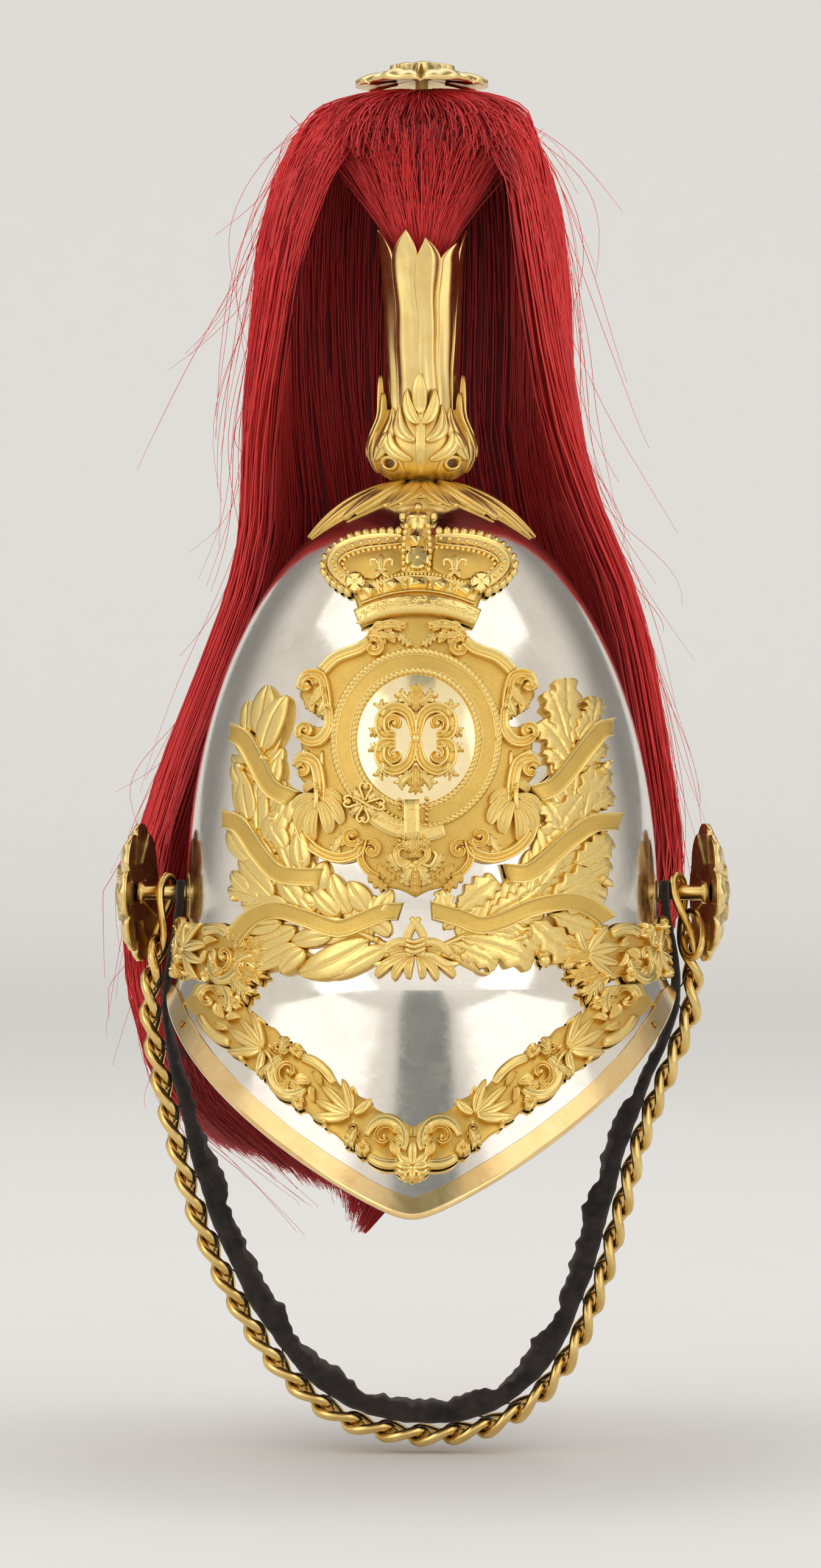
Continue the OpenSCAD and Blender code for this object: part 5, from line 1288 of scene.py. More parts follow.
def garter():
    s = Shape()
    f = 1.75
    belt = lambda d: oval(BELT_RX - d, BELT_RZ - d, (0, BADGE_Z), 144)
    rings = [(-0.1, SINK - 0.4), (0, 0.9), (0.9, 1.0), (2.0, 0.8), (BELT_W - 2.0, 0.8), (BELT_W - 0.9, 1.0),
             (BELT_W, 0.9), (BELT_W + 0.1, SINK - 0.4)]
    p = np.stack([on(belt(d)[:, 0], belt(d)[:, 1], f + h) for d, h in rings])
    s.grid(p, 0.02, round_v=True)
    for d, wide in ((1.1, 2.4), (BELT_W - 1.1, 2.3)):
        rope(s, on, belt(d), wide, 1.9, f + 0.5, 1.9)
    for d in (2.3, BELT_W - 2.3):
        ring = np.vstack([belt(d), belt(d)[:1]])
        ridge(s, on, ring, 0.5, 0.4, f + 0.75, "round", (1, 1), steps=1)
    s.build("garter_belt", FROSTED, "helmet", ["garter_strap"])


def cord_edge(s, path, foot, wide=1.7, pitch=1.75):
    """Open twisted cord made of short slanting beads."""
    run = smooth(path, 6)
    p = resampled(run, max(3, round(length_of(run) / pitch) + 1))
    c = unit(np.gradient(p, axis=0))
    for (x, z), (u, v) in zip(p, c):
        bead(s, on, x, z, wide * 0.40, 1.5, foot, 1.5, math.atan2(v, u) + 1.0, burnish=0.7)


def buckle():
    s = Shape()
    f, low = 3.0, 1.5
    centre = np.array([-18.0, 68.4])
    for a in (40, 130, 220, 310):
        c, d = math.cos(math.radians(a)), math.sin(math.radians(a))
        turn = lambda u, v: (centre[0] + u * c - v * d, centre[1] + u * d + v * c)
        for side in (-1, 1):
            hook = [turn(0.8, side * 0.4), turn(3.0, side * 1.4), turn(5.4, side * 2.4),
                    turn(5.8, side * 4.2), turn(4.2, side * 4.4), turn(3.9, side * 3.1)]
            ridge(s, on, hook, 1.25, 1.8, f, "round", (0.8, 0.7), sink=low)
            bead(s, on, *turn(4.5, side * 3.6), 0.75, 2.1, f)
        leaf(s, on, turn(1.6, 0), turn(7.0, 0), 3.4, 1.8, f, "acanthus", sink=low)
    ridge(s, on, [centre + [-3.6, 2.4], centre, centre + [3.6, -2.4]], 1.4, 2.3, f, "round", (1, 0.7),
          sink=low)
    tail = [(-15.4, 64.6), (-9.6, 60.6), (-3.0, 58.4), (4.0, 57.6), (10.6, 59.0)]
    ridge(s, on, tail, 6.4, 0.8, f - 0.1, "strip", (1, 0.6), sink=low)
    for x, z in ((-12.0, 62.4), (-6.4, 59.4)):
        bead(s, on, x, z, 0.75, 1.0, f + 0.2)
    cord_edge(s, [(-13.6, 68.4), (-7.6, 63.6), (-1.0, 61.2), (5.0, 60.6), (11.6, 61.8)], f)
    ridge(s, on, [(-1.4, 69.6), (-1.2, 55.0)], 5.6, 1.1, f + 0.5, "strip", (1, 1), sink=low)
    bead(s, on, -1.3, 66.4, 0.9, 1.1, f + 0.9)
    cord_edge(s, [(4.0, 70.0), (3.9, 64.0), (3.6, 60.4)], f + 0.5)
    cord_edge(s, [(-5.6, 69.6), (-5.7, 66.4)], f + 0.5)
    for side in (-1, 1):
        at = lambda x, z: (-1.2 + side * x, z)
        cord_edge(s, [at(4.3, 56.4), at(4.6, 53.2)], f)
        ridge(s, on, [at(1.6, 46.4), at(4.9, 48.2), at(5.4, 51.0), at(3.4, 52.8), at(1.2, 51.4)], 2.6, 1.5,
              f - 0.2, "moulding", (0.7, 0.6), sink=low)
        volute(s, on, at(6.0, 52.0), 1.7, 90 + 90 * side, 90 - 230 * side, 1.2, 1.7, f - 0.2)
        leaf(s, on, at(0.6, 47.6), at(3.4, 43.6), 2.6, 1.5, f - 0.3, "spear", sink=low)
    leaf(s, on, (-1.2, 50.6), (-1.2, 56.2), 3.8, 1.7, f, "acanthus", sink=low)
    bead(s, on, -1.2, 45.6, 1.5, 2.2, f - 0.4)
    s.build("garter_buckle_foliate", FROSTED, "helmet", ["garter_buckle"])


def mirror():
    s = Shape()
    rx, rz = BELT_RX - BELT_W + 0.6, BELT_RZ - BELT_W + 0.6
    outline = oval(rx, rz, (0, BADGE_Z), 128)
    plate(s, on, outline, (0, BADGE_Z), 1.75, 0.55, rings=30, dome=0.5, burnish=1.0)
    s.build("badge_mirror_burnished", MIRROR_GILT, "helmet", ["badge_mirror"])


def mirror_ornament():
    """Plain scrolled ornament, the same on both sides."""
    s = Shape()
    f, c = 2.45, np.array([0, BADGE_Z])
    for side in (-1, 1):
        turn = lambda a: a if side > 0 else 180 - a
        at = lambda x, z: (side * x, c[1] + z)
        for z, up in ((5.6, 1), (-6.4, -1)):
            path = [at(0.6, 0.6 * up), at(2.4, z * 0.3 + 6.6 * up), at(7.6, z + 5.4 * up),
                    at(12.2, z + 1.8 * up), at(11.8, z - 4 * up), at(7.4, z - 4.6 * up)]
            ridge(s, on, path, 4.3, 2.7, f, "moulding", (0.5, 0.8), steps=6)
            volute(s, on, at(7.6, z - 0.4 * up), 3.6, turn(-80 * up), turn(240 * up), 2.6, 2.7, f)
            leaf(s, on, at(11.6, z + 2 * up), at(14.0, z + 7.2 * up), 5.0, 2.4, f, "acanthus",
                 0.15 * side * up)
            leaf(s, on, at(11.9, z - 1.6 * up), at(16.2, z - 2.8 * up), 4.2, 2.2, f, "acanthus",
                 -0.1 * side * up)
        leaf(s, on, at(0.4, 12.4), at(6.0, 17.8), 5.2, 2.4, f, "acanthus", -0.12 * side)
        leaf(s, on, at(0.4, -12.8), at(6.0, -18.0), 5.2, 2.4, f, "acanthus", 0.12 * side)
    leaf(s, on, c + [0, 9.4], c + [0, 20.4], 6.0, 2.8, f, "acanthus")
    leaf(s, on, c + [0, -9.8], c + [0, -20.6], 6.0, 2.8, f, "acanthus")
    for x, z, r in ((0, 0, 1.9), (0, 4.4, 1.2), (0, -4.4, 1.2), (0, 8, 1), (0, -8, 1)):
        bead(s, on, x, BADGE_Z + z, r, 2.1, f)
    s.build("badge_ornament_scrolls", GILT, "helmet", ["badge_ornament"])


# Wreath

def leaves(s, table, kind, tall, foot, seed, full):
    """Leaves given as root, tip and width, laid over one another in turn."""
    rng = np.random.default_rng(seed)
    for k, (x0, z0, x1, z1, width) in enumerate(table):
        lift = foot + 0.42 * (k % 3)
        leaf(s, on, (x0, z0), (x1, z1), full * width, tall, lift, kind, rng.uniform(-0.06, 0.06),
             sink=FOOT + SINK)


LAUREL = [
    (-63, 94.9, -63.4, 107.5, 5.2), (-58.2, 94.2, -55.5, 113.1, 7.4), (-56, 88.2, -47.8, 109, 7.5),
    (-52.3, 74.9, -50.4, 86, 4.4), (-64.5, 64.5, -66.7, 82.3, 5.2), (-60.8, 62.3, -64.3, 79.3, 6),
    (-57.8, 58.6, -58.2, 78.2, 6.7), (-54.9, 54.8, -47.8, 67.5, 7.4), (-60.8, 47.4, -69.7, 60, 6),
    (-51.9, 37.8, -62.3, 59.3, 6.7), (-51.9, 34.1, -66, 48.2, 6.7), (-60.8, 35.6, -68.6, 43.3, 4.5),
    (-43.7, 41.5, -50.4, 57, 5.2), (-46, 31.1, -65.2, 30.7, 6.7), (-27.4, 27.4, -37.8, 37.8, 6),
    (-23.7, 28.1, -30.8, 43, 6.7), (-17.1, 28.9, -24.5, 40, 6.7), (-40.8, 31.1, -49.7, 43.7, 6.7),
    (-43.7, 22.2, -62.3, 14.4, 6.3), (-42.3, 15.5, -59.7, 5.9, 6), (-40, 14, -49.7, 5.1, 6),
    (-17.1, 17.7, -43.4, 5.5, 9.6), (-30.4, 20, -46, 16.6, 6), (-60.5, 84, -66.5, 95, 5.4),
    (-55.5, 79, -60.5, 91, 5.6), (-47, 52, -55, 66, 6), (-36, 29, -43, 36, 5.4), (-24, 22, -36, 27, 5.6),
    (-9, 20, -20, 29, 5.6), (-12, 24, -15.5, 35, 5.2), (-49.5, 60, -45.6, 74, 6.2),
    (-57, 70, -51, 82, 5.6), (-40.5, 44, -42.5, 58.5, 6.2), (-35, 36, -33, 47.5, 6),
    (-57, 33, -70.5, 36.5, 5.4), (-49, 24, -66.5, 22.5, 6.2), (-10, 15.5, -31, 3.8, 6.2),
    (-62, 73, -68.6, 84, 5), (-14, 26, -8.5, 37, 5.4), (-57, 46, -66.5, 53, 5.6),
]
OAK = [
    (56.6, 89.8, 55.1, 116.2, 11), (54.4, 91.3, 48.4, 111, 8), (63.3, 98, 66.2, 108.7, 7.4),
    (55.1, 85.3, 45.1, 99.4, 10), (59.6, 82.4, 69.6, 91.3, 7.4), (59.6, 72, 47.7, 55.6, 11),
    (62.5, 66, 72.2, 73.4, 9), (57.3, 46, 71.4, 56.3, 10.4), (48.4, 32.6, 67, 43, 11),
    (32.9, 30.3, 47.7, 40.7, 8), (15.1, 28.9, 29.9, 40.7, 10), (48.4, 27.4, 68.5, 19.2, 9),
    (41, 25.1, 60.3, 9.5, 12.6), (15.8, 19.2, 43.3, 9.5, 11), (58, 92, 66, 103, 8), (57, 78, 48, 90, 8.5),
    (60, 62, 67, 84, 8.5), (54, 52, 60, 68, 9), (44, 38, 52, 52, 8.6), (52, 40, 70, 33, 8.6),
    (26, 27, 40, 34, 8), (10, 22, 22, 32, 7.6), (24, 22, 38, 20, 7), (52, 58, 45.5, 70, 8),
    (59, 40, 71.5, 47, 8.4), (50, 33, 66, 27, 8.4), (12, 17, 30, 8.5, 7.5), (40, 33, 43.5, 47, 8),
    (60.5, 70, 70.5, 82, 8), (12, 25, 9, 37, 7), (33, 24, 47, 14, 8),
]


def cup(s, x, z, a):
    """Acorn pointing along the angle a."""
    c, d = math.cos(math.radians(a)), math.sin(math.radians(a))
    bead(s, on, x + 1.6 * c, z + 1.6 * d, 1.75, 3.1, 1.4, 1.5, math.radians(a), burnish=0.95)
    bead(s, on, x - 0.6 * c, z - 0.6 * d, 2.2, 3.2, 1.3, 0.75, math.radians(a), burnish=0.3)
    bead(s, on, x + 4.3 * c, z + 4.3 * d, 0.4, 1.6, 2.2)


def stem(s, path, w=2.6):
    ridge(s, on, path, w, 2.0, 0.5, "round", (1, 0.5), sink=FOOT + SINK)


def undergrowth(s, path, kind, count, long, wide):
    """Lower leaves on both sides of a stem, seen in the gaps between the upper ones."""
    p = resampled(smooth(path, 6), count + 4)[2:-2]
    c = unit(np.gradient(p, axis=0))
    for k, ((x, z), (u, v)) in enumerate(zip(p, c)):
        for side in (-1, 1):
            a = math.atan2(v, u) + side * math.radians(38 + 6 * (k % 2))
            leaf(s, on, (x, z), (x + long * math.cos(a), z + long * math.sin(a)), wide, 1.5, 0.5, kind,
                 0.06 * side, rows=10, sink=FOOT + SINK)


LAUREL_STEM = [(-4, 13.5), (-16, 19), (-33, 29), (-46, 44), (-55, 62), (-59, 82), (-57.5, 98)]
OAK_STEM = [(4, 13.5), (16, 19), (33, 28), (46, 42), (55, 60), (58.5, 78), (57, 94)]


def laurel():
    s = Shape()
    stem(s, LAUREL_STEM)
    undergrowth(s, LAUREL_STEM, "laurel", 13, 15, 6.4)
    leaves(s, LAUREL, "laurel", 2.3, 0.9, 3, 1.26)
    for x, z in ((-64.3, 82.1), (-55.4, 85.1), (-66.3, 33.1), (-37.1, 31.1), (-13.9, 18.3), (-52, 62.6),
                 (-40.6, 47)):
        bead(s, on, x, z, 1.45, 3.4, 1.6)
    stalk(s, -1)
    s.build("laurel_branch_leaves", GILT, "helmet", ["laurel_branch"])


def oak():
    s = Shape()
    stem(s, OAK_STEM)
    undergrowth(s, OAK_STEM, "laurel", 13, 14, 7)
    leaves(s, OAK, "oak", 2.1, 0.9, 4, 1.12)
    for x, z, a in ((67.7, 80.9, 50), (46.2, 11.8, -80), (67.5, 40, -35), (39.6, 19.9, -150),
                    (16.6, 13.3, -60)):
        cup(s, x, z, a)
    stalk(s, 1)
    s.build("oak_branch_leaves", GILT, "helmet", ["oak_branch"])


RIBBON_W = 6.5
LEFT_RIBBONS = [
    [(-68.6, 95.2), (-62.3, 91.6), (-57.8, 83.8), (-51.9, 74.1), (-44.5, 70.1)],
    [(-70.8, 62.6), (-63.7, 60), (-57, 50.4), (-49.7, 43), (-42.3, 41.5), (-34.1, 41.5)],
    [(-66.7, 17), (-58.6, 25.9), (-49.7, 28.9), (-38.6, 25.9), (-27.4, 22.2), (-18.5, 25.2), (-11.7, 28.5),
     (-5.5, 29)]]
RIGHT_RIBBONS = [
    [(42.5, 71.9), (48.4, 74.2), (53.6, 79.4), (59.6, 87.5), (65.5, 95), (70.7, 96.8)],
    [(32.5, 43), (39.6, 43), (47, 48.2), (55.1, 55.6), (63.3, 60.8), (73.6, 61.5)],
    [(5.8, 29.4), (15.1, 26.6), (22.5, 23.6), (29.9, 25.1), (39.6, 29.6), (48.4, 31.8), (56.6, 31.8),
     (63.3, 28.8), (68.5, 24.4)]]


def ribbon(s, path, seed):
    """Bare ribbon with raised edges, its ends cut aslant and turned down a little."""
    p = smooth(path, 7)
    n = len(p)
    t = np.linspace(0, 1, n)[:, None]
    c = unit(np.gradient(p, axis=0))
    v = np.array([-1, -1, -0.97, -0.88, -0.82, -0.5, 0, 0.5, 0.82, 0.88, 0.97, 1, 1])
    rim = np.where(np.abs(v) > 0.84, 1.0, 0.25)
    slant = 0.18 * (2 * t - 1) ** 5
    x = p[:, 0, None] - c[:, 1, None] * v * RIBBON_W / 2 + c[:, 0, None] * v * slant * RIBBON_W
    z = p[:, 1, None] + c[:, 0, None] * v * RIBBON_W / 2 + c[:, 1, None] * v * slant * RIBBON_W
    roll = 0.35 * np.sin(TAU * t * 1.5 + seed) - 0.7 * (2 * t - 1) ** 8
    low = 1.2
    h = 4.0 + roll + rim
    h[:, [0, -1]] = low
    x, z, h = turned_down(x, z, h, low)
    s.grid(on(x, z, h), np.clip(rim * 0.9 - 0.1, 0.15, 0.8))


def ribbon_piece(name, node, paths):
    s = Shape()
    for k, path in enumerate(paths):
        ribbon(s, path, k)
    s.build(name, GILT, "helmet", [node])


def tie():
    """Ribbon knot over the crossed stems, with leafy ends below."""
    s = Shape()
    for side in (-1, 1):
        q = lambda points: flipped(points, side)
        f = 2.6 if side > 0 else 2.2
        ridge(s, on, q([(-3.4, 12.8), (0.6, 14.6), (3.0, 18.4), (1.4, 22.6), (-1.6, 26.6)]), 3.0, 1.8, f,
              "reeded", (0.8, 0.5), sink=1.2)
        ridge(s, on, q([(1.0, 16.4), (5.4, 17.6), (9.4, 16.0), (12.6, 12.4)]), 3.2, 1.6, f - 0.4, "reeded",
              (0.9, 0.5), sink=1.2)
        ridge(s, on, q([(1.6, 12.8), (6.4, 12.4), (10.4, 9.4), (16.0, 9.6)]), 2.8, 1.5, f - 0.8, "round",
              (0.9, 0.3), sink=1.0)
        for x, z, tx, tz, wide in ((2.0, 12.6, 14.6, 4.8, 3.8), (1.2, 12.2, 8.2, 3.8, 3.6),
                                   (0.4, 12.4, 2.6, 4.2, 3.2), (4.0, 14.6, 17.6, 12.6, 3.4)):
            leaf(s, on, (side * x, z), (side * tx, tz), wide, 1.8, 1.6, "petal", 0.10 * side, rows=16,
                 sink=FOOT)
    for k in range(3):
        ridge(s, on, [(-3.6, 14.6 + 1.9 * k), (0, 13.6 + 1.9 * k), (3.6, 15.2 + 1.9 * k)], 2.0, 1.8, 3.4,
              "round", (0.6, 0.6), sink=2.0)
    s.build("wreath_tie_knot", GILT, "helmet", ["wreath_tie"])


def stalk(s, side):
    """Cut end of a stem, with knobs of bark and a slanting hollow at its end."""
    q = lambda points: flipped(points, side)
    stem(s, q([(4, 14.6), (12, 13.4), (19, 10.4), (23.6, 7.4)]), 4.4)
    for k in range(6):
        u = k / 5
        bead(s, on, side * (7 + 12 * u), 14.6 - 4.2 * u ** 1.4 + 0.9 * (-1) ** k, 0.8, 2.2, 0.8)
    ridge(s, on, q([(20.2, 10.6), (24.8, 9.2), (26.8, 5.8), (22.6, 6.6), (20.2, 10.6)]), 0.9, 2.4, 0.6,
          "round", (1, 1))


base_band()
peak_band(-1, "peak_band_left_scrolls", "peak_band_left")
peak_band(1, "peak_band_right_scrolls", "peak_band_right")
palmette()
crown_badge()
cartouche()
garter()
buckle()
mirror()
mirror_ornament()
laurel()
oak()
ribbon_piece("ribbons_left", "honour_ribbons_left", LEFT_RIBBONS)
ribbon_piece("ribbons_right", "honour_ribbons_right", RIGHT_RIBBONS)
tie()


# Leaf plate, bulb and plume holder

SKIRT_R = 13.0


def on_skirt(x, y, h):
    """Points above the steep skirt that stands off the dome, from the bulb's foot to the leaves' tips."""
    r, b = np.hypot(x, y), np.arctan2(y, x)
    reach = 45 - 11.5 * np.maximum(0, -np.sin(b)) ** 6
    dome = TEMPLE_H + DOME_H * np.sqrt(1 - (SKIRT_R / SKULL_A) ** 2)
    share = np.clip((reach - r) / (reach - SKIRT_R), 0, 1)
    thin = 1 - 0.5 * np.clip((r - 18) / (reach - 18), 0, 1) ** 2
    return on_dome(x, y, h * thin + (189.6 - dome) * share ** 0.6)


# Lobes of one leaf of the plate: turn from its middle, first radius, share of its reach, width
PLATE_LOBES = [(-0.24, 15, 0.70, 4.2), (0.24, 15, 0.70, 4.2), (-0.17, 13, 0.84, 5.0),
               (0.17, 13, 0.86, 5.0), (-0.09, 12, 0.95, 5.4), (0.10, 12, 0.95, 5.4)]


def leaf_plate():
    """Drooping leaves that spread over the top of the dome from under the bulb."""
    s = Shape((0, 0, 150))
    a = np.arange(144) / 144 * TAU
    front = np.maximum(0, -np.sin(a))
    edge = 39 + 2.5 * np.cos(4 * a) - 10 * front ** 6
    scallop = 1 - 0.09 * np.abs(np.cos(8 * a)) ** 0.8
    wide = np.array([1, 1, 0.95, 0.85, 0.72, 0.6, 0.48])[:, None] * edge
    wide = wide * (1 + (scallop - 1) * np.ones((7, 1)))
    tall = np.array([-0.4, 0.3, 0.4, 0.4, 0.4, 0.4, 0.4])[:, None]
    p = on_skirt(wide * np.cos(a), wide * np.sin(a), 0.5 + tall)
    s.grid(p, 0.1, round_v=True, outward=False)
    top = np.stack([9 * np.cos(a), 9 * np.sin(a), 0 * a + 193.4], 1)
    s.grid(np.stack([p[-1], top]), 0.2, round_v=True, outward=False)
    for k in range(15):
        b = TAU * (k + 0.5) / 15 - math.pi / 2
        reach = 45.8 - 11.4 * max(0.0, -math.sin(b)) ** 6 - 2.0 * (k % 2)
        swirl = (0.08 + 0.08 * abs(math.sin(2 * b))) * (1 if math.cos(b) > 0 else -1)
        q = lambda rr, turn=0.0: np.array([rr * math.cos(b + turn), rr * math.sin(b + turn)])
        bend = -0.12 if math.cos(b) > 0 else 0.12
        low = 0.7 + 0.5 * (k % 2)
        for turn, first, last, wide in PLATE_LOBES:
            leaf(s, on_skirt, q(first, 0.5 * turn), q(reach * last, turn + swirl * last), wide, 1.7, low,
                 "petal", bend, rows=22, sink=low - 1.2)
        leaf(s, on_skirt, q(10.5), q(reach, swirl), 6.0, 2.1, low + 0.7, "laurel", bend, rows=24,
             sink=low - 0.6)
    s.build("crown_leaf_plate", FROSTED, "helmet", ["crown_base_plate"])


BULB_NECK_Z = 221
EYE_X, EYE_Z = 13.4, 199.9       # middle of an eye of the bulb's leaf, beside its midrib
BULB_PROFILE = [(BULB_Z, 11.0), (195.5, 14.6), (198, 17.4), (202, 19.4), (206, 19.9), (210, 19.2),
                (214, 17.6), (217.5, 16.0), (BULB_NECK_Z, 15.3), (236, 15.6)]
BULB_TURN = 19        # millimetres round the bulb for each radian


def on_bulb(x, z, h):
    """Points of the bulb, x round it from the front and z the height."""
    profile = np.array(BULB_PROFILE, float)
    r = np.interp(z, profile[:, 0], profile[:, 1])
    a = np.asarray(x, float) / BULB_TURN
    return about(r + h, a, z)


# Lobes on one side of the bulb's leaf: root, tip, width, bend, and how far they stand out
BULB_LOBES = [(1.0, 215, 6.4, 228.8, 5.0, -0.12, 1.3), (2.2, 208, 10.2, 222.8, 5.2, -0.16, 1.1),
              (3.4, 200.5, 12.6, 216.4, 5.4, -0.22, 0.8), (20.5, 201, 15.2, 221.8, 7.6, 0.18, 0.3),
              (16.2, 205.6, 13.6, 213.4, 4.2, 0.12, 0.9), (26, 197, 24.5, 217, 7.0, 0.06, 0.0)]


def bulb_half(s, turn):
    """Leaf of lobes, a midrib and two eyes on one half of the bulb, round the bearing turn in degrees."""
    def place(x, z, h):
        z = np.asarray(z, float)
        out = 0.8 * np.clip((z - BULB_NECK_Z) / 14, 0, 1) ** 2
        return on_bulb(np.asarray(x, float) + math.radians(turn) * BULB_TURN, z, h + out)
    for side in (-1, 1):
        at = lambda x, z: (side * x, z)
        for x, z, tx, tz, wide, bend, lift in BULB_LOBES:
            leaf(s, place, at(x, z), at(tx, tz), wide, 1.9, lift, "laurel", bend * side, rows=22, sink=-0.8)
        eye = [at(EYE_X + 3.5 * math.cos(t) + 0.5 * math.sin(t),
                  EYE_Z + 2.3 * math.sin(t) - 0.5 * math.cos(t))
               for t in np.linspace(0, TAU, 33)]
        ridge(s, place, eye, 1.6, 1.5, 0.0, "round", (1, 1), steps=1, sink=-1.0)
        ridge(s, place, [at(7.6, 195.4), at(8.4, 200.6), at(11.6, 206.0), at(16.4, 206.6)], 1.5, 1.2, 0.2,
              "round", (0.7, 0.4), sink=-0.8)
    ridge(s, place, [(0, 194.4), (0, 206), (0, 226)], 3.6, 1.7, 0.7, "reeded", (1, 0.45), steps=6,
          sink=-0.6)
    leaf(s, place, (0, 219), (-0.6, 234.8), 6.2, 1.7, 1.6, "laurel", 0.02, rows=24, sink=-0.8)


def bulb_openings():
    """Leather-coloured sheet behind the four eyes: painted shade for the dark inside of the bulb seen
    through them.
    """
    s = Shape((0, 0, 208))
    for turn in (0, 180):
        for side in (-1, 1):
            t = angles(24)
            x = side * EYE_X + math.radians(turn) * BULB_TURN
            ring = on_bulb(x + 2.9 * np.cos(t), EYE_Z + 1.9 * np.sin(t), -0.5)
            middle = on_bulb(x + 0.3 * np.cos(t), EYE_Z + 0.2 * np.sin(t), -0.6)
            low = on_bulb(x + 3.1 * np.cos(t), EYE_Z + 2.0 * np.sin(t), -2.6)
            s.grid(np.stack([low, ring, middle]), 0.0, round_v=True)
    # painted shade: a dark leather-coloured sheet stands in for the shade inside the bulb
    s.build("acanthus_bulb_openings", LEATHER, "helmet", ())


def bulb():
    s = Shape((0, 0, 208))
    a = np.arange(160) / 160 * TAU
    z = np.linspace(BULB_Z, BULB_NECK_Z, 40)
    profile = smooth([(p[1], p[0]) for p in BULB_PROFILE[:9]], 6)
    r = np.interp(z, profile[:, 1], profile[:, 0])[:, None]
    eyes = 0 * r * a
    for side in (-1, 1):
        for turn in (0, math.pi):
            x = np.angle(np.exp(1j * (a[None, :] - turn))) * BULB_TURN
            eyes += np.exp(-(((x - side * EYE_X) / 3.4) ** 2 + ((z[:, None] - 200.6) / 2.3) ** 2) ** 3)
    rr = r - 3.4 * np.clip(eyes, 0, 1)
    p = about(rr, a, z[:, None])
    # the eyes' dents get a low burnish value, so they come out matt and darkened, partly as painted shade
    s.grid(p, np.clip(0.45 - 1.2 * eyes, 0, 1), round_v=True)
    ring = np.stack([p[-1], about(13, a, BULB_NECK_Z + 0.2)])
    s.grid(ring, 0.3, round_v=True, outward=(0, 0, 200))
    for turn in (0, 180):
        bulb_half(s, turn)
    for turn in (90, 270):
        for offset, z0, z1, wide, curl in ((0, 203, 235, 8.4, 0.6), (-15, 204, 228, 7.4, 0.3),
                                           (15, 204, 228, 7.4, 0.3)):
            def place(x, z, h, b=turn + offset, z0=z0, z1=z1, curl=curl):
                t = np.clip((np.asarray(z, float) - z0) / (z1 - z0), 0, 1)
                return on_bulb(np.asarray(x, float) + math.radians(b) * BULB_TURN, z, h + curl * t ** 2)
            leaf(s, place, (0, z0), (0, z1), wide, 1.9, 0.4, "petal", rows=24, sink=-0.7)
    s.build("acanthus_bulb_leaves", FROSTED, "helmet", ["acanthus_bulb"])


HOLDER_TURNS = (-90, -46, -6, 26, 68, 112, 156, 218)   # seams of its leaves, in degrees from the front


def holder():
    """Sheaf of eight long leaves with soft folds and flame-shaped tips."""
    s = Shape((0, 0, 245))
    z0, notch = HOLDER_Z + 4, 277.5

    def sway(z, k):
        slow = math.radians(2.0) * np.sin(z / 8.5 + 2.1 * (k % 8))
        return slow + math.radians(1.2) * np.sin(z / 4.1 + k % 8)

    turns = HOLDER_TURNS + (HOLDER_TURNS[0] + 360,)
    for k in range(8):
        middle = math.radians(turns[k] + 0.5 * (turns[k + 1] - turns[k]))
        wide = math.radians(turns[k + 1] - turns[k]) / 2
        top = (291, 290, 287, 285.5)[k % 4]
        z = np.concatenate([np.linspace(z0, notch, 60)[:-1], np.linspace(notch, top, 22)])[:, None]
        tip = np.clip((z - notch) / (top - notch), 0, 1)
        r = HOLDER_R0 + 0.5 + (HOLDER_R1 - HOLDER_R0) * np.clip((z - z0) / (284 - z0), 0, 1.1) ** 1.5
        v = np.linspace(-1, 1, 25)[None, :]
        left = -wide + sway(z, k)
        right = wide + math.radians(2) + sway(z, k + 1)
        centre = (left + right) / 2 + math.radians(6 * (1 if k % 2 else -1)) * tip ** 2
        half = (right - left) / 2 * (1 - tip ** 1.5) * (1 + 0.10 * np.sin(math.pi * tip)) + 0.004
        a = middle + centre + v * half
        bow = 0.8 * (1 - v ** 2) + 0.22 * np.cos(1.7 * math.pi * v + 0.05 * z + 1.9 * k) * np.sqrt(1 - tip)
        rim = 0.30 * np.exp(-((np.abs(v) - 0.94) / 0.05) ** 2)
        rr = r + bow * (1 - 0.3 * tip) + rim + 0.45 * (1 - v) / 2 - 0.3 + 0.8 * tip ** 2
        shine = np.clip(0.45 + 0.5 * (bow + rim), 0, 1)
        p, inner = about(rr, a, z), about(rr - 0.8, a, z)
        s.grid(np.concatenate([p, inner[:, ::-1]], axis=1), np.concatenate([shine, shine[:, ::-1]], 1),
               round_v=True, outward=False)
    a = angles(64)
    z = np.array([HOLDER_Z, HOLDER_Z, 262, 262])[:, None]
    r = np.array([HOLDER_R0 - 1.3, HOLDER_R0, 12.9, 12.2])[:, None]
    s.grid(about(r, a, z), 0.2, round_v=True, outward=False)
    s.build("plume_holder_leaves", SATIN_GILT, "helmet", ["plume_holder"])


leaf_plate()
bulb()
bulb_openings()
holder()


# Rosettes: dished sheet with fat petals round a raised flower

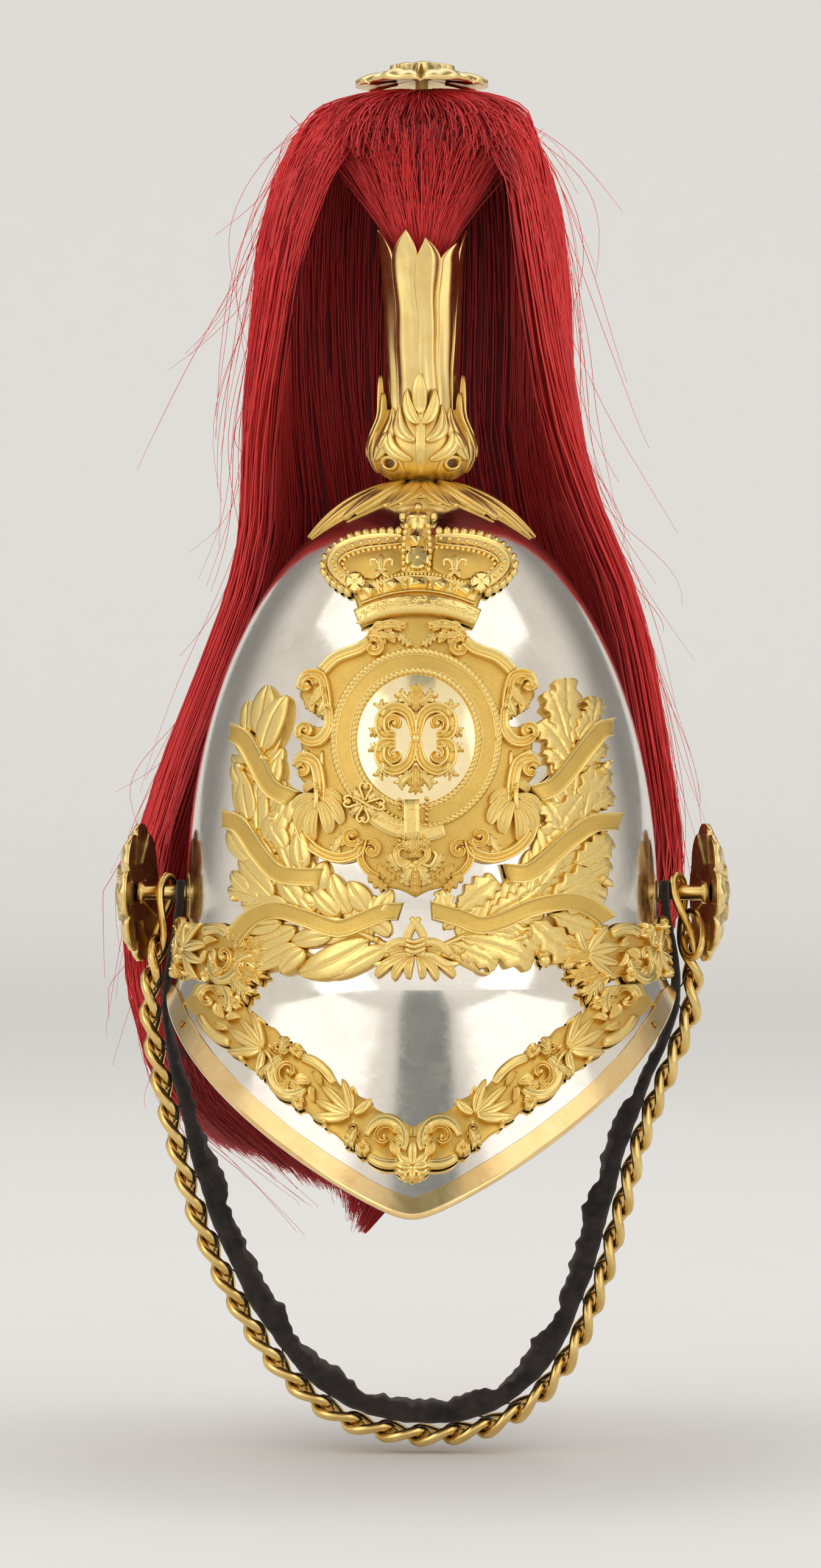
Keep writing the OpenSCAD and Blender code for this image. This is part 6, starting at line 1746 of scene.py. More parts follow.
def rosette_mesh(s, r, outer, inner, origin, frame_axes, depth, wave):
    """Rosette with its back at the origin and its face along the third of frame_axes."""
    t = np.linspace(0, 1, 72)[:, None]
    a = angles(288)[None]
    petal = np.abs(np.cos(outer * a / 2))
    frill = wave * np.cos(3 * outer * a) * petal
    rr = t * r * (1 - 0.13 * (1 - petal ** 0.5))
    u = np.clip((t - 0.42) / 0.58, 0, 1)
    bulge = np.sin(math.pi * np.clip(0.30 + 0.66 * u, 0, 1)) ** 0.7
    outer_h = depth * (0.16 + 0.46 * bulge * (0.30 + 0.70 * petal ** 0.4) + 0.05 * frill * u)
    outer_h = outer_h - 0.16 * depth * np.exp(-(petal / 0.14) ** 2) * u
    inner_petal = np.abs(np.cos(inner * a / 2 + 0.4))
    edge_at = 0.50 * (1 - 0.13 * (1 - inner_petal ** 0.5))
    w = np.clip(t / edge_at, 0, 1)
    swell = np.sin(math.pi * np.clip(0.22 + 0.62 * w, 0, 1))
    inner_h = depth * (0.72 + 0.28 * swell * (0.55 + 0.45 * inner_petal ** 0.5))
    inner_h = inner_h - 0.10 * depth * np.exp(-(inner_petal / 0.16) ** 2) * w
    centre_h = depth * (0.86 + 0.14 * np.sqrt(np.clip(1 - (t / 0.16) ** 2, 0, 1))) + 0 * a
    h = np.where(t < 0.16, np.maximum(centre_h, inner_h), np.where(t < edge_at, inner_h, outer_h))
    back = np.minimum(h - 1.0, depth * (0.40 - 0.34 * t))
    x, y, n = frame_axes

    def at(q, hh):
        c, d = (q * np.cos(a))[..., None], (q * np.sin(a))[..., None]
        return origin + c * x + d * y + hh[..., None] * n

    front = at(rr, h)
    rear = at(np.maximum(rr, 0.14 * r), np.maximum(0.2, back))
    shine = np.clip(0.25 + 0.8 * h / depth, 0, 1)
    s.grid(np.concatenate([rear, front[::-1]]), np.concatenate([0 * shine, shine[::-1]]), round_v=True,
           outward=False)


def top_rosette_piece():
    s = Shape((0, 0, 340))
    axes = (np.array([1.0, 0, 0]), np.array([0, 1.0, 0]), np.array([0, 0, 1.0]))
    low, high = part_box("top_rosette")
    back, depth = low[2] / MM, (high[2] - low[2]) / MM
    rosette_mesh(s, TOP_ROSETTE_R + 0.3, 6, 5, np.array([0, 0, back]), axes, depth, 1)
    s.build("top_rosette_petals", BURNISHED, "top_rosette", ["top_rosette"])


def ear_rosette_piece(side, name, node):
    s = Shape((side * 60, EAR_Y, EAR_Z))
    c, d = math.cos(math.radians(ROSETTE_TILT)), math.sin(math.radians(ROSETTE_TILT))
    n = np.array([side * c, d, 0])
    axes = (np.array([-side * d, c, 0]) * side, np.array([0, 0, 1.0]), n)
    origin = np.array([side * (EAR_X + 18.6), EAR_Y, EAR_Z])
    rosette_mesh(s, ROSETTE_R, 8, 6, origin, axes, 9.8, 1)
    x0, x1 = EAR_X + 2.0, EAR_X + 20.6
    a = angles(40)
    p = lambda x, r: np.stack([side * x + 0 * a, EAR_Y + r * np.cos(a), EAR_Z + r * np.sin(a)], 1)
    hub = np.stack([p(x0, 2.1), p(x0, 2.9), p(x0 + 0.3, 3.0), p(x1 - 2.4, 3.0), p(x1 - 1.6, 4.4),
                    p(x1, 4.6), p(x1, 2.1)])
    s.grid(hub, 0.5, round_u=True, round_v=True, outward=False)
    s.build(name, BURNISHED, "chin_chain", [node])


top_rosette_piece()
ear_rosette_piece(-1, "ear_rosette_left_petals", "ear_rosette_left")
ear_rosette_piece(1, "ear_rosette_right_petals", "ear_rosette_right")


# Chin chain: the same route as the CAD source

ROUTE = [
    (-94.8, 38.5), (-95.2, 28), (-97.4, 14), (-99.2, 4), (-100.6, -8), (-99.5, -22), (-94, -45),
    (-86, -72), (-77, -98), (-64, -125), (-48, -148), (-28, -164), (-4, -170), (20, -168), (38, -158),
    (52, -140), (62, -115), (69, -90), (76, -66), (85, -44), (93, -27), (98.6, -12), (99.4, 0),
    (97.8, 12), (95.2, 28), (94.8, 38.5),
]
STRAP_THIN = 3.2
CHAIN_AIR = 0.75
HUB_R = 3


strap_line = smooth(ROUTE, 3)
strap_run = runs(strap_line)
strap_len = strap_run[-1]


def strap_depth(s):
    """Thickness of the backing, thinner near its ends."""
    inside = np.clip((np.minimum(s, strap_len - s) - 60) / 60, 0, 1)
    return STRAP_THIN + (STRAP_T - STRAP_THIN) * inside


strap_out = courses(strap_line)[:, ::-1] * [-1, 1]
link_half_t = LINK_B * math.sin(LINK_TWIST) / 2 + WIRE_R
chain_line = strap_line - strap_out * (strap_depth(strap_run) / 2 + link_half_t + CHAIN_AIR)[:, None]
chain_run = runs(chain_line)
chain_len = chain_run[-1]
chain_at = lambda s: np.array([np.interp(s, chain_run, chain_line[:, 0]),
                               np.interp(s, chain_run, chain_line[:, 1])])
hub_run = ROUTE[0][1] - EAR_Z
loop_run = hub_run + math.sqrt((1 - ((HUB_R + WIRE_R + 0.6) / (LINK_B * math.cos(LINK_TWIST / 2))) ** 2)
                               * (END_A ** 2 - LINK_B ** 2))
first_link = loop_run + END_A - LINK_A + LINK_PITCH
link_count = math.floor((chain_len - 2 * first_link) / LINK_PITCH) + 1
link_step = (chain_len - 2 * first_link) / (link_count - 1)


def chain_link(s, run, a, b, rings=40, wire=WIRE_R):
    c = chain_at(run)
    d = chain_at(run + 3) - chain_at(run - 3)
    d = d / np.linalg.norm(d)
    t, n = np.array([d[0], 0, d[1]]), np.array([d[1], 0, -d[0]])
    o = np.array([c[0], EAR_Y, c[1]])
    u = angles(rings)
    w = LINK_TWIST * np.cos(u)
    y = b * np.sin(u)
    path = o + np.outer(a * np.cos(u), t) + np.outer(y * np.cos(w), [0, 1, 0])
    path = path + np.outer(y * np.sin(w), n)
    tube(s, path, wire, 12, closed=True, inner=o)


def chain_pieces():
    s = Shape()
    for k in range(link_count):
        chain_link(s, first_link + k * link_step, LINK_A, LINK_B, 40, 1.22 * WIRE_R)
    s.build("chain_links_twisted", CHAIN_GILT, "chin_chain", ["chain_links"])
    s = Shape()
    for run in (loop_run, chain_len - loop_run):
        chain_link(s, run, END_A, LINK_B, 56)
    s.build("chain_end_loops_twisted", CHAIN_GILT, "chin_chain", ["chain_end_loops"])
    s = Shape()
    u = angles(48)
    turn = (Matrix.Rotation(math.radians(-57), 3, "X") @ Matrix.Rotation(math.radians(-6), 3, "Y")
            @ Matrix.Rotation(math.radians(37), 3, "Z"))
    flat = np.stack([0 * u, 5.8 * np.sin(u), 14.5 * np.cos(u)], 1)
    origin = np.array([EAR_X + 18.6 - 4.16, EAR_Y - 12.5, EAR_Z - 16])
    tube(s, flat @ np.array(turn).T + origin, 1.4, 12, closed=True, inner=origin)
    s.build("chain_spare_ring", CHAIN_GILT, "chin_chain", ["chain_end_ring"])


def strap_point(run, across, out):
    """Points of the strap: across in y from its middle and out towards the chain."""
    x = np.interp(run, strap_run, strap_line[:, 0])
    z = np.interp(run, strap_run, strap_line[:, 1])
    ox = np.interp(run, strap_run, strap_out[:, 0])
    oz = np.interp(run, strap_run, strap_out[:, 1])
    return np.stack(np.broadcast_arrays(x - ox * out, EAR_Y + across, z - oz * out), -1)


def lumps(run, a, seed):
    """Soft unevenness of the padding, from -1 to 1."""
    rng = np.random.default_rng(seed)
    total = 0 * run
    for wave in (47, 31, 19, 11, 7.3, 4.9):
        turn = TAU * run / wave + rng.uniform(0, TAU) + rng.integers(0, 3) * a
        total = total + wave ** 0.5 * np.sin(turn)
    return total / 14


def backing():
    s = Shape()
    run = np.linspace(0.2, strap_len - 0.2, 520)[:, None]
    a = angles(28)[None]
    half = strap_depth(run) / 2
    puff = lumps(run, a, 11)
    seam = 1 - 0.10 * np.abs(np.sin(math.pi * run / 6.5)) ** 6
    c, d = np.cos(a), np.sin(a)
    across = STRAP_W / 2 * np.sign(c) * np.abs(c) ** 0.6 * seam * (1 + 0.03 * puff)
    fat = np.where(d < 0, 1.12 + 0.42 * puff, 1 + 0.08 * puff) * (0.98 + 0.06 * np.sin(run / 5.3))
    out = half * np.sign(d) * np.abs(d) ** 0.7 * fat
    p = strap_point(run, across, out)
    p = np.concatenate([strap_point(run[:1], 0 * a, 0 * a), p, strap_point(run[-1:], 0 * a, 0 * a)])
    s.grid(p, 0.5, round_v=True, outward=False)
    pad = s.build("chain_backing_velvet", VELVET, "chin_chain", ["chain_backing"])


def stitches():
    """Black thread looped through the links and the edge of the backing."""
    s = Shape()
    rng = np.random.default_rng(23)
    for k in range(link_count):
        if k % 2 and rng.random() < 0.35:
            continue
        run = first_link + (k + 0.5) * link_step
        at = np.interp(run, chain_run, strap_run)
        slack = rng.uniform(0.1, 0.7)
        half = float(strap_depth(at)) / 2
        u = np.linspace(0, 1, 18)
        across = 2.4 + 4.6 * np.sin(math.pi * u) + 0.4 * rng.normal()
        out = half * 0.1 + (half + 2 * CHAIN_AIR + 1.2 + slack) * u
        p = strap_point(at + 3.5 * np.sin(TAU * u) * rng.choice([-1, 1]) * 0.6, -across, out)
        tube(s, p, 0.32, 6, burnish=0.3)
        if rng.random() < 0.3:
            end = strap_point(at + np.linspace(0, rng.uniform(2, 5), 8),
                              -(6.5 + 1.5 * np.linspace(0, 1, 8) ** 2), half * np.linspace(0.2, -0.9, 8))
            tube(s, end, 0.22, 5, burnish=0.3)
    s.build("chain_stitches", BLACK_THREAD, "chin_chain", ())


chain_pieces()
backing()
stitches()


# Hair: the curtain follows the CAD source's table of rows, a little narrower at the left

HAIR_ROWS = np.array([
    (346, 6, 6, 0, 6, 150, 150), (342, 28, 25, 1, 22, 146, 146), (332, 46, 40, 2, 36, 142, 142),
    (315, 56, 50, 4, 48, 136, 136), (285, 64, 56, 7, 56, 127, 127), (250, 67, 58, 11, 59, 116, 116),
    (215, 70, 61, 20, 61, 102, 102), (180, 71, 72, 29, 63, 92, 92), (150, 78, 85, 38, 66, 90, 90),
    (115, 92, 93, 47, 69, 90, 90), (75, 108, 100, 57, 73, 90, 86), (35, 119, 108, 66, 74, 90, 72),
    (0, 120, 112, 74, 78, 90, 54), (-35, 113, 112, 90, 74, 88, 24), (-55, 104, 110, 104, 64, 80, 8),
    (-75, 88, 100, 116, 56, 60, -4), (-98, 80, 90, 120, 52, 36, -22)], float)
LAST_ROW = len(HAIR_ROWS) - 1


def hair_point(t, side, inward):
    """Point of the curtain: t counts rows down, side runs from -1 to 1, inward is in from its face."""
    t, side, inward = np.broadcast_arrays(np.asarray(t, float), side, inward)
    i = np.clip(np.floor(t).astype(int), 0, LAST_ROW - 1)
    f = (t - i)[..., None]
    p0, p1 = HAIR_ROWS[np.maximum(i - 1, 0)], HAIR_ROWS[i]
    p2, p3 = HAIR_ROWS[i + 1], HAIR_ROWS[np.minimum(i + 2, LAST_ROW)]
    row = 0.5 * (2 * p1 + (p2 - p0) * f + (2 * p0 - 5 * p1 + 4 * p2 - p3) * f ** 2
                 + (3 * p1 - p0 - 3 * p2 + p3) * f ** 3)
    middle, half = (row[..., 2] - row[..., 1]) / 2, (row[..., 1] + row[..., 2]) / 2
    b = np.radians((row[..., 6] - row[..., 5]) / 2 + side * (row[..., 6] + row[..., 5]) / 2)
    x = middle + (half - inward) * np.sin(b)
    y = row[..., 3] + (row[..., 4] - inward) * np.cos(b)
    return np.stack([x, y, row[..., 0]], -1)


def hair_depth(t):
    grow = np.clip((t - 0.8) / 3, 0, 1)
    end = np.clip(0.8 - 0.2 * (t - (LAST_ROW - 3)), 0, 1)
    return HAIR_T * np.where(t > LAST_ROW - 3, np.minimum(grow, end), grow)


def strands(s, paths, radius, ends=(0.8, 0.25), lit=1.0):
    """Three-sided strands along many paths of shape (strands, rings, 3), painted darker as painted shade
    where lit is low.
    """
    d = unit(np.gradient(paths, axis=1))
    side = unit(np.cross(d, [0.3, 0.9, 0.2]))
    up = np.cross(side, d)
    n = paths.shape[1]
    taper = np.interp(np.linspace(0, 1, n), [0, 0.1, 0.7, 1], [ends[0], 1, 0.9, ends[1]])
    r = (np.asarray(radius)[:, None] * taper)[..., None, None]
    a = np.arange(3) * TAU / 3
    across = side[:, :, None] * np.cos(a)[:, None] + up[:, :, None] * np.sin(a)[:, None]
    s.many(paths[:, :, None] + r * across, lit)


def locks(rng, count):
    """Sideways drift shared by strands that lie near each other, as a function of row and side."""
    phase = rng.uniform(0, TAU, (count, 2))
    pull = rng.uniform(0.006, 0.02, count)
    wave = rng.integers(5, 26, count)

    def drift(t, where):
        total = 0 * t * where
        for k in range(count):
            total = total + pull[k] * np.sin(wave[k] * where + phase[k, 0]) * np.sin(0.33 * t + phase[k, 1])
        return total
    return drift


def opening(t):
    """Share of the curtain's sweep that its hair covers: it parts wider over the fan."""
    return 1 - 0.085 * np.exp(-((t - 2.3) / 1.5) ** 2)


FALL_STRANDS = 5800
FALL_RINGS = 17
LOOSE_ROW = 13        # row below which the strands hang apart
TAIL_DROP = 13        # how far the loosest tips hang below their row


def fall_strands():
    rng = np.random.default_rng(71)
    drift = locks(rng, 10)
    n = FALL_STRANDS
    side = np.sort(rng.uniform(-1, 1, n))
    layer = rng.random(n) ** 1.6
    over = rng.random(n) < 0.10
    start = rng.uniform(0.15, 1.4, n)
    finish = LAST_ROW + 0.25 - 0.75 * (1 - side) - rng.exponential(0.35, n)
    finish = np.clip(np.where(rng.random(n) < 0.12, finish - rng.uniform(0, 4, n), finish), 9,
                     LAST_ROW + 0.25)
    ragged = rng.uniform(0, 0.3, n) * (finish > LAST_ROW - 0.6)
    step = np.linspace(0, 1, FALL_RINGS)[None, :] ** 0.93
    t = start[:, None] + (finish - start - ragged)[:, None] * step
    s0 = side[:, None] + drift(t, side[:, None]) + rng.normal(0, 0.006, (n, 1)) * t
    s0 = s0 + 0.0035 * np.sin(rng.uniform(0.5, 1.6, (n, 1)) * t + rng.uniform(0, TAU, (n, 1)))
    s0 = s0 + rng.normal(0, 0.16, (n, 1)) * np.clip((t - LOOSE_ROW + 1) / 4, 0, 1) ** 2
    loose = np.clip((t - LOOSE_ROW) / 3, 0, 1)
    s0 = np.clip(s0, -1.03 - 0.3 * loose, 1.03) * opening(t)
    depth = layer[:, None] * np.maximum(hair_depth(t) - 0.6, 0.2)
    stand = np.where(over, rng.uniform(-1.6, -0.3, n), 0.0)[:, None] * np.clip(step * 3, 0, 1)
    paths = hair_point(t, s0, depth + stand + 0.3)
    paths[..., 2] -= TAIL_DROP * loose ** 2
    radius = rng.uniform(0.28, 0.50, n)
    # painted shade: strands deeper in the curtain are painted darker, times a random tone per strand
    lit = np.clip(1.45 - 1.1 * layer, 0.4, 1) * rng.uniform(0.6, 1, n)
    for k, part in enumerate(np.array_split(np.arange(n), 4)):
        s = Shape()
        strands(s, paths[part], radius[part], lit=lit[part])
        s.build(f"hair_fall_strands_{k}", HAIR, "plume", ["hair_fall"] if k == 0 else [])


def fall_mass():
    s = Shape()
    t = np.linspace(0.25, LAST_ROW - 0.55, 90)[:, None]
    side = np.linspace(-1, 1, 141)[None, :]
    fringe = 0.45 * np.sin(61 * side) * np.sin(17 * side + 1) * np.clip((t - LAST_ROW + 4) / 4, 0, 1) ** 2
    tt = np.clip(t + fringe - 0.3 * np.clip((t - LAST_ROW + 4) / 4, 0, 1), 0.2, LAST_ROW - 0.3)
    groove = 0.9 * np.abs(np.sin(38 * side + 1.4 * np.sin(9 * side) + 0.35 * t))
    groove = groove + 0.5 * np.sin(97 * side + 0.6 * t)
    side = side * opening(tt)
    outer = hair_point(tt, side * 0.985, 1.6 + 0.8 * groove * np.clip(t, 0, 1))
    inner = hair_point(tt, side * 0.985, np.maximum(2.6, hair_depth(tt) - 1.2 - 0.8 * groove))
    # painted shade: the inner face gets 0, so it is painted darker
    light = np.concatenate([np.ones(outer.shape[:2]), np.zeros(inner.shape[:2])])
    s.grid(np.concatenate([outer, inner[::-1]]), light, round_u=True, outward=False)
    s.build("hair_fall_depth", HAIR_DEPTH, "plume", ())


def fan_radius(t):
    return np.interp(t, [0, 0.15, 0.35, 0.55, 0.78, 1], [6.4, 9.0, 15.4, 23.0, 31.0, 37.0])


FAN_Z0 = HOLDER_Z + 68.3
FAN_Z1 = PLUME_TOP - 15
FAN_DEEP = 0.84       # its depth from front to back, as a share of its width


def fan_strands():
    """Hair that fans out of the holder into a brush with loose, crossing tips."""
    rng = np.random.default_rng(37)
    n = 3000
    a = rng.uniform(0, TAU, n)[:, None]
    share = rng.uniform(0.12, 1.0, n)[:, None] ** 0.55
    t = np.linspace(0, 1, 14)[None, :]
    end = rng.uniform(0.84, 1.10, n)[:, None] * (1 - 0.12 * share ** 3)
    r = fan_radius(np.clip(t * end, 0, 1)) * share
    tangle = rng.normal(0, 0.20, (n, 1)) * t ** 1.5 + 0.05 * np.sin(5 * a) * t
    twist = a + tangle + 0.04 * np.sin(6 * t + rng.uniform(0, TAU, (n, 1)))
    z = FAN_Z0 + (FAN_Z1 - FAN_Z0) * t * end * (1 + 0.03 * (1 - share))
    stray = rng.random(n)[:, None] < 0.2
    bend = np.where(stray, rng.normal(0, 7, (n, 1)), rng.normal(0, 1.2, (n, 1))) * t ** 2.4
    p = np.stack([r * np.sin(twist) + bend, -FAN_DEEP * r * np.cos(twist), z + 0.4 * np.abs(bend)], -1)
    # painted shade: strands nearer the fan's axis are painted darker, with a random spread
    lit = np.clip(0.15 + 0.8 * share[:, 0] + rng.normal(0, 0.15, n), 0.1, 1)
    radius = rng.uniform(0.18, 0.34, n)
    for k, part in enumerate(np.array_split(np.arange(n), 2)):
        s = Shape((0, 0, 300))
        strands(s, p[part], radius[part], (0.8, 0.5), lit[part])
        s.build(f"hair_fan_strands_{k}", HAIR, "plume", ["hair_fan"] if k == 0 else [])


def fan_mass():
    s = Shape((0, 0, 300))
    t = np.linspace(0, 0.97, 30)[:, None]
    a = angles(96)[None]
    groove = 0.05 * np.sin(23 * a + 2 * t) + 0.04 * np.sin(41 * a - t)
    r = (fan_radius(t) - 1.5) * (0.82 + groove)
    p = about(r, a, FAN_Z0 + (FAN_Z1 - FAN_Z0) * t, FAN_DEEP)
    top = p[-1:] * [0.5, 0.5, 1] - [0, 0, 3]
    cap = p[-1:] * [0.02, 0.02, 1] - [0, 0, 12]
    low = p[:1] * [0.5, 0.5, 1]
    s.grid(np.concatenate([low, p, top, cap]), 0.3, round_v=True, outward=False)
    s.build("hair_fan_depth", HAIR_DEPTH, "plume", ())


def arch(rng, n, side, reach, top, drop, tail):
    """Paths from the parting at the rod, sideways over the fan and on to the curtain's front edge."""
    t = np.linspace(0, 1, 18)[None, :]
    out = reach[0] + (reach[1] - reach[0]) * rng.beta(1.7, 1.2, (n, 1))
    high = top - rng.uniform(0, 7, n)[:, None] * (out / reach[1])
    swing = np.clip(t / 0.5, 0, 1)
    a = swing * math.pi / 2 * rng.uniform(0.92, 1.0, (n, 1))
    x = 0.4 + out * np.sin(a) ** 0.92
    z = high - rng.uniform(*drop, n)[:, None] * (1 - np.cos(a))
    y = -4 - rng.uniform(5, 22, n)[:, None] * np.sin(a) ** 0.7
    wave = 0.7 * np.sin(7 * t + rng.uniform(0, TAU, (n, 1))) * t
    over = np.stack([side * (x + wave), y, z + 0.5 * wave], -1)
    if tail is None:
        return over
    share = np.clip((out - 28) / 20, 0, 1)
    row = 1.6 + np.clip((t - 0.25) / 0.75, 0, 1) * (tail + 1.6)
    fringe = 1.0 - 0.13 * share + rng.normal(0, 0.012, (n, 1))
    fringe = fringe * (1 - 0.05 * np.exp(-((row - 3) / 1.5) ** 2))
    down = hair_point(np.clip(row, 1, LAST_ROW - 1), side * fringe,
                      rng.uniform(-0.5, 5, (n, 1)) + 2 * (1 - share))
    down = down + np.stack([side * wave, 0 * wave, 0 * wave], -1)
    blend = np.clip((t - 0.28) / 0.40, 0, 1)[..., None]
    blend = blend * blend * (3 - 2 * blend)
    return over * (1 - blend) + down * blend


def crown_strands():
    """Hair that parts in front of the rod, under the top rosette, and frames the fan."""
    rng = np.random.default_rng(41)
    for side in (-1, 1):
        s = Shape((0, 0, 300))
        n = 1050
        p = arch(rng, n, side, (29, 48), PLUME_TOP - 1.0, (18, 44),
                 np.minimum(rng.exponential(2.6, (n, 1)) + 0.4, 8))
        # painted shade: strands that arch nearer the middle are painted darker, times a random tone
        inner = np.clip((np.abs(p[:, 9, 0]) - 27) / 14, 0.15, 1)
        strands(s, p, rng.uniform(0.22, 0.40, n), (0.8, 0.3), inner * rng.uniform(0.6, 1, n))
        n = 440
        p = arch(rng, n, side, (6, 36), PLUME_TOP - 1.5, (6, 26), None)
        # painted shade: these short inner strands are painted darker, by a random amount
        strands(s, p, rng.uniform(0.20, 0.34, n), (0.8, 0.4), rng.uniform(0.3, 0.9, n))
        s.build("hair_crown_left" if side < 0 else "hair_crown_right", HAIR, "plume", ())
    s = Shape((0, 0, 300))
    n = 320
    t = np.linspace(0, 1, 12)[None, :]
    x = rng.normal(0, 1.6, (n, 1)) + rng.normal(0, 9, (n, 1)) * t ** 1.3
    y = -3 - rng.uniform(8, 24, (n, 1)) * np.sin(1.5 * t)
    z = PLUME_TOP - 1.2 - rng.uniform(5, 17, (n, 1)) * t ** 1.6
    # painted shade: the strands in front of the rod under the rosette are painted darker, by a random
    # amount
    strands(s, np.stack([x, y, z], -1), rng.uniform(0.2, 0.36, n), (0.8, 0.4), rng.uniform(0.1, 0.7, n))
    n = 700
    b = rng.uniform(-1.9, 1.9, n)[:, None]
    t = np.linspace(0, 1, 13)[None, :]
    r1 = rng.uniform(8, 26, n)[:, None]
    r = 4 + r1 * np.sin(math.pi / 2 * t)
    z = PLUME_TOP - 0.8 - rng.uniform(0, 3, (n, 1)) - (r1 * 0.16) * t ** 2
    z = z - 9 * t ** 3 * rng.uniform(0.1, 1, (n, 1))
    strands(s, np.stack([r * np.sin(b), 1 + 0.9 * r * np.cos(b), z], -1), rng.uniform(0.24, 0.40, n))
    s.build("hair_crown_strands", HAIR, "plume", ())


STRAY_HAIRS = 250
STRAY_BOX = (-131, -60, -118), (129, 186, 352)      # no stray hair reaches past it


def wisps():
    """Stray hairs that stand away from the curtain."""
    rng = np.random.default_rng(97)
    n = STRAY_HAIRS
    s = Shape()
    t = np.linspace(0, 1, 24)[None, :]
    side = np.where(rng.random(n) < 0.86, rng.choice([-1, 1], n) * rng.uniform(0.55, 1.0, n),
                    rng.uniform(-1, 1, n))[:, None]
    start = rng.uniform(0.3, 13, n)[:, None]
    length = rng.uniform(1.4, 5.0, n)[:, None]
    row = np.clip(start + length * t, 0, LAST_ROW - 0.05)
    away = rng.gamma(1.5, 5.2, (n, 1)) * t ** rng.uniform(1.1, 2.6, (n, 1))
    base = hair_point(row, side, 0.4)
    out = hair_point(row, side, -1.0) - hair_point(row, side, 0.0)
    p = base + out * away[..., None]
    p[..., 2] += rng.normal(0, 9, (n, 1)) * t ** 2
    p[..., 1] -= np.abs(rng.normal(0, 6, (n, 1))) * t ** 2
    curl = rng.normal(0, 1, (n, 1)) * 5.0 * np.sin(2.2 * math.pi * t * rng.uniform(0.4, 1.1, (n, 1)))
    p[..., 0] += curl * t
    p = np.clip(p, *STRAY_BOX)
    strands(s, p, rng.uniform(0.10, 0.17, n), (1, 0.5))
    s.build("hair_wisps", HAIR, "plume", ())


def binding():
    s = Shape((0, 0, 257))
    z0, z1 = HOLDER_Z + 42, HOLDER_Z + 68
    turns = 26
    z = np.linspace(z0, z1, turns * 6 + 1)
    a = angles(48)[None]
    bump = 0.32 * np.abs(np.sin(math.pi * turns * (z[:, None] - z0) / (z1 - z0) + 0.5 * a))
    r = np.interp(z, [z0, z0 + 8, z1 - 4, z1], [7.2, 7.9, 7.9, 7.3])[:, None] + bump
    outer = np.stack([r * np.sin(a), r * np.cos(a), z[:, None] + 0 * a], -1)
    inner = lambda zz: np.stack([2.7 * np.sin(a), 2.7 * np.cos(a), zz + 0 * a], -1)
    s.grid(np.concatenate([inner(z0), outer, inner(z1)]), 0.3, round_u=True, round_v=True, outward=False)
    s.build("plume_binding_thread", RED_THREAD, "plume", ["plume_binding"])


fall_mass()
fall_strands()
fan_mass()
fan_strands()
crown_strands()
wisps()
binding()


# Leather lining

LINER_GAP = 6
LEATHER_T = 1.6
SWEATBAND_H = 34


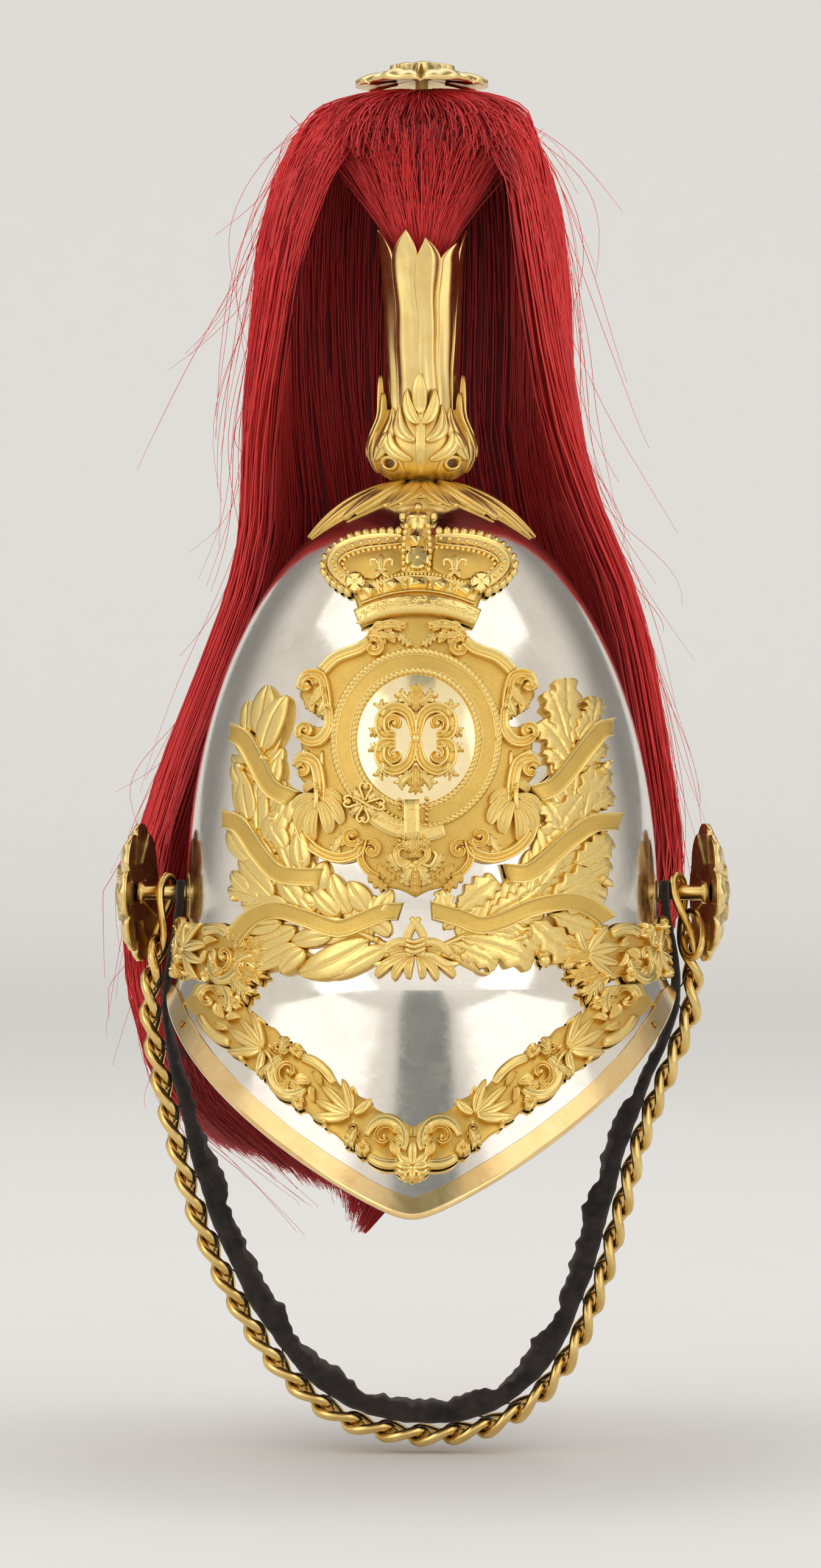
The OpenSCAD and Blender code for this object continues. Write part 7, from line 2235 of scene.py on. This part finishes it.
def sweatband_piece():
    s = Shape()
    z = np.linspace(2.2, 2 + SWEATBAND_H, 30)
    a = angles(240)
    taper = (z - 2) / SWEATBAND_H
    rim = RIM_A - METAL_T - LINER_GAP - SKIRT_FLARE * taper
    soft = 0.35 * np.sin(9 * a)[None] * np.sin(math.pi * taper)[:, None] + 0.2 * np.sin(23 * a + 1)[None]
    roll = 0.5 * np.exp(-(((z - 3.4) / 1.2) ** 2))[:, None]
    ring = lambda off: about(rim[:, None] + off, a, z[:, None], SKULL_K)
    s.grid(np.concatenate([ring(-0.1 + soft * 0.5 + roll * 0.3),
                           ring(-LEATHER_T + 0.1 + soft - roll)[::-1]]), 0.4,
           round_u=True, round_v=True, outward=False)
    s.build("sweatband_leather", LEATHER, "helmet", ["sweatband"])
    s = Shape()
    for zz in (5.4, SWEATBAND_H - 1.0):
        for k in range(150):
            b = TAU * k / 150 + np.linspace(-0.012, 0.012, 4)
            w = RIM_A - METAL_T - LINER_GAP - SKIRT_FLARE * (zz - 2) / SWEATBAND_H - LEATHER_T - 0.05
            bow = 0.12 * np.array([0.0, 1, 1, 0])
            tube(s, about(w - bow, b, zz, SKULL_K), 0.2, 5, inner=np.array([0, 0, zz]))
    s.build("sweatband_stitches", LACE, "helmet", ())


def tongue_pieces():
    s = Shape()
    z0, tip, count = SWEATBAND_H + 2.3, 112, 8
    half = 168 / count
    w = SKULL_A - METAL_T - LINER_GAP
    for k in range(count):
        a0 = TAU * (k + 0.5) / count
        t = np.linspace(0, 1, 30)[:, None]
        v = np.linspace(-1, 1, 19)[None, :]
        scale = 1 - 0.62 * t * t
        blunt = 1 - 0.10 * np.clip((t - 0.9) / 0.1, 0, 1) ** 2 * np.abs(v)
        wide = np.radians(half * (1 - 0.62 * t ** 3) * blunt)
        z = z0 + (tip - z0) * np.sin(math.pi / 2 * t)
        ripple = 0.25 * np.sin(7 * t + 3 * v + k) + 0.5 * (v ** 2) * t
        def at(o):
            r = (w - o - ripple) * scale
            return about(r, a0 + v * wide, z - (o + ripple) * t, SKULL_K)
        outer, inner = at(0.1), at(LEATHER_T - 0.1)
        s.grid(np.concatenate([outer, inner[::-1]]), 0.4, round_u=True, outward=False)
    s.build("liner_tongues_leather", LEATHER, "helmet", ["liner_tongues"])


def lace_piece():
    s = Shape((0, 0, 108))
    a = angles(160)
    r = (SKULL_A - METAL_T - LINER_GAP) * 0.38 + 3 + 0.25 * np.sin(16 * a)
    z = 112 - 2 * LEATHER_T - 1.1 + 0.1 * np.sin(16 * a + 1)
    p = np.stack([r * np.sin(a), SKULL_K * r * np.cos(a), z], 1)
    tube(s, p, 0.95 + 0.1 * np.sin(40 * a), 8, closed=True, inner=np.array([0, 0, 108.0]))
    s.build("liner_lace_cord", LACE, "helmet", ["liner_lace"])


sweatband_piece()
tongue_pieces()
lace_piece()


# CAD nodes that keep their shape

KEPT = ("edging_rivets", "badge_posts", "badge_nuts", "socket_tube", "crown_washer", "crown_nut",
        "ear_stud_left", "ear_stud_right", "ear_stud_nuts", "plume_rod")
for name in KEPT:
    mesh = bpy.data.objects[name].data
    mesh.materials.clear()
    mesh.materials.append(BRASS)
